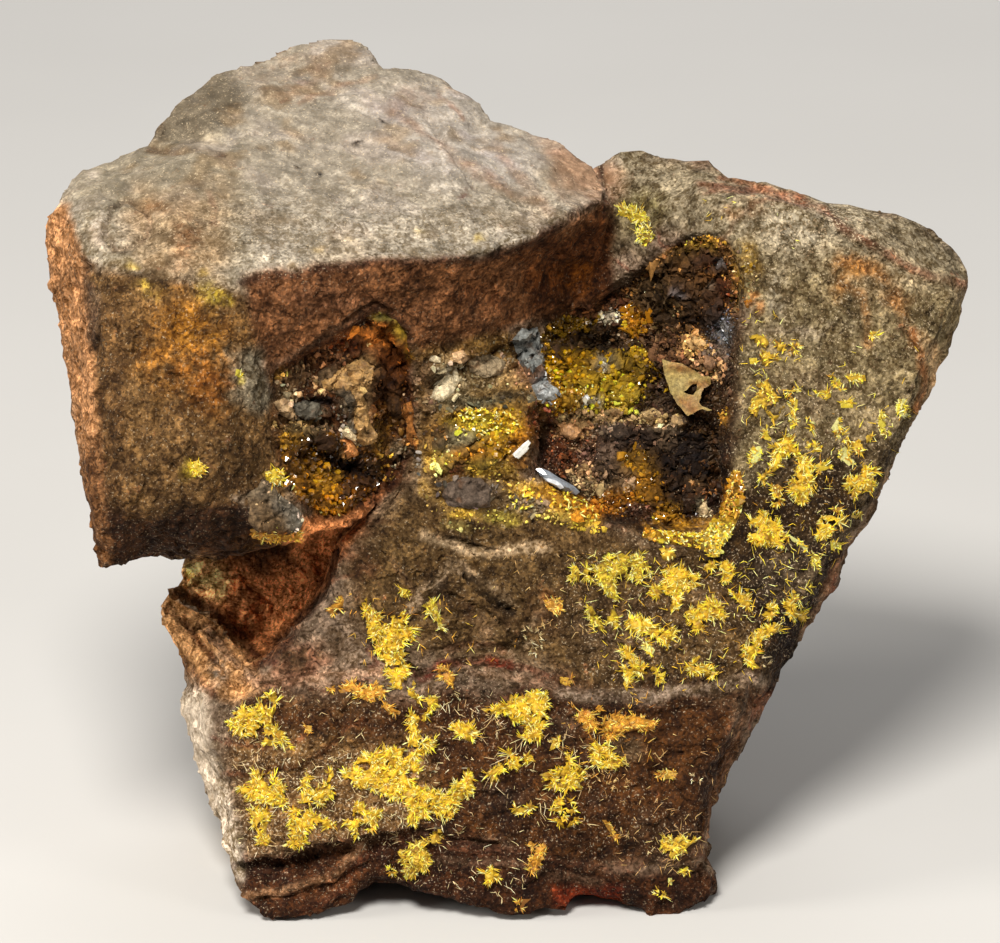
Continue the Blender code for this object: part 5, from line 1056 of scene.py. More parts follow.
PALETTE_LEFT = (
    (380, 334, 20, 12, (186, 112, 36), "matte", 0.34), (352, 346, 16, 10, (128, 66, 26), "matte", 0.35),
    (392, 356, 14, 16, (166, 90, 28), "matte", 0.32), (385, 384, 16, 18, (110, 62, 20), "gloss", 0.3),
    (392, 412, 14, 26, (92, 58, 16), "gloss", 0.32), (380, 440, 10, 20, (120, 86, 26), "gloss", 0.3),
    (362, 372, 13, 18, (176, 140, 88), "matte", 0.6), (338, 380, 18, 10, (150, 118, 80), "matte", 0.5),
    (330, 356, 18, 8, (118, 78, 46), "matte", 0.4), (362, 410, 8, 22, (160, 122, 78), "matte", 0.45),
    (368, 434, 10, 10, (156, 130, 96), "matte", 0.4), (345, 405, 7, 10, (120, 106, 86), "matte", 0.3),
    # the near-black strip at 322,402 is painted shade in a crevice
    (322, 402, 18, 4, (30, 20, 14), "matte", 0.3), (300, 374, 14, 13, (112, 86, 58), "matte", 0.3),
    (286, 398, 9, 14, (184, 158, 120), "matte", 0.4), (312, 412, 16, 6, (88, 82, 68), "matte", 0.35),
    (300, 427, 16, 7, (140, 112, 66), "matte", 0.3), (322, 426, 14, 5, (112, 88, 60), "matte", 0.3),
    (291, 438, 9, 7, (196, 140, 40), "clear", 0.34), (300, 458, 16, 14, (126, 82, 14), "clear", 0.34),
    (318, 444, 16, 12, (84, 52, 10), "clear", 0.34), (335, 462, 12, 14, (72, 42, 8), "clear", 0.34),
    # the near-black spot at 352,466 is painted shade in the deepest hollow
    (352, 466, 14, 14, (24, 14, 8), "gloss", 0.35), (300, 486, 16, 12, (176, 116, 18), "clear", 0.36),
    (324, 484, 14, 14, (214, 150, 28), "clear", 0.36), (330, 506, 18, 12, (184, 120, 20), "clear", 0.36),
    (350, 490, 12, 14, (112, 66, 12), "clear", 0.34), (366, 460, 12, 14, (92, 56, 14), "clear", 0.32),
    (348, 432, 7, 7, (226, 208, 176), "matte", 0.4), (348, 449, 8, 8, (186, 136, 76), "matte", 0.4),
    (411, 426, 4, 26, (146, 94, 38), "matte", 0.35), (412, 444, 6, 6, (170, 116, 54), "matte", 0.35),
    (385, 316, 18, 4, (130, 116, 44), "matte", 0.3), (402, 328, 7, 9, (206, 170, 44), "clear", 0.3),
    (411, 352, 4, 9, (206, 160, 34), "clear", 0.3), (276, 372, 8, 8, (186, 140, 60), "matte", 0.3),
    # the near-black strip at 345,328 is painted shadow under the cavity's upper rim
    (345, 328, 30, 3, (30, 20, 12), "matte", 0.3), (400, 450, 10, 10, (120, 104, 80), "matte", 0.3),
)
PALETTE_LEDGE = (
    (446, 376, 14, 18, (198, 182, 148), "matte", 0.45), (456, 386, 12, 12, (186, 168, 130), "matte", 0.4),
    (430, 392, 8, 30, (112, 88, 62), "matte", 0.35), (425, 370, 8, 14, (128, 100, 72), "matte", 0.35),
    (462, 357, 14, 7, (196, 160, 112), "matte", 0.4), (488, 368, 22, 10, (136, 118, 90), "matte", 0.4),
    (480, 384, 18, 8, (150, 132, 96), "matte", 0.35), (508, 378, 14, 10, (178, 148, 100), "matte", 0.35),
    (526, 372, 12, 12, (178, 132, 98), "matte", 0.35), (530, 345, 12, 16, (112, 114, 112), "gloss", 0.4),
    (545, 388, 12, 9, (138, 142, 144), "gloss", 0.45), (470, 402, 36, 7, (98, 92, 70), "matte", 0.35),
    (510, 396, 22, 6, (74, 64, 46), "matte", 0.35), (478, 424, 14, 11, (238, 206, 54), "clear", 0.3),
    (502, 424, 20, 13, (230, 184, 36), "clear", 0.34), (455, 422, 12, 8, (196, 160, 54), "clear", 0.26),
    (440, 432, 12, 12, (128, 92, 44), "gloss", 0.26), (462, 440, 18, 10, (190, 174, 130), "gloss", 0.26),
    (490, 446, 18, 8, (222, 162, 36), "clear", 0.32), (470, 452, 16, 8, (206, 142, 40), "matte", 0.32),
    (438, 462, 13, 9, (250, 204, 96), "matte", 0.34), (456, 468, 10, 7, (108, 60, 26), "gloss", 0.3),
    (480, 470, 14, 8, (170, 136, 46), "matte", 0.3), (502, 470, 14, 8, (186, 156, 66), "matte", 0.3),
    (520, 462, 14, 8, (120, 78, 30), "matte", 0.3), (520, 436, 12, 12, (170, 110, 24), "clear", 0.3),
    (534, 420, 10, 14, (88, 42, 24), "gloss", 0.3), (540, 445, 8, 14, (112, 62, 24), "gloss", 0.28),
    (470, 492, 24, 12, (86, 76, 68), "matte", 0.5), (424, 490, 9, 12, (180, 146, 80), "matte", 0.3),
    (446, 500, 9, 8, (168, 136, 70), "matte", 0.3), (520, 486, 16, 8, (186, 150, 66), "matte", 0.3),
    (545, 492, 22, 8, (218, 164, 50), "matte", 0.3), (570, 502, 20, 9, (224, 160, 40), "matte", 0.3),
    (592, 510, 14, 9, (220, 144, 38), "matte", 0.3), (560, 514, 16, 7, (206, 176, 80), "matte", 0.3),
    (525, 504, 20, 8, (130, 112, 84), "matte", 0.35), (584, 524, 14, 8, (190, 158, 50), "matte", 0.3),
    (462, 514, 14, 5, (206, 170, 66), "matte", 0.26), (500, 516, 16, 6, (168, 152, 66), "matte", 0.26),
    (514, 530, 10, 8, (196, 180, 70), "matte", 0.28), (455, 530, 12, 7, (196, 180, 110), "matte", 0.26),
    (420, 462, 6, 8, (130, 120, 110), "matte", 0.3),
)


PALETTE_RIM = (
    (748, 256, 14, 12, (186, 158, 62), "clear", 0.28), (742, 272, 10, 12, (206, 162, 46), "clear", 0.3),
    (752, 284, 10, 14, (156, 140, 92), "matte", 0.3), (744, 300, 8, 10, (206, 130, 36), "clear", 0.3),
    (738, 250, 10, 8, (120, 104, 72), "matte", 0.3), (757, 268, 8, 10, (140, 128, 100), "matte", 0.28),
    (727, 486, 7, 20, (214, 150, 34), "clear", 0.34), (726, 510, 9, 14, (246, 192, 52), "clear", 0.32),
    (700, 528, 22, 10, (252, 214, 76), "clear", 0.32), (676, 532, 20, 8, (232, 176, 46), "clear", 0.3),
    (712, 534, 14, 8, (255, 226, 110), "clear", 0.3), (660, 526, 14, 8, (206, 136, 32), "matte", 0.3),
    (688, 540, 16, 6, (170, 120, 44), "matte", 0.3),
)


def paint_rock(rock):
    mesh = rock.data
    co, no = arrays(mesh)
    q = co / MM
    u, v, p = drawn(co)
    wu = u + 16 * noise(q, 5.0, 98) + 8 * noise(q, 2.2, 101) + 4 * noise(q, 0.8, 103)
    wv = v + 16 * noise(q, 5.0, 99) + 8 * noise(q, 2.2, 107) + 4 * noise(q, 0.8, 109)
    nu = u + 4 * noise(q, 2.0, 111) + 2 * noise(q, 0.8, 115)
    nv = v + 4 * noise(q, 2.0, 112) + 2 * noise(q, 0.8, 116)
    way = co - EYE
    way /= np.linalg.norm(way, axis=1)[:, None]
    front = smooth(-(no * way).sum(1), -0.22, 0.02) * smooth(p, -19, -14)
    broad = fractal(q, 6.0, 3, 113)
    tone = srgb(*BACK_TONE) * (1 + 0.28 * broad)[:, None]
    iron = smooth(fractal(q, 4.5, 3, 127), 0.25, 0.75)
    tone = tone * (1 - 0.6 * iron[:, None]) + srgb(146, 84, 54) * 0.6 * iron[:, None]
    veins = 1 - smooth(np.abs(fractal(q * np.array([1, 1, 2.2]), 9.0, 2, 131)), 0.0, 0.07)
    tone = tone * (1 - 0.6 * veins[:, None]) + srgb(120, 56, 36) * 0.6 * veins[:, None]
    for text, soft, colour, share in AREAS:
        rim = line(text)
        au, av = (nu, nv) if soft < 9 else (wu, wv)
        far = far_np(au, av, rim, True)
        w = smooth(np.where(inside_np(au, av, rim), far, -far), -soft, soft) * share * front
        tone += (srgb(*colour) - tone) * w[:, None]
    for cu, cv, ru, rv, colour, share in SPOTS:
        far = np.hypot((wu - cu) / ru, (wv - cv) / rv)
        w = (1 - smooth(far, 0.2, 1.35)) * share * front * np.clip(0.8 + 0.8 * noise(q, 1.3, 135) + 1.1 * noise(q, 0.5, 136), 0, 1.2)
        tone += (srgb(*colour) - tone) * w[:, None]
    for zone, text in ((PALETTE_MAIN, CAVITY_ALL), (PALETTE_LEFT, LEFT_ALL), (PALETTE_LEDGE, LEDGE_ALL)):
        shade, weight = zone_colour(zone, nu, nv)
        rim = line(text)
        far = far_np(nu, nv, rim, True)
        held = smooth(np.where(inside_np(nu, nv, rim), far, -far), -4, 3)
        w = np.clip(weight * 1.5, 0, 1) * held * front * 0.9
        tone += (shade - tone) * w[:, None]
    for text, wide, colour, share in STREAKS:
        far = far_np(nu, nv, line(text))
        w = (1 - smooth(far, wide * 0.3, wide * 1.6)) * share * front * np.clip(0.75 + 0.8 * noise(q, 1.1, 137), 0.15, 1)
        tone += (srgb(*colour) - tone) * np.clip(w, 0, 1)[:, None]
    mottle = 1 + 0.32 * noise(q, 1.7, 139) + 0.36 * noise(q, 0.7, 149)
    tone = np.clip(tone * mottle[:, None] * TONE_GAIN, 0.002, 0.95)
    rust = np.clip(0.15 + 0.45 * iron + 0.6 * veins * (1 - front), 0, 1) * (1 - 0.5 * front) * (0.25 + 0.75 * smooth(u, 70, 120))
    for text, wide, colour, share in STREAKS[:3] + STREAKS[17:21] + STREAKS[30:33]:
        rust = np.maximum(rust, 0.4 * (1 - smooth(far_np(wu, wv, line(text)), wide * 0.5, wide * 3)) * front)
    speck = np.clip(0.35 + 0.3 * noise(q, 5.0, 151), 0.05, 1)
    for text, amount in SPECKLED:
        rim = line(text)
        far = far_np(wu, wv, rim, True)
        w = smooth(np.where(inside_np(wu, wv, rim), far, -far), -14, 14) * front
        speck += (amount - speck) * w
    cave = np.zeros(len(u))
    for text in (MAIN_CAVITY, LEFT_CAVITY):
        rim = line(text)
        far = far_np(wu, wv, rim, True)
        cave = np.maximum(cave, smooth(np.where(inside_np(wu, wv, rim), far, -far), -3, 6) * front)
    rim = line(AREAS[19][0])
    far = far_np(wu, wv, rim, True)
    calm = smooth(np.where(inside_np(wu, wv, rim), far, -far), -6, 12) * smooth(no[:, 2], 0.2, 0.6) * (0.45 + 0.55 * smooth(-v, -235, -150))
    pale_side = smooth(-u, -236, -200) * smooth(v, 680, 710)
    calm = np.maximum(calm, 0.7 * pale_side)
    put_value(mesh, "calm", calm)
    lilac = smooth(noise(q, 3.6, 161) + 0.5 * noise(q, 1.4, 162), 0.05, 0.6) * calm * (1 - pale_side)
    brown = smooth(noise(q, 3.2, 163) + 0.5 * noise(q, 1.1, 164), 0.1, 0.6) * calm * (1 - pale_side)
    tone = tone * (1 + lilac[:, None] * np.array([0.13, 0.12, 0.20])) * (1 - brown[:, None] * np.array([0.20, 0.30, 0.42]))
    put_colour(mesh, "tone", tone)
    put_value(mesh, "rust", rust)
    put_value(mesh, "speck", np.clip(speck, 0, 1))
    put_value(mesh, "cave", cave)


SPECKLED = (
    ("60,150 150,140 240,60 336,20 450,80 610,165 606,200 460,262 240,281 84,258", 0.55),
    ("228,735 430,740 440,830 330,850 240,858", 0.85), ("462,598 512,600 522,640 470,644", 0.95), ("746,200 850,200 900,250 820,262 750,250", 0.9),
    ("440,800 560,800 640,780 700,820 690,870 560,868 470,850", 0.5),
    ("345,560 405,490 560,520 600,600 560,690 360,640", 0.35), ("240,690 560,690 580,745 240,745", 0.5),
    ("480,750 540,745 560,800 500,830 470,800", 0.4),
    ("740,250 960,290 900,440 820,600 740,560 735,400", 0.6),
    ("560,560 760,560 820,600 780,660 700,690 580,680", 0.6),
    ("243,275 470,258 612,200 610,300 420,350 376,306 262,372", 0.2),
    ("90,290 240,300 280,430 260,545 110,560", 0.35),
    ("205,545 405,470 345,560 262,672 190,600", 0.1),
)


def put_colour(mesh, name, rgb):
    layer = mesh.color_attributes.new(name, "FLOAT_COLOR", "POINT")
    flat = np.ones((len(rgb), 4), np.float32)
    flat[:, :3] = rgb
    layer.data.foreach_set("color", flat.ravel())


def put_value(mesh, name, x):
    layer = mesh.attributes.new(name, "FLOAT", "POINT")
    layer.data.foreach_set("value", np.asarray(x, np.float32))


# ---------------------------------------------------------------- growing things on the rock
class Ground:
    """What is seen of the rock from the front: a point and a softened normal for any drawing point."""

    def __init__(self, rock):
        mesh = rock.data
        co, _ = arrays(mesh)
        tris = np.empty(len(mesh.polygons) * 3, np.int32)
        mesh.polygons.foreach_get("vertices", tris)
        self.tree = BVHTree.FromPolygons(co.tolist(), tris.reshape(-1, 3).tolist(), all_triangles=True)
        self.eye = Vector(EYE)
        self.seen = {}

    def cast(self, u, v):
        key = (round(u * 2), round(v * 2))
        if key not in self.seen:
            way = (Vector(place(key[0] / 2, key[1] / 2, 0.0)) - self.eye).normalized()
            hit, normal, _, _ = self.tree.ray_cast(self.eye, way)
            self.seen[key] = None if hit is None else (np.array(hit), np.array(normal))
        return self.seen[key]

    def at(self, u, v, reach=4.0):
        mid = self.cast(u, v)
        if mid is None:
            return None
        way = np.zeros(3)
        for du, dv in ((0, 0), (reach, 0), (-reach, 0), (0, reach), (0, -reach), (reach * 0.7, reach * 0.7),
                       (-reach * 0.7, reach * 0.7), (reach * 0.7, -reach * 0.7), (-reach * 0.7, -reach * 0.7)):
            near = self.cast(u + du, v + dv)
            if near is not None and np.linalg.norm(near[0] - mid[0]) < 1.2 * MM:
                way += near[1]
        n = np.linalg.norm(way)
        way = way / n if n > 1e-6 else mid[1]
        return mid[0], way


def mesh_from(name, verts, tris):
    verts = np.asarray(verts, np.float32)
    tris = np.asarray(tris, np.int32)
    mesh = bpy.data.meshes.new(name)
    mesh.vertices.add(len(verts))
    mesh.vertices.foreach_set("co", verts.ravel())
    mesh.loops.add(len(tris) * 3)
    mesh.loops.foreach_set("vertex_index", tris.ravel())
    mesh.polygons.add(len(tris))
    mesh.polygons.foreach_set("loop_start", np.arange(0, len(tris) * 3, 3, dtype=np.int32))
    mesh.polygons.foreach_set("use_smooth", np.zeros(len(tris), bool))
    mesh.update(calc_edges=True)
    mesh.validate()
    return mesh


class Heap:
    """Collects closed bits, each with one colour, into one mesh."""

    def __init__(self):
        self.verts, self.tris, self.tint, self.which, self.count = [], [], [], [], 0

    def put(self, verts, tris, tint, which=0):
        self.verts.append(np.asarray(verts, np.float64))
        self.tris.append(np.asarray(tris, np.int64) + self.count)
        self.which.append(np.full(len(tris), which, np.int32))
        tint = np.asarray(tint, np.float64)
        self.tint.append(np.broadcast_to(tint, (len(verts), 3)) if tint.ndim == 1 else tint)
        self.count += len(verts)

    def made(self, name, looks, slot=None, replaces=()):
        verts = np.concatenate(self.verts)
        lo, hi = np.array(cad_box[0]), np.array(cad_box[1])
        verts = np.minimum(np.maximum(verts, lo + 2e-6), hi - 2e-6)
        mesh = mesh_from(name, verts, np.concatenate(self.tris))
        put_colour(mesh, "tint", np.clip(np.concatenate(self.tint), 0.001, 0.98))
        for look in looks:
            mesh.materials.append(look)
        if len(looks) > 1:
            mesh.polygons.foreach_set("material_index", np.concatenate(self.which))
        o = add(name, mesh)
        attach(o, "root")
        if replaces:
            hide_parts(*replaces)
        return o


def frames(ways):
    """Two unit vectors square to each direction."""
    side = np.where(np.abs(ways[:, 2:3]) < 0.8, np.array([[0.0, 0.0, 1.0]]), np.array([[1.0, 0.0, 0.0]]))
    a = np.cross(ways, side)
    a /= np.linalg.norm(a, axis=1)[:, None]
    return a, np.cross(ways, a)


def needles(starts, ways, lengths, radii, sides, rng, bend=0.0):
    """Tapered pointed prisms, all at once: arrays of points and triangles."""
    n = len(starts)
    a, b = frames(ways)
    turn = rng.uniform(0, 2 * math.pi, n)
    bow = a * (rng.normal(0, 1, n) * bend * lengths)[:, None] + b * (rng.normal(0, 1, n) * bend * lengths)[:, None]
    rings = []
    for share, thick, sag in ((0.0, 1.0, 0.0), (0.55, 0.86, 0.7)):
        mid = starts + ways * (lengths * share)[:, None] + bow * sag
        for k in range(sides):
            t = turn + 2 * math.pi * k / sides
            rings.append(mid + (a * np.cos(t)[:, None] + b * np.sin(t)[:, None]) * (radii * thick)[:, None])
    tips = starts + ways * lengths[:, None]
    verts = np.stack(rings + [tips], 1)
    m = 2 * sides + 1
    tris = []
    for k in range(sides):
        j = (k + 1) % sides
        tris += [(k, j, sides + j), (k, sides + j, sides + k), (sides + k, sides + j, 2 * sides)]
        if k >= 2:
            tris.append((0, k, k - 1))
    index = np.array(tris)[None] + (np.arange(n) * m)[:, None, None]
    return verts.reshape(-1, 3), index.reshape(-1, 3), m


def barrels(starts, ways, lengths, radii, rng, sides=6, tip=0.45):
    """Stubby prisms with a bevelled end."""
    n = len(starts)
    a, b = frames(ways)
    turn = rng.uniform(0, 2 * math.pi, n)
    rings = []
    for share, thick in ((0.0, 0.9), (0.72, 1.0), (1.0, tip)):
        mid = starts + ways * (lengths * share)[:, None]
        for k in range(sides):
            t = turn + 2 * math.pi * k / sides
            rings.append(mid + (a * np.cos(t)[:, None] + b * np.sin(t)[:, None]) * (radii * thick)[:, None])
    verts = np.stack(rings, 1)
    m = 3 * sides
    tris = []
    for r in (0, 1):
        for k in range(sides):
            j = (k + 1) % sides
            o = r * sides
            tris += [(o + k, o + j, o + sides + j), (o + k, o + sides + j, o + sides + k)]
    for k in range(2, sides):
        tris.append((0, k, k - 1))
        tris.append((2 * sides, 2 * sides + k - 1, 2 * sides + k))
    index = np.array(tris)[None] + (np.arange(n) * m)[:, None, None]
    return verts.reshape(-1, 3), index.reshape(-1, 3), m


ICO = None


def shards(mids, ways, sizes, rng, flat=0.6):
    """Irregular faceted fragments."""
    global ICO
    if ICO is None:
        bm = bmesh.new()
        bmesh.ops.create_icosphere(bm, subdivisions=1, radius=1.0)
        ICO = (np.array([list(x.co) for x in bm.verts]), np.array([[x.index for x in f.verts] for f in bm.faces]))
        bm.free()
    unit, faces = ICO
    n, m = len(mids), len(unit)
    a, b = frames(ways)
    turn = rng.uniform(0, 2 * math.pi, n)
    c = a * np.cos(turn)[:, None] + b * np.sin(turn)[:, None]
    d = np.cross(ways, c)
    squash = np.exp(rng.normal(0, 0.35, (n, 3))) * np.array([1, 1, flat])
    jag = rng.uniform(0.5, 1.35, (n, m))
    verts = unit[None] * jag[:, :, None] * squash[:, None, :] * sizes[:, None, None]
    out = mids[:, None] + verts[:, :, 0:1] * c[:, None] + verts[:, :, 1:2] * d[:, None] + verts[:, :, 2:3] * ways[:, None]
    index = faces[None] + (np.arange(n) * m)[:, None, None]
    return out.reshape(-1, 3), index.reshape(-1, 3), m


def scatter(rim, spacing, rng, margin=0.0):
    """Jittered points inside an outline."""
    a = np.array(rim)
    lo, hi = a.min(0), a.max(0)
    us = np.arange(lo[0], hi[0] + spacing, spacing)
    vs = np.arange(lo[1], hi[1] + spacing, spacing * 0.87)
    gu, gv = np.meshgrid(us, vs)
    gu[1::2] += spacing / 2
    gu, gv = gu.ravel(), gv.ravel()
    gu = gu + rng.uniform(-0.33, 0.33, len(gu)) * spacing
    gv = gv + rng.uniform(-0.33, 0.33, len(gv)) * spacing
    ok = inside_np(gu, gv, rim)
    if margin:
        ok &= far_np(gu, gv, rim, True) > margin
    return gu[ok], gv[ok]


def gaps(u, v, deep, seed, share):
    """Where a mass of needles is broken open: more towards its edge."""
    q = np.stack([u * UNIT_MM, v * UNIT_MM, np.full(len(u), seed * 3.7)], 1)
    n = noise(q, 0.95, 601) + 0.5 * noise(q, 0.42, 603)
    return n > share + np.clip(deep / 14.0, 0, 1) * 0.24


def skin(ground, rim, spacing, high, edge, rng, holes=(), sink=0.22, lump=0.35, grain_mm=0.5, seed=0, open_share=None):
    """A crust over the rock inside an outline: closed, thin at the rim. Gives its points and triangles."""
    ring = []
    for a, b in zip(rim, rim[1:] + rim[:1]):
        n = max(1, round(math.hypot(b[0] - a[0], b[1] - a[1]) / spacing))
        ring += [(a[0] + (b[0] - a[0]) * t / n, a[1] + (b[1] - a[1]) * t / n) for t in range(n)]
    loops = [ring] + [list(h) for h in holes]
    gu, gv = scatter(rim, spacing, rng, spacing * 0.5)
    pts = [q for loop in loops for q in loop] + list(zip(gu.tolist(), gv.tolist()))
    edges, start = [], 0
    for loop in loops:
        n = len(loop)
        edges += [(start + i, start + (i + 1) % n) for i in range(n)]
        start += n
    flat, _, faces, _, _, _ = delaunay_2d_cdt([Vector(q) for q in pts], edges, [], 0, 1e-4)
    fu = np.array([c.x for c in flat])
    fv = np.array([c.y for c in flat])
    found = [ground.at(x, y) for x, y in zip(fu, fv)]
    depth = np.array([drawn(f[0])[2] if f else 1e9 for f in found])
    deep = np.minimum.reduce([far_np(fu, fv, loop, True) for loop in loops])
    kept = []
    for f in faces:
        f = list(f)
        cu, cv = fu[f].mean(), fv[f].mean()
        if not inside(cu, cv, ring) or any(inside(cu, cv, h) for h in holes):
            continue
        if np.ptp(depth[f]) > 1.3 or depth[f].max() > 1e8:
            continue
        if open_share is not None and gaps(np.array([cu]), np.array([cv]), deep[f].mean(keepdims=True), seed, open_share)[0]:
            continue
        kept.append(f)
    if not kept:
        return None
    used = sorted({i for f in kept for i in f})
    index = {i: k for k, i in enumerate(used)}
    base = np.array([found[i][0] for i in used])
    way = np.array([found[i][1] for i in used])
    q = base / MM
    rise = np.sqrt(np.clip(deep[used] / (spacing * 2.2), 0, 1))
    bump = 1 + lump * noise(q, grain_mm * 2, seed + 201) + lump * 0.8 * noise(q, grain_mm, seed + 203)
    h = (edge + (high - edge) * rise) * np.clip(bump, 0.2, 2)
    top = base + way * (h * MM)[:, None]
    low = base - way * (sink * MM)
    n = len(used)
    tris, count = [], {}
    for f in kept:
        t = [index[i] for i in f]
        area = (fu[f[1]] - fu[f[0]]) * (fv[f[2]] - fv[f[0]]) - (fv[f[1]] - fv[f[0]]) * (fu[f[2]] - fu[f[0]])
        if area > 0:
            t = t[::-1]
        tris.append(tuple(t))
        tris.append((t[0] + n, t[2] + n, t[1] + n))
        for a, b in zip(t, t[1:] + t[:1]):
            count.setdefault(frozenset((a, b)), []).append((a, b))
    for pair in count.values():
        if len(pair) == 1:
            a, b = pair[0]
            tris += [(b, a, a + n), (b, a + n, b + n)]
    return np.concatenate([top, low]), np.array(tris), fu[used], fv[used], h, way


# needle colours by finish: three tints and how often each comes
TINTS = {
    "yellow": (((248, 214, 56), 5), ((232, 188, 44), 4), ((255, 244, 150), 4), ((186, 132, 26), 3)),
    "greenish": (((244, 222, 70), 4), ((224, 190, 52), 3), ((254, 246, 156), 3), ((166, 130, 38), 3)),
    "golden": (((244, 212, 66), 4), ((226, 184, 52), 4), ((254, 240, 136), 3), ((156, 110, 30), 3)),
    "orange": (((242, 188, 66), 4), ((222, 158, 50), 3), ((252, 220, 124), 2), ((164, 104, 32), 3)),
    "pale": (((226, 204, 150), 4), ((196, 168, 116), 3), ((240, 230, 190), 1)),
    "tan": (((206, 168, 106), 4), ((176, 134, 78), 3), ((226, 196, 130), 1)),
}


def pick(finish, n, rng, wide=0.12):
    tints = TINTS[finish]
    share = np.array([t[1] for t in tints], float)
    which = rng.choice(len(tints), n, p=share / share.sum())
    rgb = np.array([srgb(*t[0]) for t in tints])[which]
    return np.clip(rgb * rng.normal(1, wide, (n, 1)) * rng.normal(1, wide * 0.3, (n, 3)), 0.003, 0.95)


def outward(u, v, rim):
    """The way out of an outline at a drawing point, and how deep the point lies."""
    e = 0.6
    us, vs = np.array([u, u + e, u - e, u, u]), np.array([v, v, v, v + e, v - e])
    far = far_np(us, vs, rim, True)
    return (far[2] - far[1]) / (2 * e), (far[4] - far[3]) / (2 * e), float(far[0])


def fan(heap, ground, rim, finish, rng, spacing=4.8, arms=6, bundle=(2, 4), long=(4.5, 11), thick=(0.018, 0.038), low=3, high=60,
        over=4.5, lift=0.22, bend=0.004, sides=4, tight=9, seed=0, open_share=None, spikes=0.2):
    """Sheaves of needles that stand out from hubs inside an outline; near its edge they point outwards."""
    gu, gv = scatter(rim, spacing, rng, 0.5)
    if open_share is not None and len(gu) > 3:
        shut = ~gaps(gu, gv, far_np(gu, gv, rim, True), seed, open_share)
        if shut.sum() > 2:
            gu, gv = gu[shut], gv[shut]
    if not len(gu):
        gu, gv = np.array([np.mean([q[0] for q in rim])]), np.array([np.mean([q[1] for q in rim])])
    for u, v in zip(gu, gv):
        spot = ground.at(u, v, 5.0)
        if spot is None:
            continue
        base, way = spot
        ou, ov, deep = outward(u, v, rim)
        up = lift * min(1.0, deep / 6.0)
        edge = deep < 6.0 and abs(ou) + abs(ov) > 0.2
        middle = RIGHT * ou - UP * ov if edge else RIGHT
        middle = middle - way * (middle @ way)
        middle /= max(np.linalg.norm(middle), 1e-9)
        other = np.cross(way, middle)
        n = arms * 3
        start = rng.uniform(0, 2 * math.pi)
        turn = np.radians(rng.normal(0, 62, n)) if edge else start + 2 * math.pi * (np.arange(n) % arms) / arms + rng.normal(0, 0.25, n)
        rise = np.radians(low + (high - low) * rng.beta(1.1, 1.9, n))
        ways = (np.cos(turn)[:, None] * middle + np.sin(turn)[:, None] * other) * np.cos(rise)[:, None] + way * np.sin(rise)[:, None]
        lengths = (long[0] + (long[1] - long[0]) * rng.beta(1.2, 1.7, n)) * UNIT_MM * MM * (1 - 0.45 * smooth(deep, 5, 11))
        long_ones = rng.uniform(0, 1, n) < spikes
        lengths = np.where(long_ones, lengths * 1.5, lengths)
        starts = base + way * (up * MM) + rng.normal(0, 0.03 * MM, (n, 3))
        tu, tv, _ = drawn(starts + ways * lengths[:, None])
        mu, mv, _ = drawn(starts + ways * (lengths * 0.5)[:, None])
        out = far_np(tu, tv, rim, True)
        reach = np.where(long_ones, over * 2.0, over)
        ok = (inside_np(tu, tv, rim) | (out < reach)) & (inside_np(mu, mv, rim) | (far_np(mu, mv, rim, True) < reach * 0.4))
        arm = np.nonzero(ok)[0][:arms]
        if not len(arm):
            continue
        ids = np.repeat(arm, rng.integers(bundle[0], bundle[1] + 1, len(arm)))
        k = len(ids)
        jitter = np.radians(tight) * rng.normal(0, 1, (k, 3))
        w = ways[ids] + jitter
        w /= np.linalg.norm(w, axis=1)[:, None]
        w = w + way * np.clip(0.03 - w @ way, 0, 1)[:, None]
        w /= np.linalg.norm(w, axis=1)[:, None]
        size = lengths[ids] * rng.uniform(0.55, 1.08, k)
        radii = rng.uniform(thick[0], thick[1], k) * MM
        verts, tris, m = needles(starts[ids] + rng.normal(0, 0.02 * MM, (k, 3)), w, size, radii, sides, rng, bend)
        glow = {int(x): float(y) for x, y in zip(arm, np.exp(rng.normal(0.02, 0.28, len(arm))))}
        tint = pick(finish, k, rng, 0.10) * np.array([glow[int(x)] for x in ids])[:, None]
        # painted shade and highlight along each needle: the root ring is darkened to half as painted shade, the tip
        # brightened as a painted highlight
        shade = np.ones(m)
        shade[:sides] = 0.5
        shade[-1] = 1.3
        heap.put(verts, tris, (tint[:, None, :] * shade[None, :, None]).reshape(-1, 3))


def spray(name, ground, outline, finish, looks, seed, replaces=True, mass=0.28, **how):
    rim = line(outline)
    rng = np.random.default_rng(seed)
    heap = Heap()
    open_share = how.pop("open_share", 0.2)
    made = skin(ground, rim, 2.6, mass, 0.02, rng, lump=0.8, grain_mm=0.2, seed=seed, open_share=open_share)
    if made:
        verts, tris, fu, fv, h, way = made
        tint = np.repeat(srgb(*TINTS[finish][1][0])[None] * rng.normal(1, 0.04), len(verts), 0) * 0.85
        # painted shade: the mass is darker where its crust is lower, towards its rim and in dips
        tint[:len(h)] *= (0.85 + 0.45 * noise(verts[:len(h)] / MM, 0.3, seed)[:, None]) * np.clip(0.55 + 0.5 * h / mass, 0.4, 1.1)[:, None]
        # painted shade in noise-placed patches, standing for the shaded gaps between needle bundles
        painted_gap_shade = smooth(noise(verts / MM, 0.55, seed + 7) + 0.6 * noise(verts / MM, 0.25, seed + 9), 0.05, 0.55)[:, None]
        heap.put(verts, tris, tint * (1 - painted_gap_shade) + tint * np.array([0.46, 0.38, 0.4]) * painted_gap_shade)
    fan(heap, ground, rim, finish, rng, seed=seed, open_share=open_share, **how)
    return heap.made(name, [looks["mimetite"]], SLOTS[finish], (name,) if replaces else ())


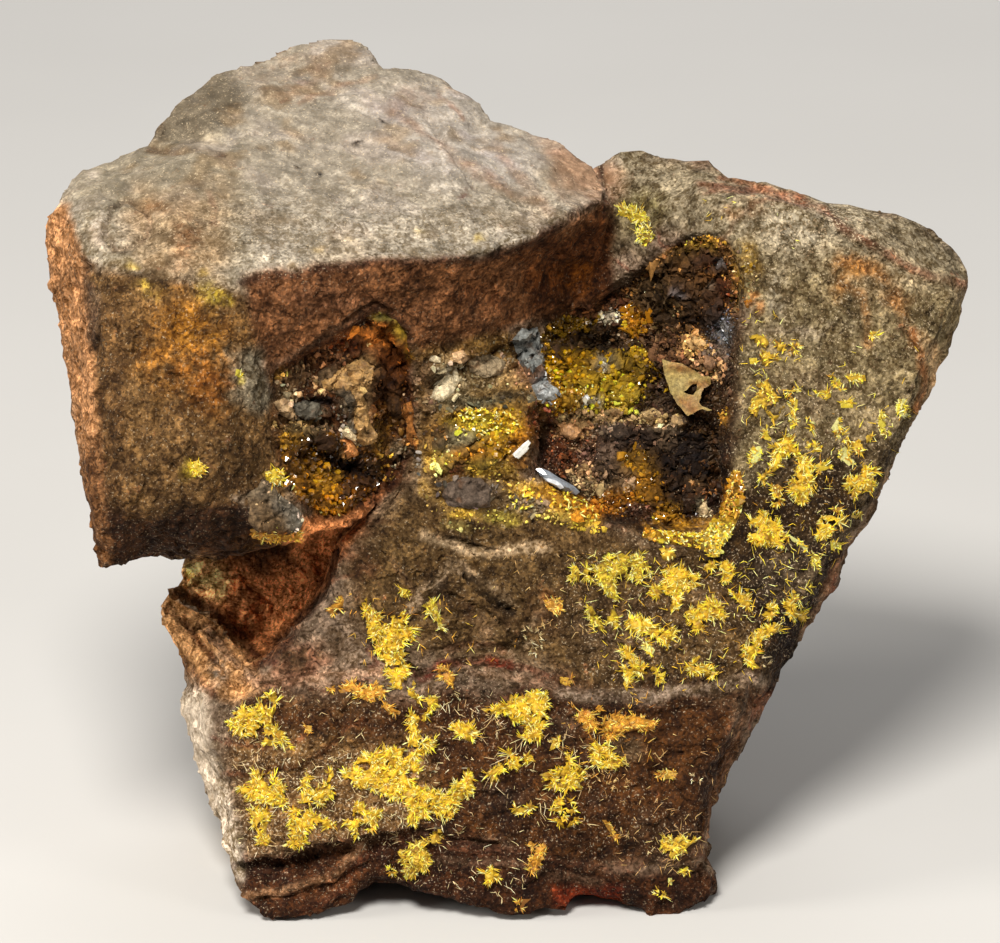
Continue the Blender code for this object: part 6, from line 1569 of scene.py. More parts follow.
def lining(name, ground, outline, zone, looks, seed, slot, replaces=True, high=0.3, spacing=4.6, skip=(), grow=1.0,
           share=1.0, under=True, crust=(2.4, 0.26, 1.0)):
    """The growth inside a cavity: a crust, fragments and stubby crystals, coloured and finished by a palette."""
    rim = line(outline)
    rng = np.random.default_rng(seed)
    heap = Heap()
    kinds = {"matte": 0, "gloss": 1, "clear": 2}
    if under:
        made = skin(ground, rim, crust[0], high, 0.03, rng, lump=crust[2], grain_mm=crust[1], seed=seed, sink=0.3)
        if made:
            verts, tris, fu, fv, h, way = made
            shade, _ = zone_colour(zone, fu, fv)
            # the crust between the fragments is darkened to 0.4 as painted shade under them, and its buried underside
            # copy a further 0.6 as painted shade
            shade = shade * np.clip(0.8 + 0.6 * noise(verts[:len(h)] / MM, 0.4, seed) + 0.6 * noise(verts[:len(h)] / MM, 0.18, seed + 1), 0.15, 2)[:, None] * 0.4
            heap.put(verts, tris, np.clip(np.concatenate([shade, shade * 0.6]), 0.002, 0.9), 0)
    gu, gv = scatter(rim, spacing, rng, 0.8)
    keep = rng.uniform(0, 1, len(gu)) < share
    for s in skip:
        keep &= ~inside_np(gu, gv, line(s))
    gu, gv = gu[keep], gv[keep]
    if not len(gu):
        return heap.made(name, [looks["rust"], looks["goethite"], looks["amber"]], slot, (name,) if replaces else ())
    table = np.array([(c[0], c[1], c[2], c[3], c[6]) for c in zone], float)
    far = ((gu[:, None] - table[None, :, 0]) / table[None, :, 2]) ** 2 + ((gv[:, None] - table[None, :, 1]) / table[None, :, 3]) ** 2
    weight = np.exp(-2.0 * far) + 1e-12
    weight /= weight.sum(1)[:, None]
    which = (weight.cumsum(1) > rng.uniform(0, 1, len(gu))[:, None]).argmax(1)
    groups = {"matte": [], "gloss": [], "clear": []}
    for u, v, k in zip(gu, gv, which):
        spot = ground.at(u, v, 3.0)
        if spot is None:
            continue
        groups[zone[k][5]].append((spot[0], spot[1], k))
    for kind, found in groups.items():
        if not found:
            continue
        base = np.array([f[0] for f in found])
        way = np.array([f[1] for f in found])
        ids = np.array([f[2] for f in found])
        n = len(found)
        size = table[ids, 4] * grow * (0.56 if kind == "clear" else 0.44) * np.exp(rng.normal(0, 0.36, n)) * MM
        rgb = np.array([srgb(*zone[k][4]) for k in ids]) * np.exp(rng.normal(-0.05, 0.45 if kind != "clear" else 0.3, (n, 1))) * np.exp(rng.normal(0, 0.05, (n, 3)))
        # lumps: the bits grow larger and brighter together, a painted light on the lumps and painted shade in the gaps
        # between them
        nodule_and_shade = noise(base / MM, 0.9, seed + 31) + 0.7 * noise(base / MM, 0.45, seed + 33)
        rgb = rgb * np.exp(0.75 * nodule_and_shade)[:, None]
        size = size * np.clip(1 + 0.5 * nodule_and_shade, 0.6, 1.5)
        if kind != "matte":
            # painted glints: about one bit in 25 is made small and near white, as painted highlights of sparkling
            # facets
            painted_glint = rng.uniform(0, 1, n) < 0.04
            rgb = np.where(painted_glint[:, None], np.clip(rgb * 2.2 + np.array([0.42, 0.36, 0.24]), 0, 0.9), rgb)
            size = np.where(painted_glint, size * 0.45, size)
        lean = rng.normal(0, 0.8, (n, 3))
        tilted = way + lean
        tilted /= np.linalg.norm(tilted, axis=1)[:, None]
        rise = high * 0.5 * MM
        if kind == "clear":
            some = rng.uniform(0, 1, n) < 0.62
            for pick_ids, shape in ((np.nonzero(some)[0], "barrel"), (np.nonzero(~some)[0], "shard")):
                if not len(pick_ids):
                    continue
                if shape == "barrel":
                    verts, tris, m = barrels(base[pick_ids] + way[pick_ids] * rise, tilted[pick_ids], size[pick_ids] * rng.uniform(0.9, 1.5, len(pick_ids)),
                                             size[pick_ids] * 0.52, rng, 6, 0.5)
                else:
                    verts, tris, m = shards(base[pick_ids] + way[pick_ids] * (rise + size[pick_ids, None] * 0.2), tilted[pick_ids],
                                            size[pick_ids] * 0.72, rng, 0.9)
                heap.put(verts, tris, np.clip(np.repeat(rgb[pick_ids], m, 0), 0.002, 0.95), kinds[kind])
        else:
            verts, tris, m = shards(base + way * (rise * 0.8), tilted, size * 0.78, rng, 0.62)
            heap.put(verts, tris, np.clip(np.repeat(rgb, m, 0), 0.002, 0.95), kinds[kind])
    return heap.made(name, [looks["rust"], looks["goethite"], looks["amber"]], slot, (name,) if replaces else ())


SLOTS = {
    "yellow": "mimetite_yellow", "greenish": "mimetite_greenish", "golden": "mimetite_golden",
    "orange": "mimetite_orange", "amber": "amber_druse", "goethite": "goethite_lining", "rust": "rust_crust",
    "grey": "grey_quartz", "tan": "tan_flake", "white": "glassy_crystal",
}


# ---------------------------------------------------------------- finishes
class Tree:
    def __init__(self, name, **values):
        self.material = bpy.data.materials.new(name)
        self.material.use_nodes = True
        self.tree = self.material.node_tree
        self.tree.nodes.clear()
        out = self.tree.nodes.new("ShaderNodeOutputMaterial")
        self.shader = self.tree.nodes.new("ShaderNodeBsdfPrincipled")
        self.tree.links.new(self.shader.outputs[0], out.inputs["Surface"])
        for key, value in values.items():
            self.shader.inputs[key.replace("_", " ")].default_value = value
        self.place = self.tree.nodes.new("ShaderNodeTexCoord").outputs["Object"]

    def feed(self, socket, value):
        if hasattr(value, "is_linked"):
            self.tree.links.new(value, socket)
        elif isinstance(value, (tuple, list, np.ndarray)):
            value = [float(x) for x in value]
            socket.default_value = value + [1.0] * (len(socket.default_value) - len(value))
        else:
            socket.default_value = value

    def set(self, **values):
        for key, value in values.items():
            self.feed(self.shader.inputs[key.replace("_", " ")], value)

    def attr(self, name, colour=False):
        n = self.tree.nodes.new("ShaderNodeAttribute")
        n.attribute_name = name
        return n.outputs["Color" if colour else "Fac"]

    def noise(self, size_mm, detail=3.0, rough=0.6, stretch=None):
        n = self.tree.nodes.new("ShaderNodeTexNoise")
        n.inputs["Scale"].default_value = 1000.0 / size_mm
        n.inputs["Detail"].default_value = detail
        n.inputs["Roughness"].default_value = rough
        place = self.place
        if stretch:
            s = self.tree.nodes.new("ShaderNodeMapping")
            s.inputs["Scale"].default_value = stretch
            self.tree.links.new(place, s.inputs["Vector"])
            place = s.outputs[0]
        self.tree.links.new(place, n.inputs["Vector"])
        return n.outputs["Fac"]

    def cells(self, size_mm, feature="F1", out="Distance"):
        n = self.tree.nodes.new("ShaderNodeTexVoronoi")
        n.feature = feature
        n.inputs["Scale"].default_value = 1000.0 / size_mm
        self.tree.links.new(self.place, n.inputs["Vector"])
        return n.outputs[out]

    def math(self, operation, a, b=0.0, c=0.0, clamp=False):
        n = self.tree.nodes.new("ShaderNodeMath")
        n.operation = operation
        n.use_clamp = clamp
        for socket, value in zip(n.inputs, (a, b, c)):
            self.feed(socket, value)
        return n.outputs[0]

    def span(self, value, lo, hi, to_lo=0.0, to_hi=1.0, soft=True):
        n = self.tree.nodes.new("ShaderNodeMapRange")
        n.interpolation_type = "SMOOTHSTEP" if soft else "LINEAR"
        for socket, x in zip(n.inputs, (value, lo, hi, to_lo, to_hi)):
            self.feed(socket, x)
        return n.outputs[0]

    def scale(self, colour, share):
        n = self.tree.nodes.new("ShaderNodeVectorMath")
        n.operation = "SCALE"
        self.feed(n.inputs[0], colour)
        self.feed(n.inputs["Scale"], share)
        return n.outputs[0]

    def mix(self, share, a, b, blend="MIX"):
        n = self.tree.nodes.new("ShaderNodeMix")
        n.data_type = "RGBA"
        n.blend_type = blend
        self.feed(n.inputs[0], share)
        self.feed(n.inputs[6], a)
        self.feed(n.inputs[7], b)
        return n.outputs[2]

    def bump(self, height, mm, strength=1.0):
        n = self.tree.nodes.new("ShaderNodeBump")
        n.inputs["Distance"].default_value = mm * MM
        n.inputs["Strength"].default_value = strength
        self.feed(n.inputs["Height"], height)
        self.tree.links.new(n.outputs[0], self.shader.inputs["Normal"])


def rock_look():
    t = Tree("broken_volcanic_rock", Specular_IOR_Level=0.14)
    tone = t.attr("tone", True)
    rust, speck, cave, calm = t.attr("rust"), t.attr("speck"), t.attr("cave"), t.attr("calm")
    fine = t.noise(0.8, 8, 0.72)
    grain = t.noise(0.26, 4, 0.7)
    tiny = t.noise(0.15, 2, 0.6)
    wide = t.noise(2.6, 6, 0.68)
    chip = t.cells(0.42, out="Color")
    sand = t.cells(0.17, out="Color")
    level = t.math("MULTIPLY", t.span(fine, 0.38, 0.62, 0.58, 1.44), t.span(sand, 0.0, 1.0, 0.46, 1.62))
    level = t.math("MULTIPLY", level, t.span(wide, 0.36, 0.64, 0.62, 1.38))
    level = t.math("MULTIPLY", level, t.span(chip, 0.1, 0.9, 0.74, 1.26))
    level = t.math("ADD", t.math("MULTIPLY", level, t.span(calm, 0.0, 1.0, 1.0, 0.30)), t.span(calm, 0.0, 1.0, 0.0, 0.69))
    colour = t.scale(tone, level)
    warm = t.math("MULTIPLY", t.span(level, 0.25, 1.15, 1.0, 0.0), t.span(calm, 0.0, 1.0, 1.0, 0.3))
    colour = t.mix(warm, colour, t.mix(1.0, colour, (1.0, 0.84, 0.56), "MULTIPLY"))
    # iron stain in freckles and films
    iron = t.math("ADD", t.noise(0.9, 6, 0.7), t.math("MULTIPLY", rust, 0.16))
    iron = t.math("MULTIPLY", t.span(iron, 0.62, 0.72), t.span(rust, 0.0, 0.7, 0.25, 0.8))
    colour = t.mix(iron, colour, t.scale(t.mix(t.span(fine, 0.4, 0.6), srgb(72, 34, 20), srgb(138, 86, 54)), level))
    # dark grains
    dark = t.span(t.noise(0.33, 4, 0.65), 0.40, 0.34)
    colour = t.mix(t.math("MULTIPLY", dark, t.span(calm, 0.0, 1.0, 0.74, 0.2)), colour, t.mix(1.0, colour, (0.24, 0.17, 0.10), "MULTIPLY"))
    # pale crystal specks
    pale = t.math("ADD", tiny, t.math("MULTIPLY", speck, 0.10))
    pale = t.math("MULTIPLY", t.span(pale, 0.66, 0.708), t.span(speck, 0.0, 1.0, 0.15, 0.80))
    colour = t.mix(pale, colour, t.mix(t.span(fine, 0.4, 0.6), srgb(138, 114, 86), srgb(214, 194, 160)))
    shine = t.span(t.noise(0.24, 2, 0.5), 0.54, 0.62)
    rough = t.span(fine, 0.3, 0.7, 0.95, 0.72)
    rough = t.math("SUBTRACT", rough, t.math("MULTIPLY", shine, t.span(cave, 0.0, 1.0, 0.14, 0.52)))
    t.set(Base_Color=colour, Roughness=rough)
    high = t.math("ADD", t.math("MULTIPLY", fine, 0.7), t.math("MULTIPLY", t.cells(0.3), -0.45))
    high = t.math("ADD", high, t.math("MULTIPLY", chip, 0.35))
    t.bump(t.math("MULTIPLY", high, t.span(calm, 0.0, 1.0, 1.0, 0.35)), 0.20, 1.0)
    return t.material


def mimetite_look():
    t = Tree("mimetite_needles", Specular_IOR_Level=0.34, IOR=1.5)
    tint = t.attr("tint", True)
    grain = t.noise(0.10, 4, 0.7)
    spots = t.noise(0.5, 3, 0.6)
    colour = t.scale(tint, t.math("MULTIPLY", t.span(grain, 0.3, 0.7, 0.78, 1.18), t.span(spots, 0.3, 0.7, 0.88, 1.1)))
    t.set(Base_Color=colour, Roughness=t.span(grain, 0.3, 0.7, 0.42, 0.66))
    t.bump(grain, 0.03, 0.6)
    return t.material


def crust_look(name, rough_lo, rough_hi, bump_mm=0.08, **values):
    t = Tree(name, **values)
    tint = t.attr("tint", True)
    fine = t.noise(0.3, 5, 0.7)
    grain = t.noise(0.12, 3, 0.7)
    colour = t.scale(tint, t.math("MULTIPLY", t.span(fine, 0.3, 0.7, 0.6, 1.4), t.span(grain, 0.3, 0.7, 0.75, 1.25)))
    t.set(Base_Color=colour, Roughness=t.span(fine, 0.3, 0.7, rough_hi, rough_lo))
    t.bump(t.math("ADD", fine, t.math("MULTIPLY", grain, 0.5)), bump_mm, 0.9)
    return t.material


def clear_look(name, clear, ior, rough_lo, rough_hi):
    """A see-through crystal: light goes through it, coloured by its own tint."""
    t = Tree(name, Transmission_Weight=clear, IOR=ior)
    tint = t.attr("tint", True)
    veil = t.noise(0.25, 4, 0.65)
    colour = t.scale(tint, t.span(veil, 0.3, 0.7, 0.8, 1.15))
    t.set(Base_Color=colour, Roughness=t.span(veil, 0.45, 0.7, rough_lo, rough_hi))
    t.bump(t.noise(0.12, 3, 0.6), 0.02, 0.35)
    return t.material


def all_looks():
    return {
        "rock": rock_look(),
        "mimetite": mimetite_look(),
        "amber": clear_look("amber_mimetite_crystals", 0.45, 1.8, 0.02, 0.12),
        "amber_crust": crust_look("amber_druse_base", 0.25, 0.6, Specular_IOR_Level=0.6),
        "goethite": crust_look("goethite_lining", 0.16, 0.66, 0.06, Specular_IOR_Level=0.36, Specular_Tint=(1.0, 0.8, 0.6, 1.0)),
        "rust": crust_look("rust_crust", 0.6, 0.95, Specular_IOR_Level=0.2),
        "grey": clear_look("grey_quartz_crystals", 0.35, 1.54, 0.12, 0.35),
        "tan": crust_look("tan_flake", 0.45, 0.8, 0.05),
        "glassy": clear_look("glassy_white_crystal", 0.35, 1.55, 0.02, 0.08),
    }


# ---------------------------------------------------------------- the pieces
def build():
    looks = all_looks()
    rock = build_rock()
    paint_rock(rock)
    rock.data.materials.clear()
    rock.data.materials.append(looks["rock"])
    rock.data.polygons.foreach_set("use_smooth", np.zeros(len(rock.data.polygons), bool))
    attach(rock, "root")
    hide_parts("matrix")
    tell("rock painted")
    ground = Ground(rock)
    for k, (name, outline, finish) in enumerate(SPRAYS):
        spray(name, ground, outline, finish, looks, 1000 + k, **HOW.get(name, {}))
    tell("sprays")
    linings(ground, looks)
    tell("linings")
    small_sprays(ground, looks)
    strewn_needles(ground, looks)
    tell("strewn needles")


BLADES = dict(spacing=5.4, arms=4, bundle=(1, 2), long=(4, 9), thick=(0.034, 0.062), over=3.5)
HOW = {name: BLADES for name in ("upper_right_blades", "right_blade_spray", "right_corner_spray", "upper_band_knot")}


CAVITY_ALL = """607,299 628,283 641,273 654,260 670,247 689,239 705,234 721,236 731,246 736,260 739,280
739,311 736,353 731,401 723,440 721,478 723,497 721,514 708,520 689,518 660,522 630,518 599,514
580,494 561,491 545,476 538,466 546,446 550,427 542,405 558,400 550,378 538,362 532,345 547,325 575,308"""
LEFT_ALL = """270,381 278,370 296,362 315,350 334,341 353,331 365,321 376,309 388,313 397,325 408,334
410,353 408,378 405,404 405,430 411,449 402,468 388,488 366,503 338,517 314,513 298,498 285,475
286,452 270,426 278,413 278,397"""
LEDGE_ALL = """418,360 440,350 470,345 500,338 522,336 545,372 558,398 545,420 538,445 524,475 560,488 600,508
606,526 580,530 540,520 500,528 470,536 440,524 420,500 414,470 410,440 410,400"""


PLATE_ROOM = "534,467 542,466 560,476 582,490 580,497 568,494 552,488 538,477"
# smooth lobes and slabs of the cavities: outline, height, colour, finish
LOBES = (
    ("""344,364 352,358 366,358 374,366 375,378 368,388 361,391 367,400 369,420 375,432 372,444 362,446 355,438
352,420 354,404 350,392 338,393 324,389 319,381 330,376 338,370""", 0.7, (156, 120, 70), "tan"),
    ("404,404 411,401 414,412 413,424 418,440 417,450 411,446 406,436 407,424 402,414", 0.22, (134, 84, 36), "rust"),
    ("339,428 347,426 354,433 357,446 352,441 344,436", 0.6, (214, 192, 150), "tan"),
    ("340,440 350,438 358,451 356,459 342,458", 0.5, (206, 138, 76), "tan"),
    ("273,402 286,397 292,408 298,420 291,421 280,413", 0.4, (168, 138, 98), "tan"),
    ("292,404 306,400 320,404 318,418 304,420 296,414", 0.4, (84, 78, 66), "rust"),
    ("356,330 368,322 384,321 396,330 400,344 392,352 378,350 364,346", 0.35, (156, 90, 30), "rust"),
    ("430,398 438,382 446,368 456,366 460,380 453,394 442,402", 0.45, (196, 180, 146), "tan"),
    ("452,353 463,350 470,359 461,366 453,362", 0.4, (202, 164, 120), "tan"),
    ("468,360 490,354 506,362 502,374 484,378 470,372", 0.4, (140, 122, 94), "rust"),
    ("446,484 462,477 480,478 491,488 490,507 470,509 448,506 442,496", 0.35, (84, 70, 58), "rust"),
    ("512,340 522,328 534,330 541,344 542,368 532,378 520,364", 0.8, (112, 114, 110), "goethite"),
    ("531,386 544,380 556,388 561,396 552,401 538,399", 0.8, (142, 144, 142), "goethite"),
    ("684,341 695,335 704,340 708,345 700,352 690,349", 0.4, (196, 156, 98), "tan"),
    ("705,355 714,358 716,367 710,373 703,365", 0.28, (142, 106, 74), "tan"),
    ("604,312 614,310 617,318 607,321", 0.5, (200, 184, 156), "tan"),
    ("572,424 582,418 592,424 588,431 576,431", 0.3, (150, 118, 76), "rust"),
    ("640,412 654,408 664,414 656,420 644,419", 0.35, (176, 146, 98), "tan"),
    ("670,416 682,413 690,421 680,427 672,424", 0.3, (160, 130, 88), "tan"),
    ("604,410 616,408 622,414 612,418", 0.25, (140, 112, 72), "rust"),
    ("626,470 636,474 636,490 626,496 618,486", 0.4, (160, 128, 92), "tan"),
    ("560,424 580,426 584,436 570,440 560,434", 0.35, (176, 130, 84), "tan"),
    ("701,503 706,500 709,512 704,517 699,513", 0.35, (186, 160, 116), "tan"),
    ("676,498 690,492 698,504 690,516 678,512", 0.4, (44, 30, 22), "goethite"),
)


def lobes(ground, looks):
    heaps = {}
    for k, (text, high, colour, finish) in enumerate(LOBES):
        rim = line(text)
        where = "left_cavity" if rim[0][0] < 425 and rim[0][1] < 480 else "main_cavity" if rim[0][0] > 540 else "ledge"
        heap, rng = heaps.setdefault(where, (Heap(), np.random.default_rng(700 + len(heaps))))
        made = skin(ground, rim, 1.9, high, 0.06, rng, lump=0.42, grain_mm=0.28, seed=800 + k, sink=0.3)
        if made:
            verts, tris, fu, fv, h, way = made
            q = verts / MM
            tone = srgb(*colour)[None] * (1 + 0.34 * noise(q, 0.7, 810) + 0.42 * noise(q, 0.24, 811))[:, None]
            stain = smooth(noise(q, 0.6, 812 + k), 0.25, 0.6)[:, None]
            tone = tone * (1 - 0.55 * stain) + srgb(96, 60, 30) * 0.55 * stain
            heap.put(verts, tris, np.clip(tone, 0.003, 0.9), ("tan", "rust", "goethite").index(finish))
    for where, (heap, _) in heaps.items():
        heap.made(where + "_lobes", [looks["tan"], looks["rust"], looks["goethite"]], "rust_crust")


def linings(ground, looks):
    rims = {name: outline for name, outline, *_ in LININGS}
    main_set = ("main_vug_amber_druse", "main_vug_goethite", "main_vug_dark_druse")
    lining("main_vug_amber_druse", ground, rims["main_vug_amber_druse"], PALETTE_MAIN, looks, 52, "amber_druse", high=0.55,
           spacing=2.6)
    lining("main_vug_goethite", ground, rims["main_vug_goethite"], PALETTE_MAIN, looks, 53, "goethite_lining", high=0.5,
           spacing=2.1, grow=0.72, crust=(1.9, 0.17, 1.1))
    lining("main_vug_dark_druse", ground, rims["main_vug_dark_druse"], PALETTE_MAIN, looks, 54, "goethite_lining", high=0.3,
           spacing=2.5, grow=0.8, crust=(2.2, 0.2, 1.0))
    lining("main_cavity_lining", ground, CAVITY_ALL, PALETTE_MAIN, looks, 50, "goethite_lining", replaces=False, high=0.1,
           spacing=2.9, grow=0.85, skip=[rims[x] for x in main_set] + [PLATE_ROOM], under=False)
    lining("left_vug_amber_druse", ground, rims["left_vug_amber_druse"], PALETTE_LEFT, looks, 51, "amber_druse", high=0.45,
           spacing=2.6)
    lining("left_vug_rust_crust", ground, rims["left_vug_rust_crust"], PALETTE_LEFT, looks, 57, "rust_crust", high=0.3,
           spacing=5.0, share=0.3)
    lining("left_cavity_lining", ground, LEFT_ALL, PALETTE_LEFT, looks, 58, "rust_crust", replaces=False, high=0.1,
           spacing=3.6, skip=(rims["left_vug_amber_druse"], rims["left_vug_rust_crust"]), under=False, share=0.5)
    lining("ledge_yellow_crust", ground, rims["ledge_yellow_crust"], PALETTE_LEDGE, looks, 60, "mimetite_greenish", high=0.3,
           spacing=3.2)
    lining("ledge_grey_crystals", ground, rims["ledge_grey_crystals"], PALETTE_LEDGE, looks, 56, "grey_quartz", high=0.5,
           spacing=5.0)
    lining("ledge_orange_crust", ground, rims["ledge_orange_crust"], PALETTE_LEDGE, looks, 61, "mimetite_golden", high=0.08,
           spacing=3.2, share=0.7, under=False)
    lining("ledge_lining", ground, LEDGE_ALL, PALETTE_LEDGE, looks, 62, "grey_quartz", replaces=False, high=0.06,
           spacing=4.2, under=False, share=0.38,
           skip=(PLATE_ROOM, rims["ledge_yellow_crust"], rims["ledge_grey_crystals"], rims["ledge_orange_crust"]))
    lining("block_grey_crystals", ground, rims["block_grey_crystals"], PALETTE_BLOCK, looks, 55, "grey_quartz", high=0.25,
           spacing=4.6)
    lining("vug_rim_yellow_druse", ground, rims["vug_rim_yellow_druse"], PALETTE_RIM, looks, 63, "mimetite_golden", high=0.08,
           spacing=3.2, share=0.55, under=False)
    lining("vug_rim_orange_crust", ground, rims["vug_rim_orange_crust"], PALETTE_RIM, looks, 64, "mimetite_golden", high=0.3,
           spacing=2.6, grow=0.85)
    blades(ground, looks)
    lobes(ground, looks)
    flake(ground, looks)
    plate_and_prism(ground, looks)


# stout blades of mimetite that stand on the crusts
BLADE_SPOTS = (
    ("456,411 470,406 492,408 512,414 519,424 508,436 490,441 470,438 457,430", "yellow", 5.2),
    ("432,456 444,454 449,462 442,470 432,468", "golden", 5.0), ("548,488 566,492 584,500 601,511 597,521 574,515 552,502", "golden", 6.0),
    ("650,529 668,532 690,534 704,532 716,522 734,526 729,539 721,547 720,557 711,557 703,550 682,546 662,543", "yellow", 3.2),
    ("722,514 727,498 731,480 734,470 741,472 744,492 742,510 736,524", "orange", 3.6),
    ("574,366 590,360 604,372 622,380 634,396 620,404 600,396 582,390 570,380", "greenish", 7.0),
    ("500,496 524,492 540,500 530,510 508,508", "greenish", 7.0),
)


def blades(ground, looks):
    rng = np.random.default_rng(66)
    heap = Heap()
    for text, finish, spacing in BLADE_SPOTS:
        fan(heap, ground, line(text), finish, rng, spacing=spacing, arms=3, bundle=(1, 2), long=(3.5, 8), thick=(0.045, 0.085), over=1.5,
            lift=0.35)
    heap.made("ledge_and_rim_blades", [looks["mimetite"]], "mimetite_yellow")


PALETTE_BLOCK = (
    (262, 490, 12, 8, (164, 140, 108), "matte", 0.32), (285, 506, 12, 10, (150, 136, 116), "matte", 0.32),
    (296, 520, 10, 10, (190, 178, 156), "gloss", 0.3), (270, 520, 14, 10, (150, 118, 80), "matte", 0.32),
    (258, 510, 10, 10, (164, 132, 94), "matte", 0.3), (290, 492, 7, 10, (180, 160, 130), "matte", 0.3),
    (275, 534, 14, 5, (150, 92, 36), "gloss", 0.28),
)


FLAKE_RIM = """662,359 665,360 671,362 680,363 690,368 697,372 702,376 709,376 711,379 711,384 707,387 704,388 702,392 701,398
699,402 702,406 707,408 712,410 708,411 702,409 697,411 692,414 688,416 684,412 680,407 675,400 671,394 669,387 666,379
664,372 663,364"""
FLAKE_HOLE = "683,392 687,390 690,386 693,384 697,384 697,388 696,391 693,395 688,394"


def flake(ground, looks):
    """The tan flake: a thin curved sheet with a hole, standing proud of the cavity floor."""
    rim, hole = line(FLAKE_RIM), line(FLAKE_HOLE)
    rng = np.random.default_rng(71)
    spots = [ground.at(u, v, 6.0) for u, v in rim]
    depth = np.array([drawn(s[0])[2] for s in spots])
    mean = float(np.percentile(depth, 80)) + 0.2
    step = 2.6
    ring = []
    for a, b in zip(rim, rim[1:] + rim[:1]):
        n = max(1, round(math.hypot(b[0] - a[0], b[1] - a[1]) / step))
        for t in range(n):
            w = rng.normal(0, 0.35, 2) if t else (0, 0)
            ring.append((a[0] + (b[0] - a[0]) * t / n + w[0], a[1] + (b[1] - a[1]) * t / n + w[1]))
    gu, gv = scatter(rim, step, rng, step * 0.5)
    clear_of = far_np(gu, gv, hole, True) > step * 0.5
    gu, gv = gu[clear_of], gv[clear_of]
    pts = ring + hole + list(zip(gu.tolist(), gv.tolist()))
    edges, start = [], 0
    for loop in (ring, hole):
        n = len(loop)
        edges += [(start + i, start + (i + 1) % n) for i in range(n)]
        start += n
    flat, _, faces, _, _, _ = delaunay_2d_cdt([Vector(q) for q in pts], edges, [], 0, 1e-4)
    fu, fv = np.array([c.x for c in flat]), np.array([c.y for c in flat])
    # a saddle that curls towards the front along its upper left edge
    s, t = (fu - 688) / 26, (fv - 388) / 28
    p = mean + 0.34 * s * s + 0.26 * t * t - 0.3 * s * t - 0.12 * s + 0.22 * np.exp(-((fv - 366) / 5.0) ** 2)
    floor = np.array([drawn(ground.at(x, y, 3.0)[0])[2] for x, y in zip(fu, fv)]).ravel()
    lack = floor + 0.6 - p
    p = p + float(np.clip(np.percentile(lack, 90), 0, 1.3))
    p = np.maximum(p, np.minimum(floor + 0.5, p + 0.5))
    q = place(fu, fv, p)
    p = p + 0.10 * noise(q / MM, 0.9, 301) + 0.06 * noise(q / MM, 0.4, 303)
    front, back = place(fu, fv, p), place(fu, fv, p - 0.13)
    kept = []
    for f in faces:
        f = list(f)
        cu, cv = fu[f].mean(), fv[f].mean()
        if inside(cu, cv, ring) and not inside(cu, cv, hole):
            area = (fu[f[1]] - fu[f[0]]) * (fv[f[2]] - fv[f[0]]) - (fv[f[1]] - fv[f[0]]) * (fu[f[2]] - fu[f[0]])
            kept.append(f[::-1] if area > 0 else f)
    n = len(fu)
    tris, count = [], {}
    for t3 in kept:
        tris += [tuple(t3), (t3[0] + n, t3[2] + n, t3[1] + n)]
        for a, b in zip(t3, t3[1:] + t3[:1]):
            count.setdefault(frozenset((a, b)), []).append((a, b))
    for pair in count.values():
        if len(pair) == 1:
            a, b = pair[0]
            tris += [(b, a, a + n), (b, a + n, b + n)]
    tone = srgb(164, 142, 82)[None] * (1 + 0.24 * noise(front / MM, 0.9, 305) + 0.2 * noise(front / MM, 0.3, 307))[:, None]
    for cu, cv, ru, rv in ((682, 367, 16, 6), (706, 390, 6, 10), (688, 402, 12, 8), (692, 410, 8, 5), (696, 384, 8, 4)):
        brown = np.exp(-((fu - cu) / ru) ** 2 - ((fv - cv) / rv) ** 2)[:, None] * (0.9 + 0.6 * noise(front / MM, 0.5, 309))[:, None]
        tone = tone + (srgb(136, 86, 34) - tone) * np.clip(brown, 0, 0.85)
    grey = smooth(noise(front / MM, 0.55, 311), 0.3, 0.7)[:, None]
    tone = tone * (1 - 0.4 * grey) + srgb(120, 112, 78) * 0.4 * grey
    heap = Heap()
    # the back of the sheet takes a darker copy of its colour as painted shade
    heap.put(np.concatenate([front, back]), tris, np.concatenate([tone, tone * 0.8]))
    heap.made("tan_flake", [looks["tan"]], "tan_flake", ("tan_flake",))


def wedge(rim, middle, ground, low, high, lean=(0.0, 0.0)):
    """A glassy plate: flat facets from a rim up to a ridge of its own outline drawn in towards the middle."""
    spots = [ground.at(u, v, 5.0) for u, v in rim]
    depth = np.array([drawn(s[0])[2] for s in spots])
    base = float(np.percentile(depth, 75))
    u, v = np.array([q[0] for q in rim], float), np.array([q[1] for q in rim], float)
    mu, mv = middle
    n = len(rim)
    outer = place(u, v, np.full(n, base + low) + lean[0] * (u - mu) + lean[1] * (v - mv))
    iu, iv = mu + (u - mu) * 0.62, mv + (v - mv) * 0.5
    inner = place(iu, iv, np.full(n, base + high) + lean[0] * (iu - mu) + lean[1] * (iv - mv))
    back = place(u, v, np.full(n, base - 0.7))
    verts = np.concatenate([inner, outer, back, inner.mean(0)[None], back.mean(0)[None]])
    tris = []
    for i in range(n):
        j = (i + 1) % n
        tris += [(i, n + j, n + i), (i, j, n + j), (n + i, 2 * n + j, 2 * n + i), (n + i, n + j, 2 * n + j),
                 (3 * n, j, i), (3 * n + 1, 2 * n + i, 2 * n + j)]
    tris = np.array(tris)
    a, b, c = verts[tris[:, 0]], verts[tris[:, 1]], verts[tris[:, 2]]
    if (np.cross(a, b) * c).sum() < 0:
        tris = tris[:, ::-1]
    return verts, tris


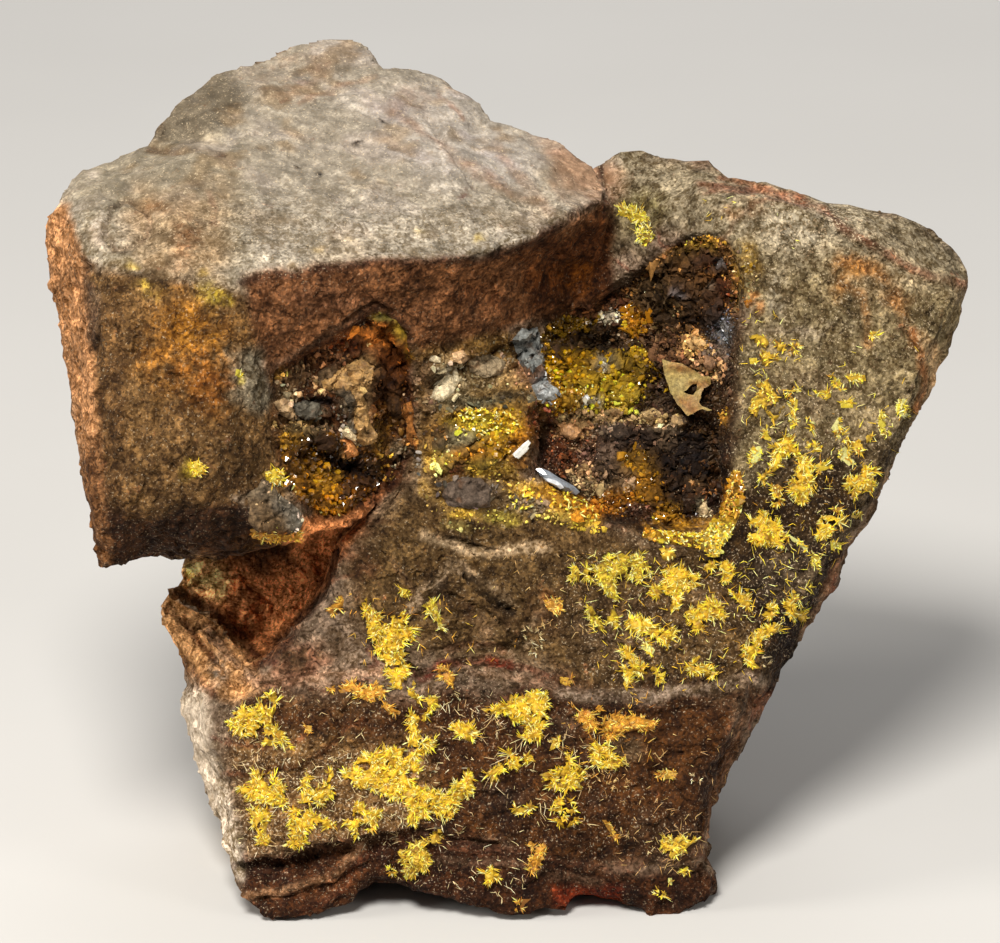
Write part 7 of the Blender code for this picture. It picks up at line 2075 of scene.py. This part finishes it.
def plate_and_prism(ground, looks):
    rng = np.random.default_rng(81)
    rim = line("535,469 541,468 549,471 558,477 567,482 574,486 580,492 576,495 568,492 560,490 551,485 543,479 537,474")
    heap = Heap()
    verts, tris = wedge(rim, (557, 481), ground, 0.12, 0.42, (0.0, -0.02))
    heap.put(verts, tris, srgb(150, 156, 164))
    # the two near-white wedges on the plate are painted highlights; the grey outer wedge keeps the glass's own colour
    verts, tris = wedge(line("542,477 547,476 552,478 557,480 562,484 564,488 560,489 555,486 549,483 545,481"), (553, 482), ground, 0.4, 0.6)
    heap.put(verts, tris, srgb(248, 250, 252))
    verts, tris = wedge(line("566,483 571,485 577,490 575,493 570,489"), (571, 488), ground, 0.3, 0.5)
    heap.put(verts, tris, srgb(206, 206, 204))
    heap.made("glassy_plate", [looks["glassy"]], "glassy_crystal", ("glassy_plate",))
    a, b = ground.at(516, 456, 5.0), ground.at(529, 439, 5.0)
    start = a[0] + a[1] * (0.5 * MM)
    way = (b[0] + b[1] * (0.8 * MM)) - start
    length = np.linalg.norm(way)
    heap = Heap()
    verts, tris, m = barrels(start[None], (way / length)[None], np.array([length]), np.array([0.22 * MM]), rng, 6, 0.7)
    heap.put(verts, tris, srgb(250, 248, 240))
    side = np.cross(way / length, a[1])
    start2 = start - side * (0.24 * MM) + way * 0.05
    if (drawn(start2[None])[0] < drawn(start[None])[0]).all():
        start2 = start + side * (0.24 * MM) + way * 0.05
    verts, tris, m = barrels(start2[None], (way / length)[None], np.array([length * 0.72]), np.array([0.12 * MM]), rng, 6, 0.6)
    heap.put(verts, tris, srgb(236, 232, 218))
    heap.made("white_prism", [looks["glassy"]], "glassy_crystal", ("white_prism",))


# sprays too small for a solid of their own
SMALL = (
    ("395,814 404,818 406,826 396,826", "pale"), ("540,739 552,740 561,735 560,742 556,748 549,751 552,743", "yellow"),
    ("386,868 392,866 397,871 396,876 389,875", "yellow"), ("400,588 410,590 409,598 401,597", "golden"),
    ("655,670 660,674 666,671 664,678 666,685 660,682 655,686 656,678", "yellow"),
    ("646,638 650,644 655,650 652,656 647,652 641,648 645,644", "yellow"),
    ("543,600 554,598 562,601 563,608 556,614 548,610", "orange"), ("560,677 572,678 573,683 566,686 560,683", "orange"),
    ("520,622 534,626 545,640 540,660 530,655 524,640", "pale"), ("540,614 560,618 556,632 543,628", "tan"),
    ("703,570 706,564 713,561 717,566 716,571 709,570", "yellow"), ("788,534 795,538 802,542 808,548 806,551 799,545 792,541", "yellow"),
    ("830,508 838,507 843,509 840,513 833,512", "yellow"), ("852,513 860,511 862,515 856,519 851,517", "yellow"),
    ("830,541 842,543 840,551 831,550", "greenish"), ("810,551 819,556 820,574 811,570", "greenish"),
    ("757,656 768,657 769,667 758,667", "pale"), ("791,345 797,343 799,348 794,356 791,352", "yellow"),
    ("749,358 757,358 757,364 750,364", "yellow"), ("872,331 879,332 876,338 870,338", "yellow"),
    ("793,398 798,400 797,408 795,416 791,412 789,406", "yellow"), ("786,388 800,388 801,396 788,396", "yellow"),
    ("814,393 822,390 831,392 831,397 826,400 822,395", "yellow"), ("829,376 833,374 838,381 844,390 841,392 834,385", "yellow"),
    ("847,375 865,375 866,381 848,381", "yellow"), ("840,401 853,400 853,408 841,408", "yellow"),
    ("806,415 809,418 815,427 812,430 807,423", "yellow"), ("766,424 771,428 772,434 771,441 764,439 762,434 766,430", "yellow"),
    ("789,418 796,418 795,428 790,428", "yellow"),
    ("838,417 842,424 841,432 847,436 852,440 846,444 839,440 835,433 831,428 835,422", "yellow"),
    ("756,445 761,447 761,460 757,462 752,466 750,455 753,450", "yellow"),
    ("772,486 778,484 783,488 781,496 783,503 776,508 771,502 773,494", "yellow"),
    ("815,465 822,462 828,462 834,466 826,470 818,472", "yellow"),
    ("838,450 845,447 850,452 848,458 853,463 856,470 849,466 843,461 838,458", "yellow"),
    ("903,397 908,402 906,408 911,414 908,420 901,417 895,410 898,404", "greenish"),
    ("880,411 885,412 884,420 887,428 892,434 888,438 882,432 878,424", "greenish"),
    ("808,443 822,444 822,452 809,451", "yellow"), ("653,774 660,772 666,769 672,771 678,773 674,777 668,779 658,779", "orange"),
    ("586,772 600,776 598,790 588,786", "tan"), ("600,781 628,781 627,790 602,789", "tan"),
    ("658,885 661,890 665,894 669,895 666,898 659,897 653,899 651,897 657,893", "golden"),
    ("683,869 687,866 690,869 687,874 682,873", "golden"), ("602,820 606,820 618,839 616,842", "orange"),
    ("619,831 624,828 630,833 628,838 621,836", "tan"), ("687,775 695,774 700,778 704,784 704,789 699,784 694,781 688,780", "pale"),
    ("645,847 655,847 655,852 646,852", "pale"), ("668,878 672,878 672,885 668,885", "golden"),
    ("517,901 523,899 531,899 525,904 522,911 516,911", "orange"), ("305,725 312,726 311,733 306,733", "orange"),
    ("618,208 634,205 646,212 648,222 638,224 630,218 620,216", "greenish"), ("634,228 648,224 655,236 650,246 638,242", "greenish"),
    ("187,464 198,460 206,466 202,476 190,474", "yellow"), ("265,472 278,468 285,476 278,484 266,480", "yellow"),
    ("236,369 242,370 241,378 235,376", "greenish"), ("250,529 276,528 300,532 299,540 270,541 252,538", "orange"),
)
# where single needles lie: outline, how many, finish, longest
STREWN = (
    ("430,690 520,700 515,760 480,760 470,745 440,735", 55, "pale", 13),
    ("500,740 600,730 610,800 590,830 540,830 500,800 480,780", 68, "pale", 15),
    ("740,560 770,540 835,545 820,600 780,640 745,610", 90, "greenish", 11),
    ("570,555 700,545 760,600 760,680 690,700 600,680 580,610", 130, "yellow", 12),
    ("740,330 930,340 920,420 860,560 760,560 738,480", 150, "yellow", 11),
    ("600,770 740,700 740,760 710,870 640,890 600,860", 93, "tan", 11),
    ("240,690 380,690 360,770 300,790 240,780", 43, "pale", 10),
    ("232,760 480,745 480,840 340,850 240,855", 124, "pale", 11),
    ("380,840 520,830 560,880 500,905 400,880", 49, "pale", 10),
    ("340,590 480,600 520,640 480,690 380,690 340,640", 43, "orange", 11),
    ("460,540 600,540 590,640 500,640", 37, "tan", 9),
    ("610,220 730,190 800,220 780,330 740,330 700,240 640,240", 49, "greenish", 8),
    ("560,700 660,690 660,760 600,780 560,750", 49, "orange", 12),
)


def small_sprays(ground, looks):
    rng = np.random.default_rng(301)
    heaps = {}
    for k, (text, finish) in enumerate(SMALL):
        rim = line(text)
        group = "block" if rim[0][0] < 330 and rim[0][1] < 560 else "upper_right" if rim[0][1] < 560 else "lower"
        heap = heaps.setdefault(group, Heap())
        faint = finish in ("pale", "tan")
        made = None if faint else skin(ground, rim, 2.6, 0.12, 0.02, rng, lump=0.7, grain_mm=0.2, seed=400 + k, open_share=0.2)
        if made:
            verts, tris, *_ = made
            # the crust under the needles is half as bright as painted shade
            heap.put(verts, tris, pick(finish, 1, rng, 0.04)[0] * 0.5)
        fan(heap, ground, rim, finish, rng, spacing=7.0 if faint else 4.2, arms=4 if faint else 6, bundle=(1, 2) if faint else (1, 3),
            long=(3.5, 8.5), thick=(0.016, 0.03) if faint else (0.02, 0.04), lift=0.1)
    for group, heap in heaps.items():
        heap.made("small_sprays_" + group, [looks["mimetite"]], "mimetite_yellow")


def strewn_needles(ground, looks):
    rng = np.random.default_rng(501)
    outlines = [line(s[1]) for s in SPRAYS]
    heaps = {}
    for text, count, finish, longest in STREWN:
        rim = line(text)
        a = np.array(rim)
        lo, hi = a.min(0), a.max(0)
        n = count * 6
        gu, gv = rng.uniform(lo[0], hi[0], n), rng.uniform(lo[1], hi[1], n)
        ok = inside_np(gu, gv, rim)
        gu, gv = gu[ok], gv[ok]
        near = np.minimum.reduce([np.where(inside_np(gu, gv, o), 0, far_np(gu, gv, o, True)) for o in outlines])
        ok = (near > 1) & (rng.uniform(0, 1, len(gu)) < np.exp(-near / 16.0) + 0.12)
        gu, gv = gu[ok][:count], gv[ok][:count]
        heap = heaps.setdefault("right" if finish in ("greenish", "yellow") else "low", Heap())
        for u, v in zip(gu, gv):
            spot = ground.at(u, v, 3.0)
            if spot is None:
                continue
            base, way = spot
            k = int(rng.integers(1, 3))
            side_a, side_b = frames(way[None])
            turn = rng.uniform(0, 2 * math.pi, k)
            rise = np.radians(rng.uniform(4, 32, k))
            ways = (np.cos(turn)[:, None] * side_a + np.sin(turn)[:, None] * side_b) * np.cos(rise)[:, None] + way * np.sin(rise)[:, None]
            lengths = rng.uniform(3.0, longest, k) * UNIT_MM * MM
            starts = np.repeat((base - way * 0.01 * MM)[None], k, 0)
            verts, tris, m = needles(starts, ways, lengths, rng.uniform(0.014, 0.027, k) * MM, 4, rng, 0.0)
            heap.put(verts, tris, np.repeat(pick(finish, k, rng), m, 0))
    for group, heap in heaps.items():
        heap.made("strewn_needles_" + group, [looks["mimetite"]], "mimetite_yellow")


# ---------------------------------------------------------------- floor, light, camera
def studio():
    mesh = bpy.data.meshes.new("floor")
    bm = bmesh.new()
    bmesh.ops.create_circle(bm, cap_ends=True, segments=64, radius=1.6)
    bmesh.ops.translate(bm, vec=(0, 0, -0.00002), verts=bm.verts)
    bm.to_mesh(mesh)
    bm.free()
    floor = add("floor", mesh)
    t = Tree("pale_matte_floor", Roughness=0.9, Specular_IOR_Level=0.1)
    t.set(Base_Color=t.mix(t.noise(40.0, 3, 0.5), srgb(188, 186, 182), srgb(194, 192, 188)))
    mesh.materials.append(t.material)

    world = bpy.data.worlds.new("pale_room")
    world.use_nodes = True
    world.node_tree.nodes["Background"].inputs[0].default_value = (0.86, 0.85, 0.84, 1)
    world.node_tree.nodes["Background"].inputs[1].default_value = 0.20
    bpy.context.scene.world = world

    def lamp(name, where, size, watts, colour=(1, 1, 1), aim=(0, 0, 0.026)):
        data = bpy.data.lights.new(name, "AREA")
        data.shape = "DISK"
        data.size = size
        data.energy = watts
        data.color = colour
        o = bpy.data.objects.new(name, data)
        bpy.context.scene.collection.objects.link(o)
        o.location = where
        o.rotation_euler = (Vector(aim) - Vector(where)).to_track_quat("-Z", "Y").to_euler()

    lamp("key", (-0.07, -0.27, 0.38), 0.16, 3.1, (1.0, 0.97, 0.93))
    lamp("side", (0.36, -0.22, 0.20), 0.16, 0.40, (1.0, 0.96, 0.90))
    lamp("left", (-0.36, -0.10, 0.16), 0.14, 0.85, (1.0, 0.96, 0.90))
    lamp("back", (0.05, 0.34, 0.28), 0.25, 0.60, (0.98, 0.98, 1.0))

    data = bpy.data.cameras.new("view")
    camera = bpy.data.objects.new("view", data)
    bpy.context.scene.collection.objects.link(camera)
    turn = Matrix((Vector(RIGHT), Vector(UP), -Vector(AHEAD))).transposed().to_4x4()
    camera.matrix_world = Matrix.Translation(Vector(EYE)) @ turn
    data.sensor_width = 36.0
    data.lens = 36.0 * VIEW_MM / (1000 * UNIT_MM)
    data.clip_start = 0.01
    data.clip_end = 10.0
    bpy.context.scene.camera = camera
    bpy.context.scene.view_settings.view_transform = "Standard"
    bpy.context.scene.view_settings.look = "None"


build()
studio()
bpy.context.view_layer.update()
tell("done: %d triangles in all" % sum(len(o.data.polygons) for o in bpy.data.objects if o.type == "MESH" and "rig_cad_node" not in o))
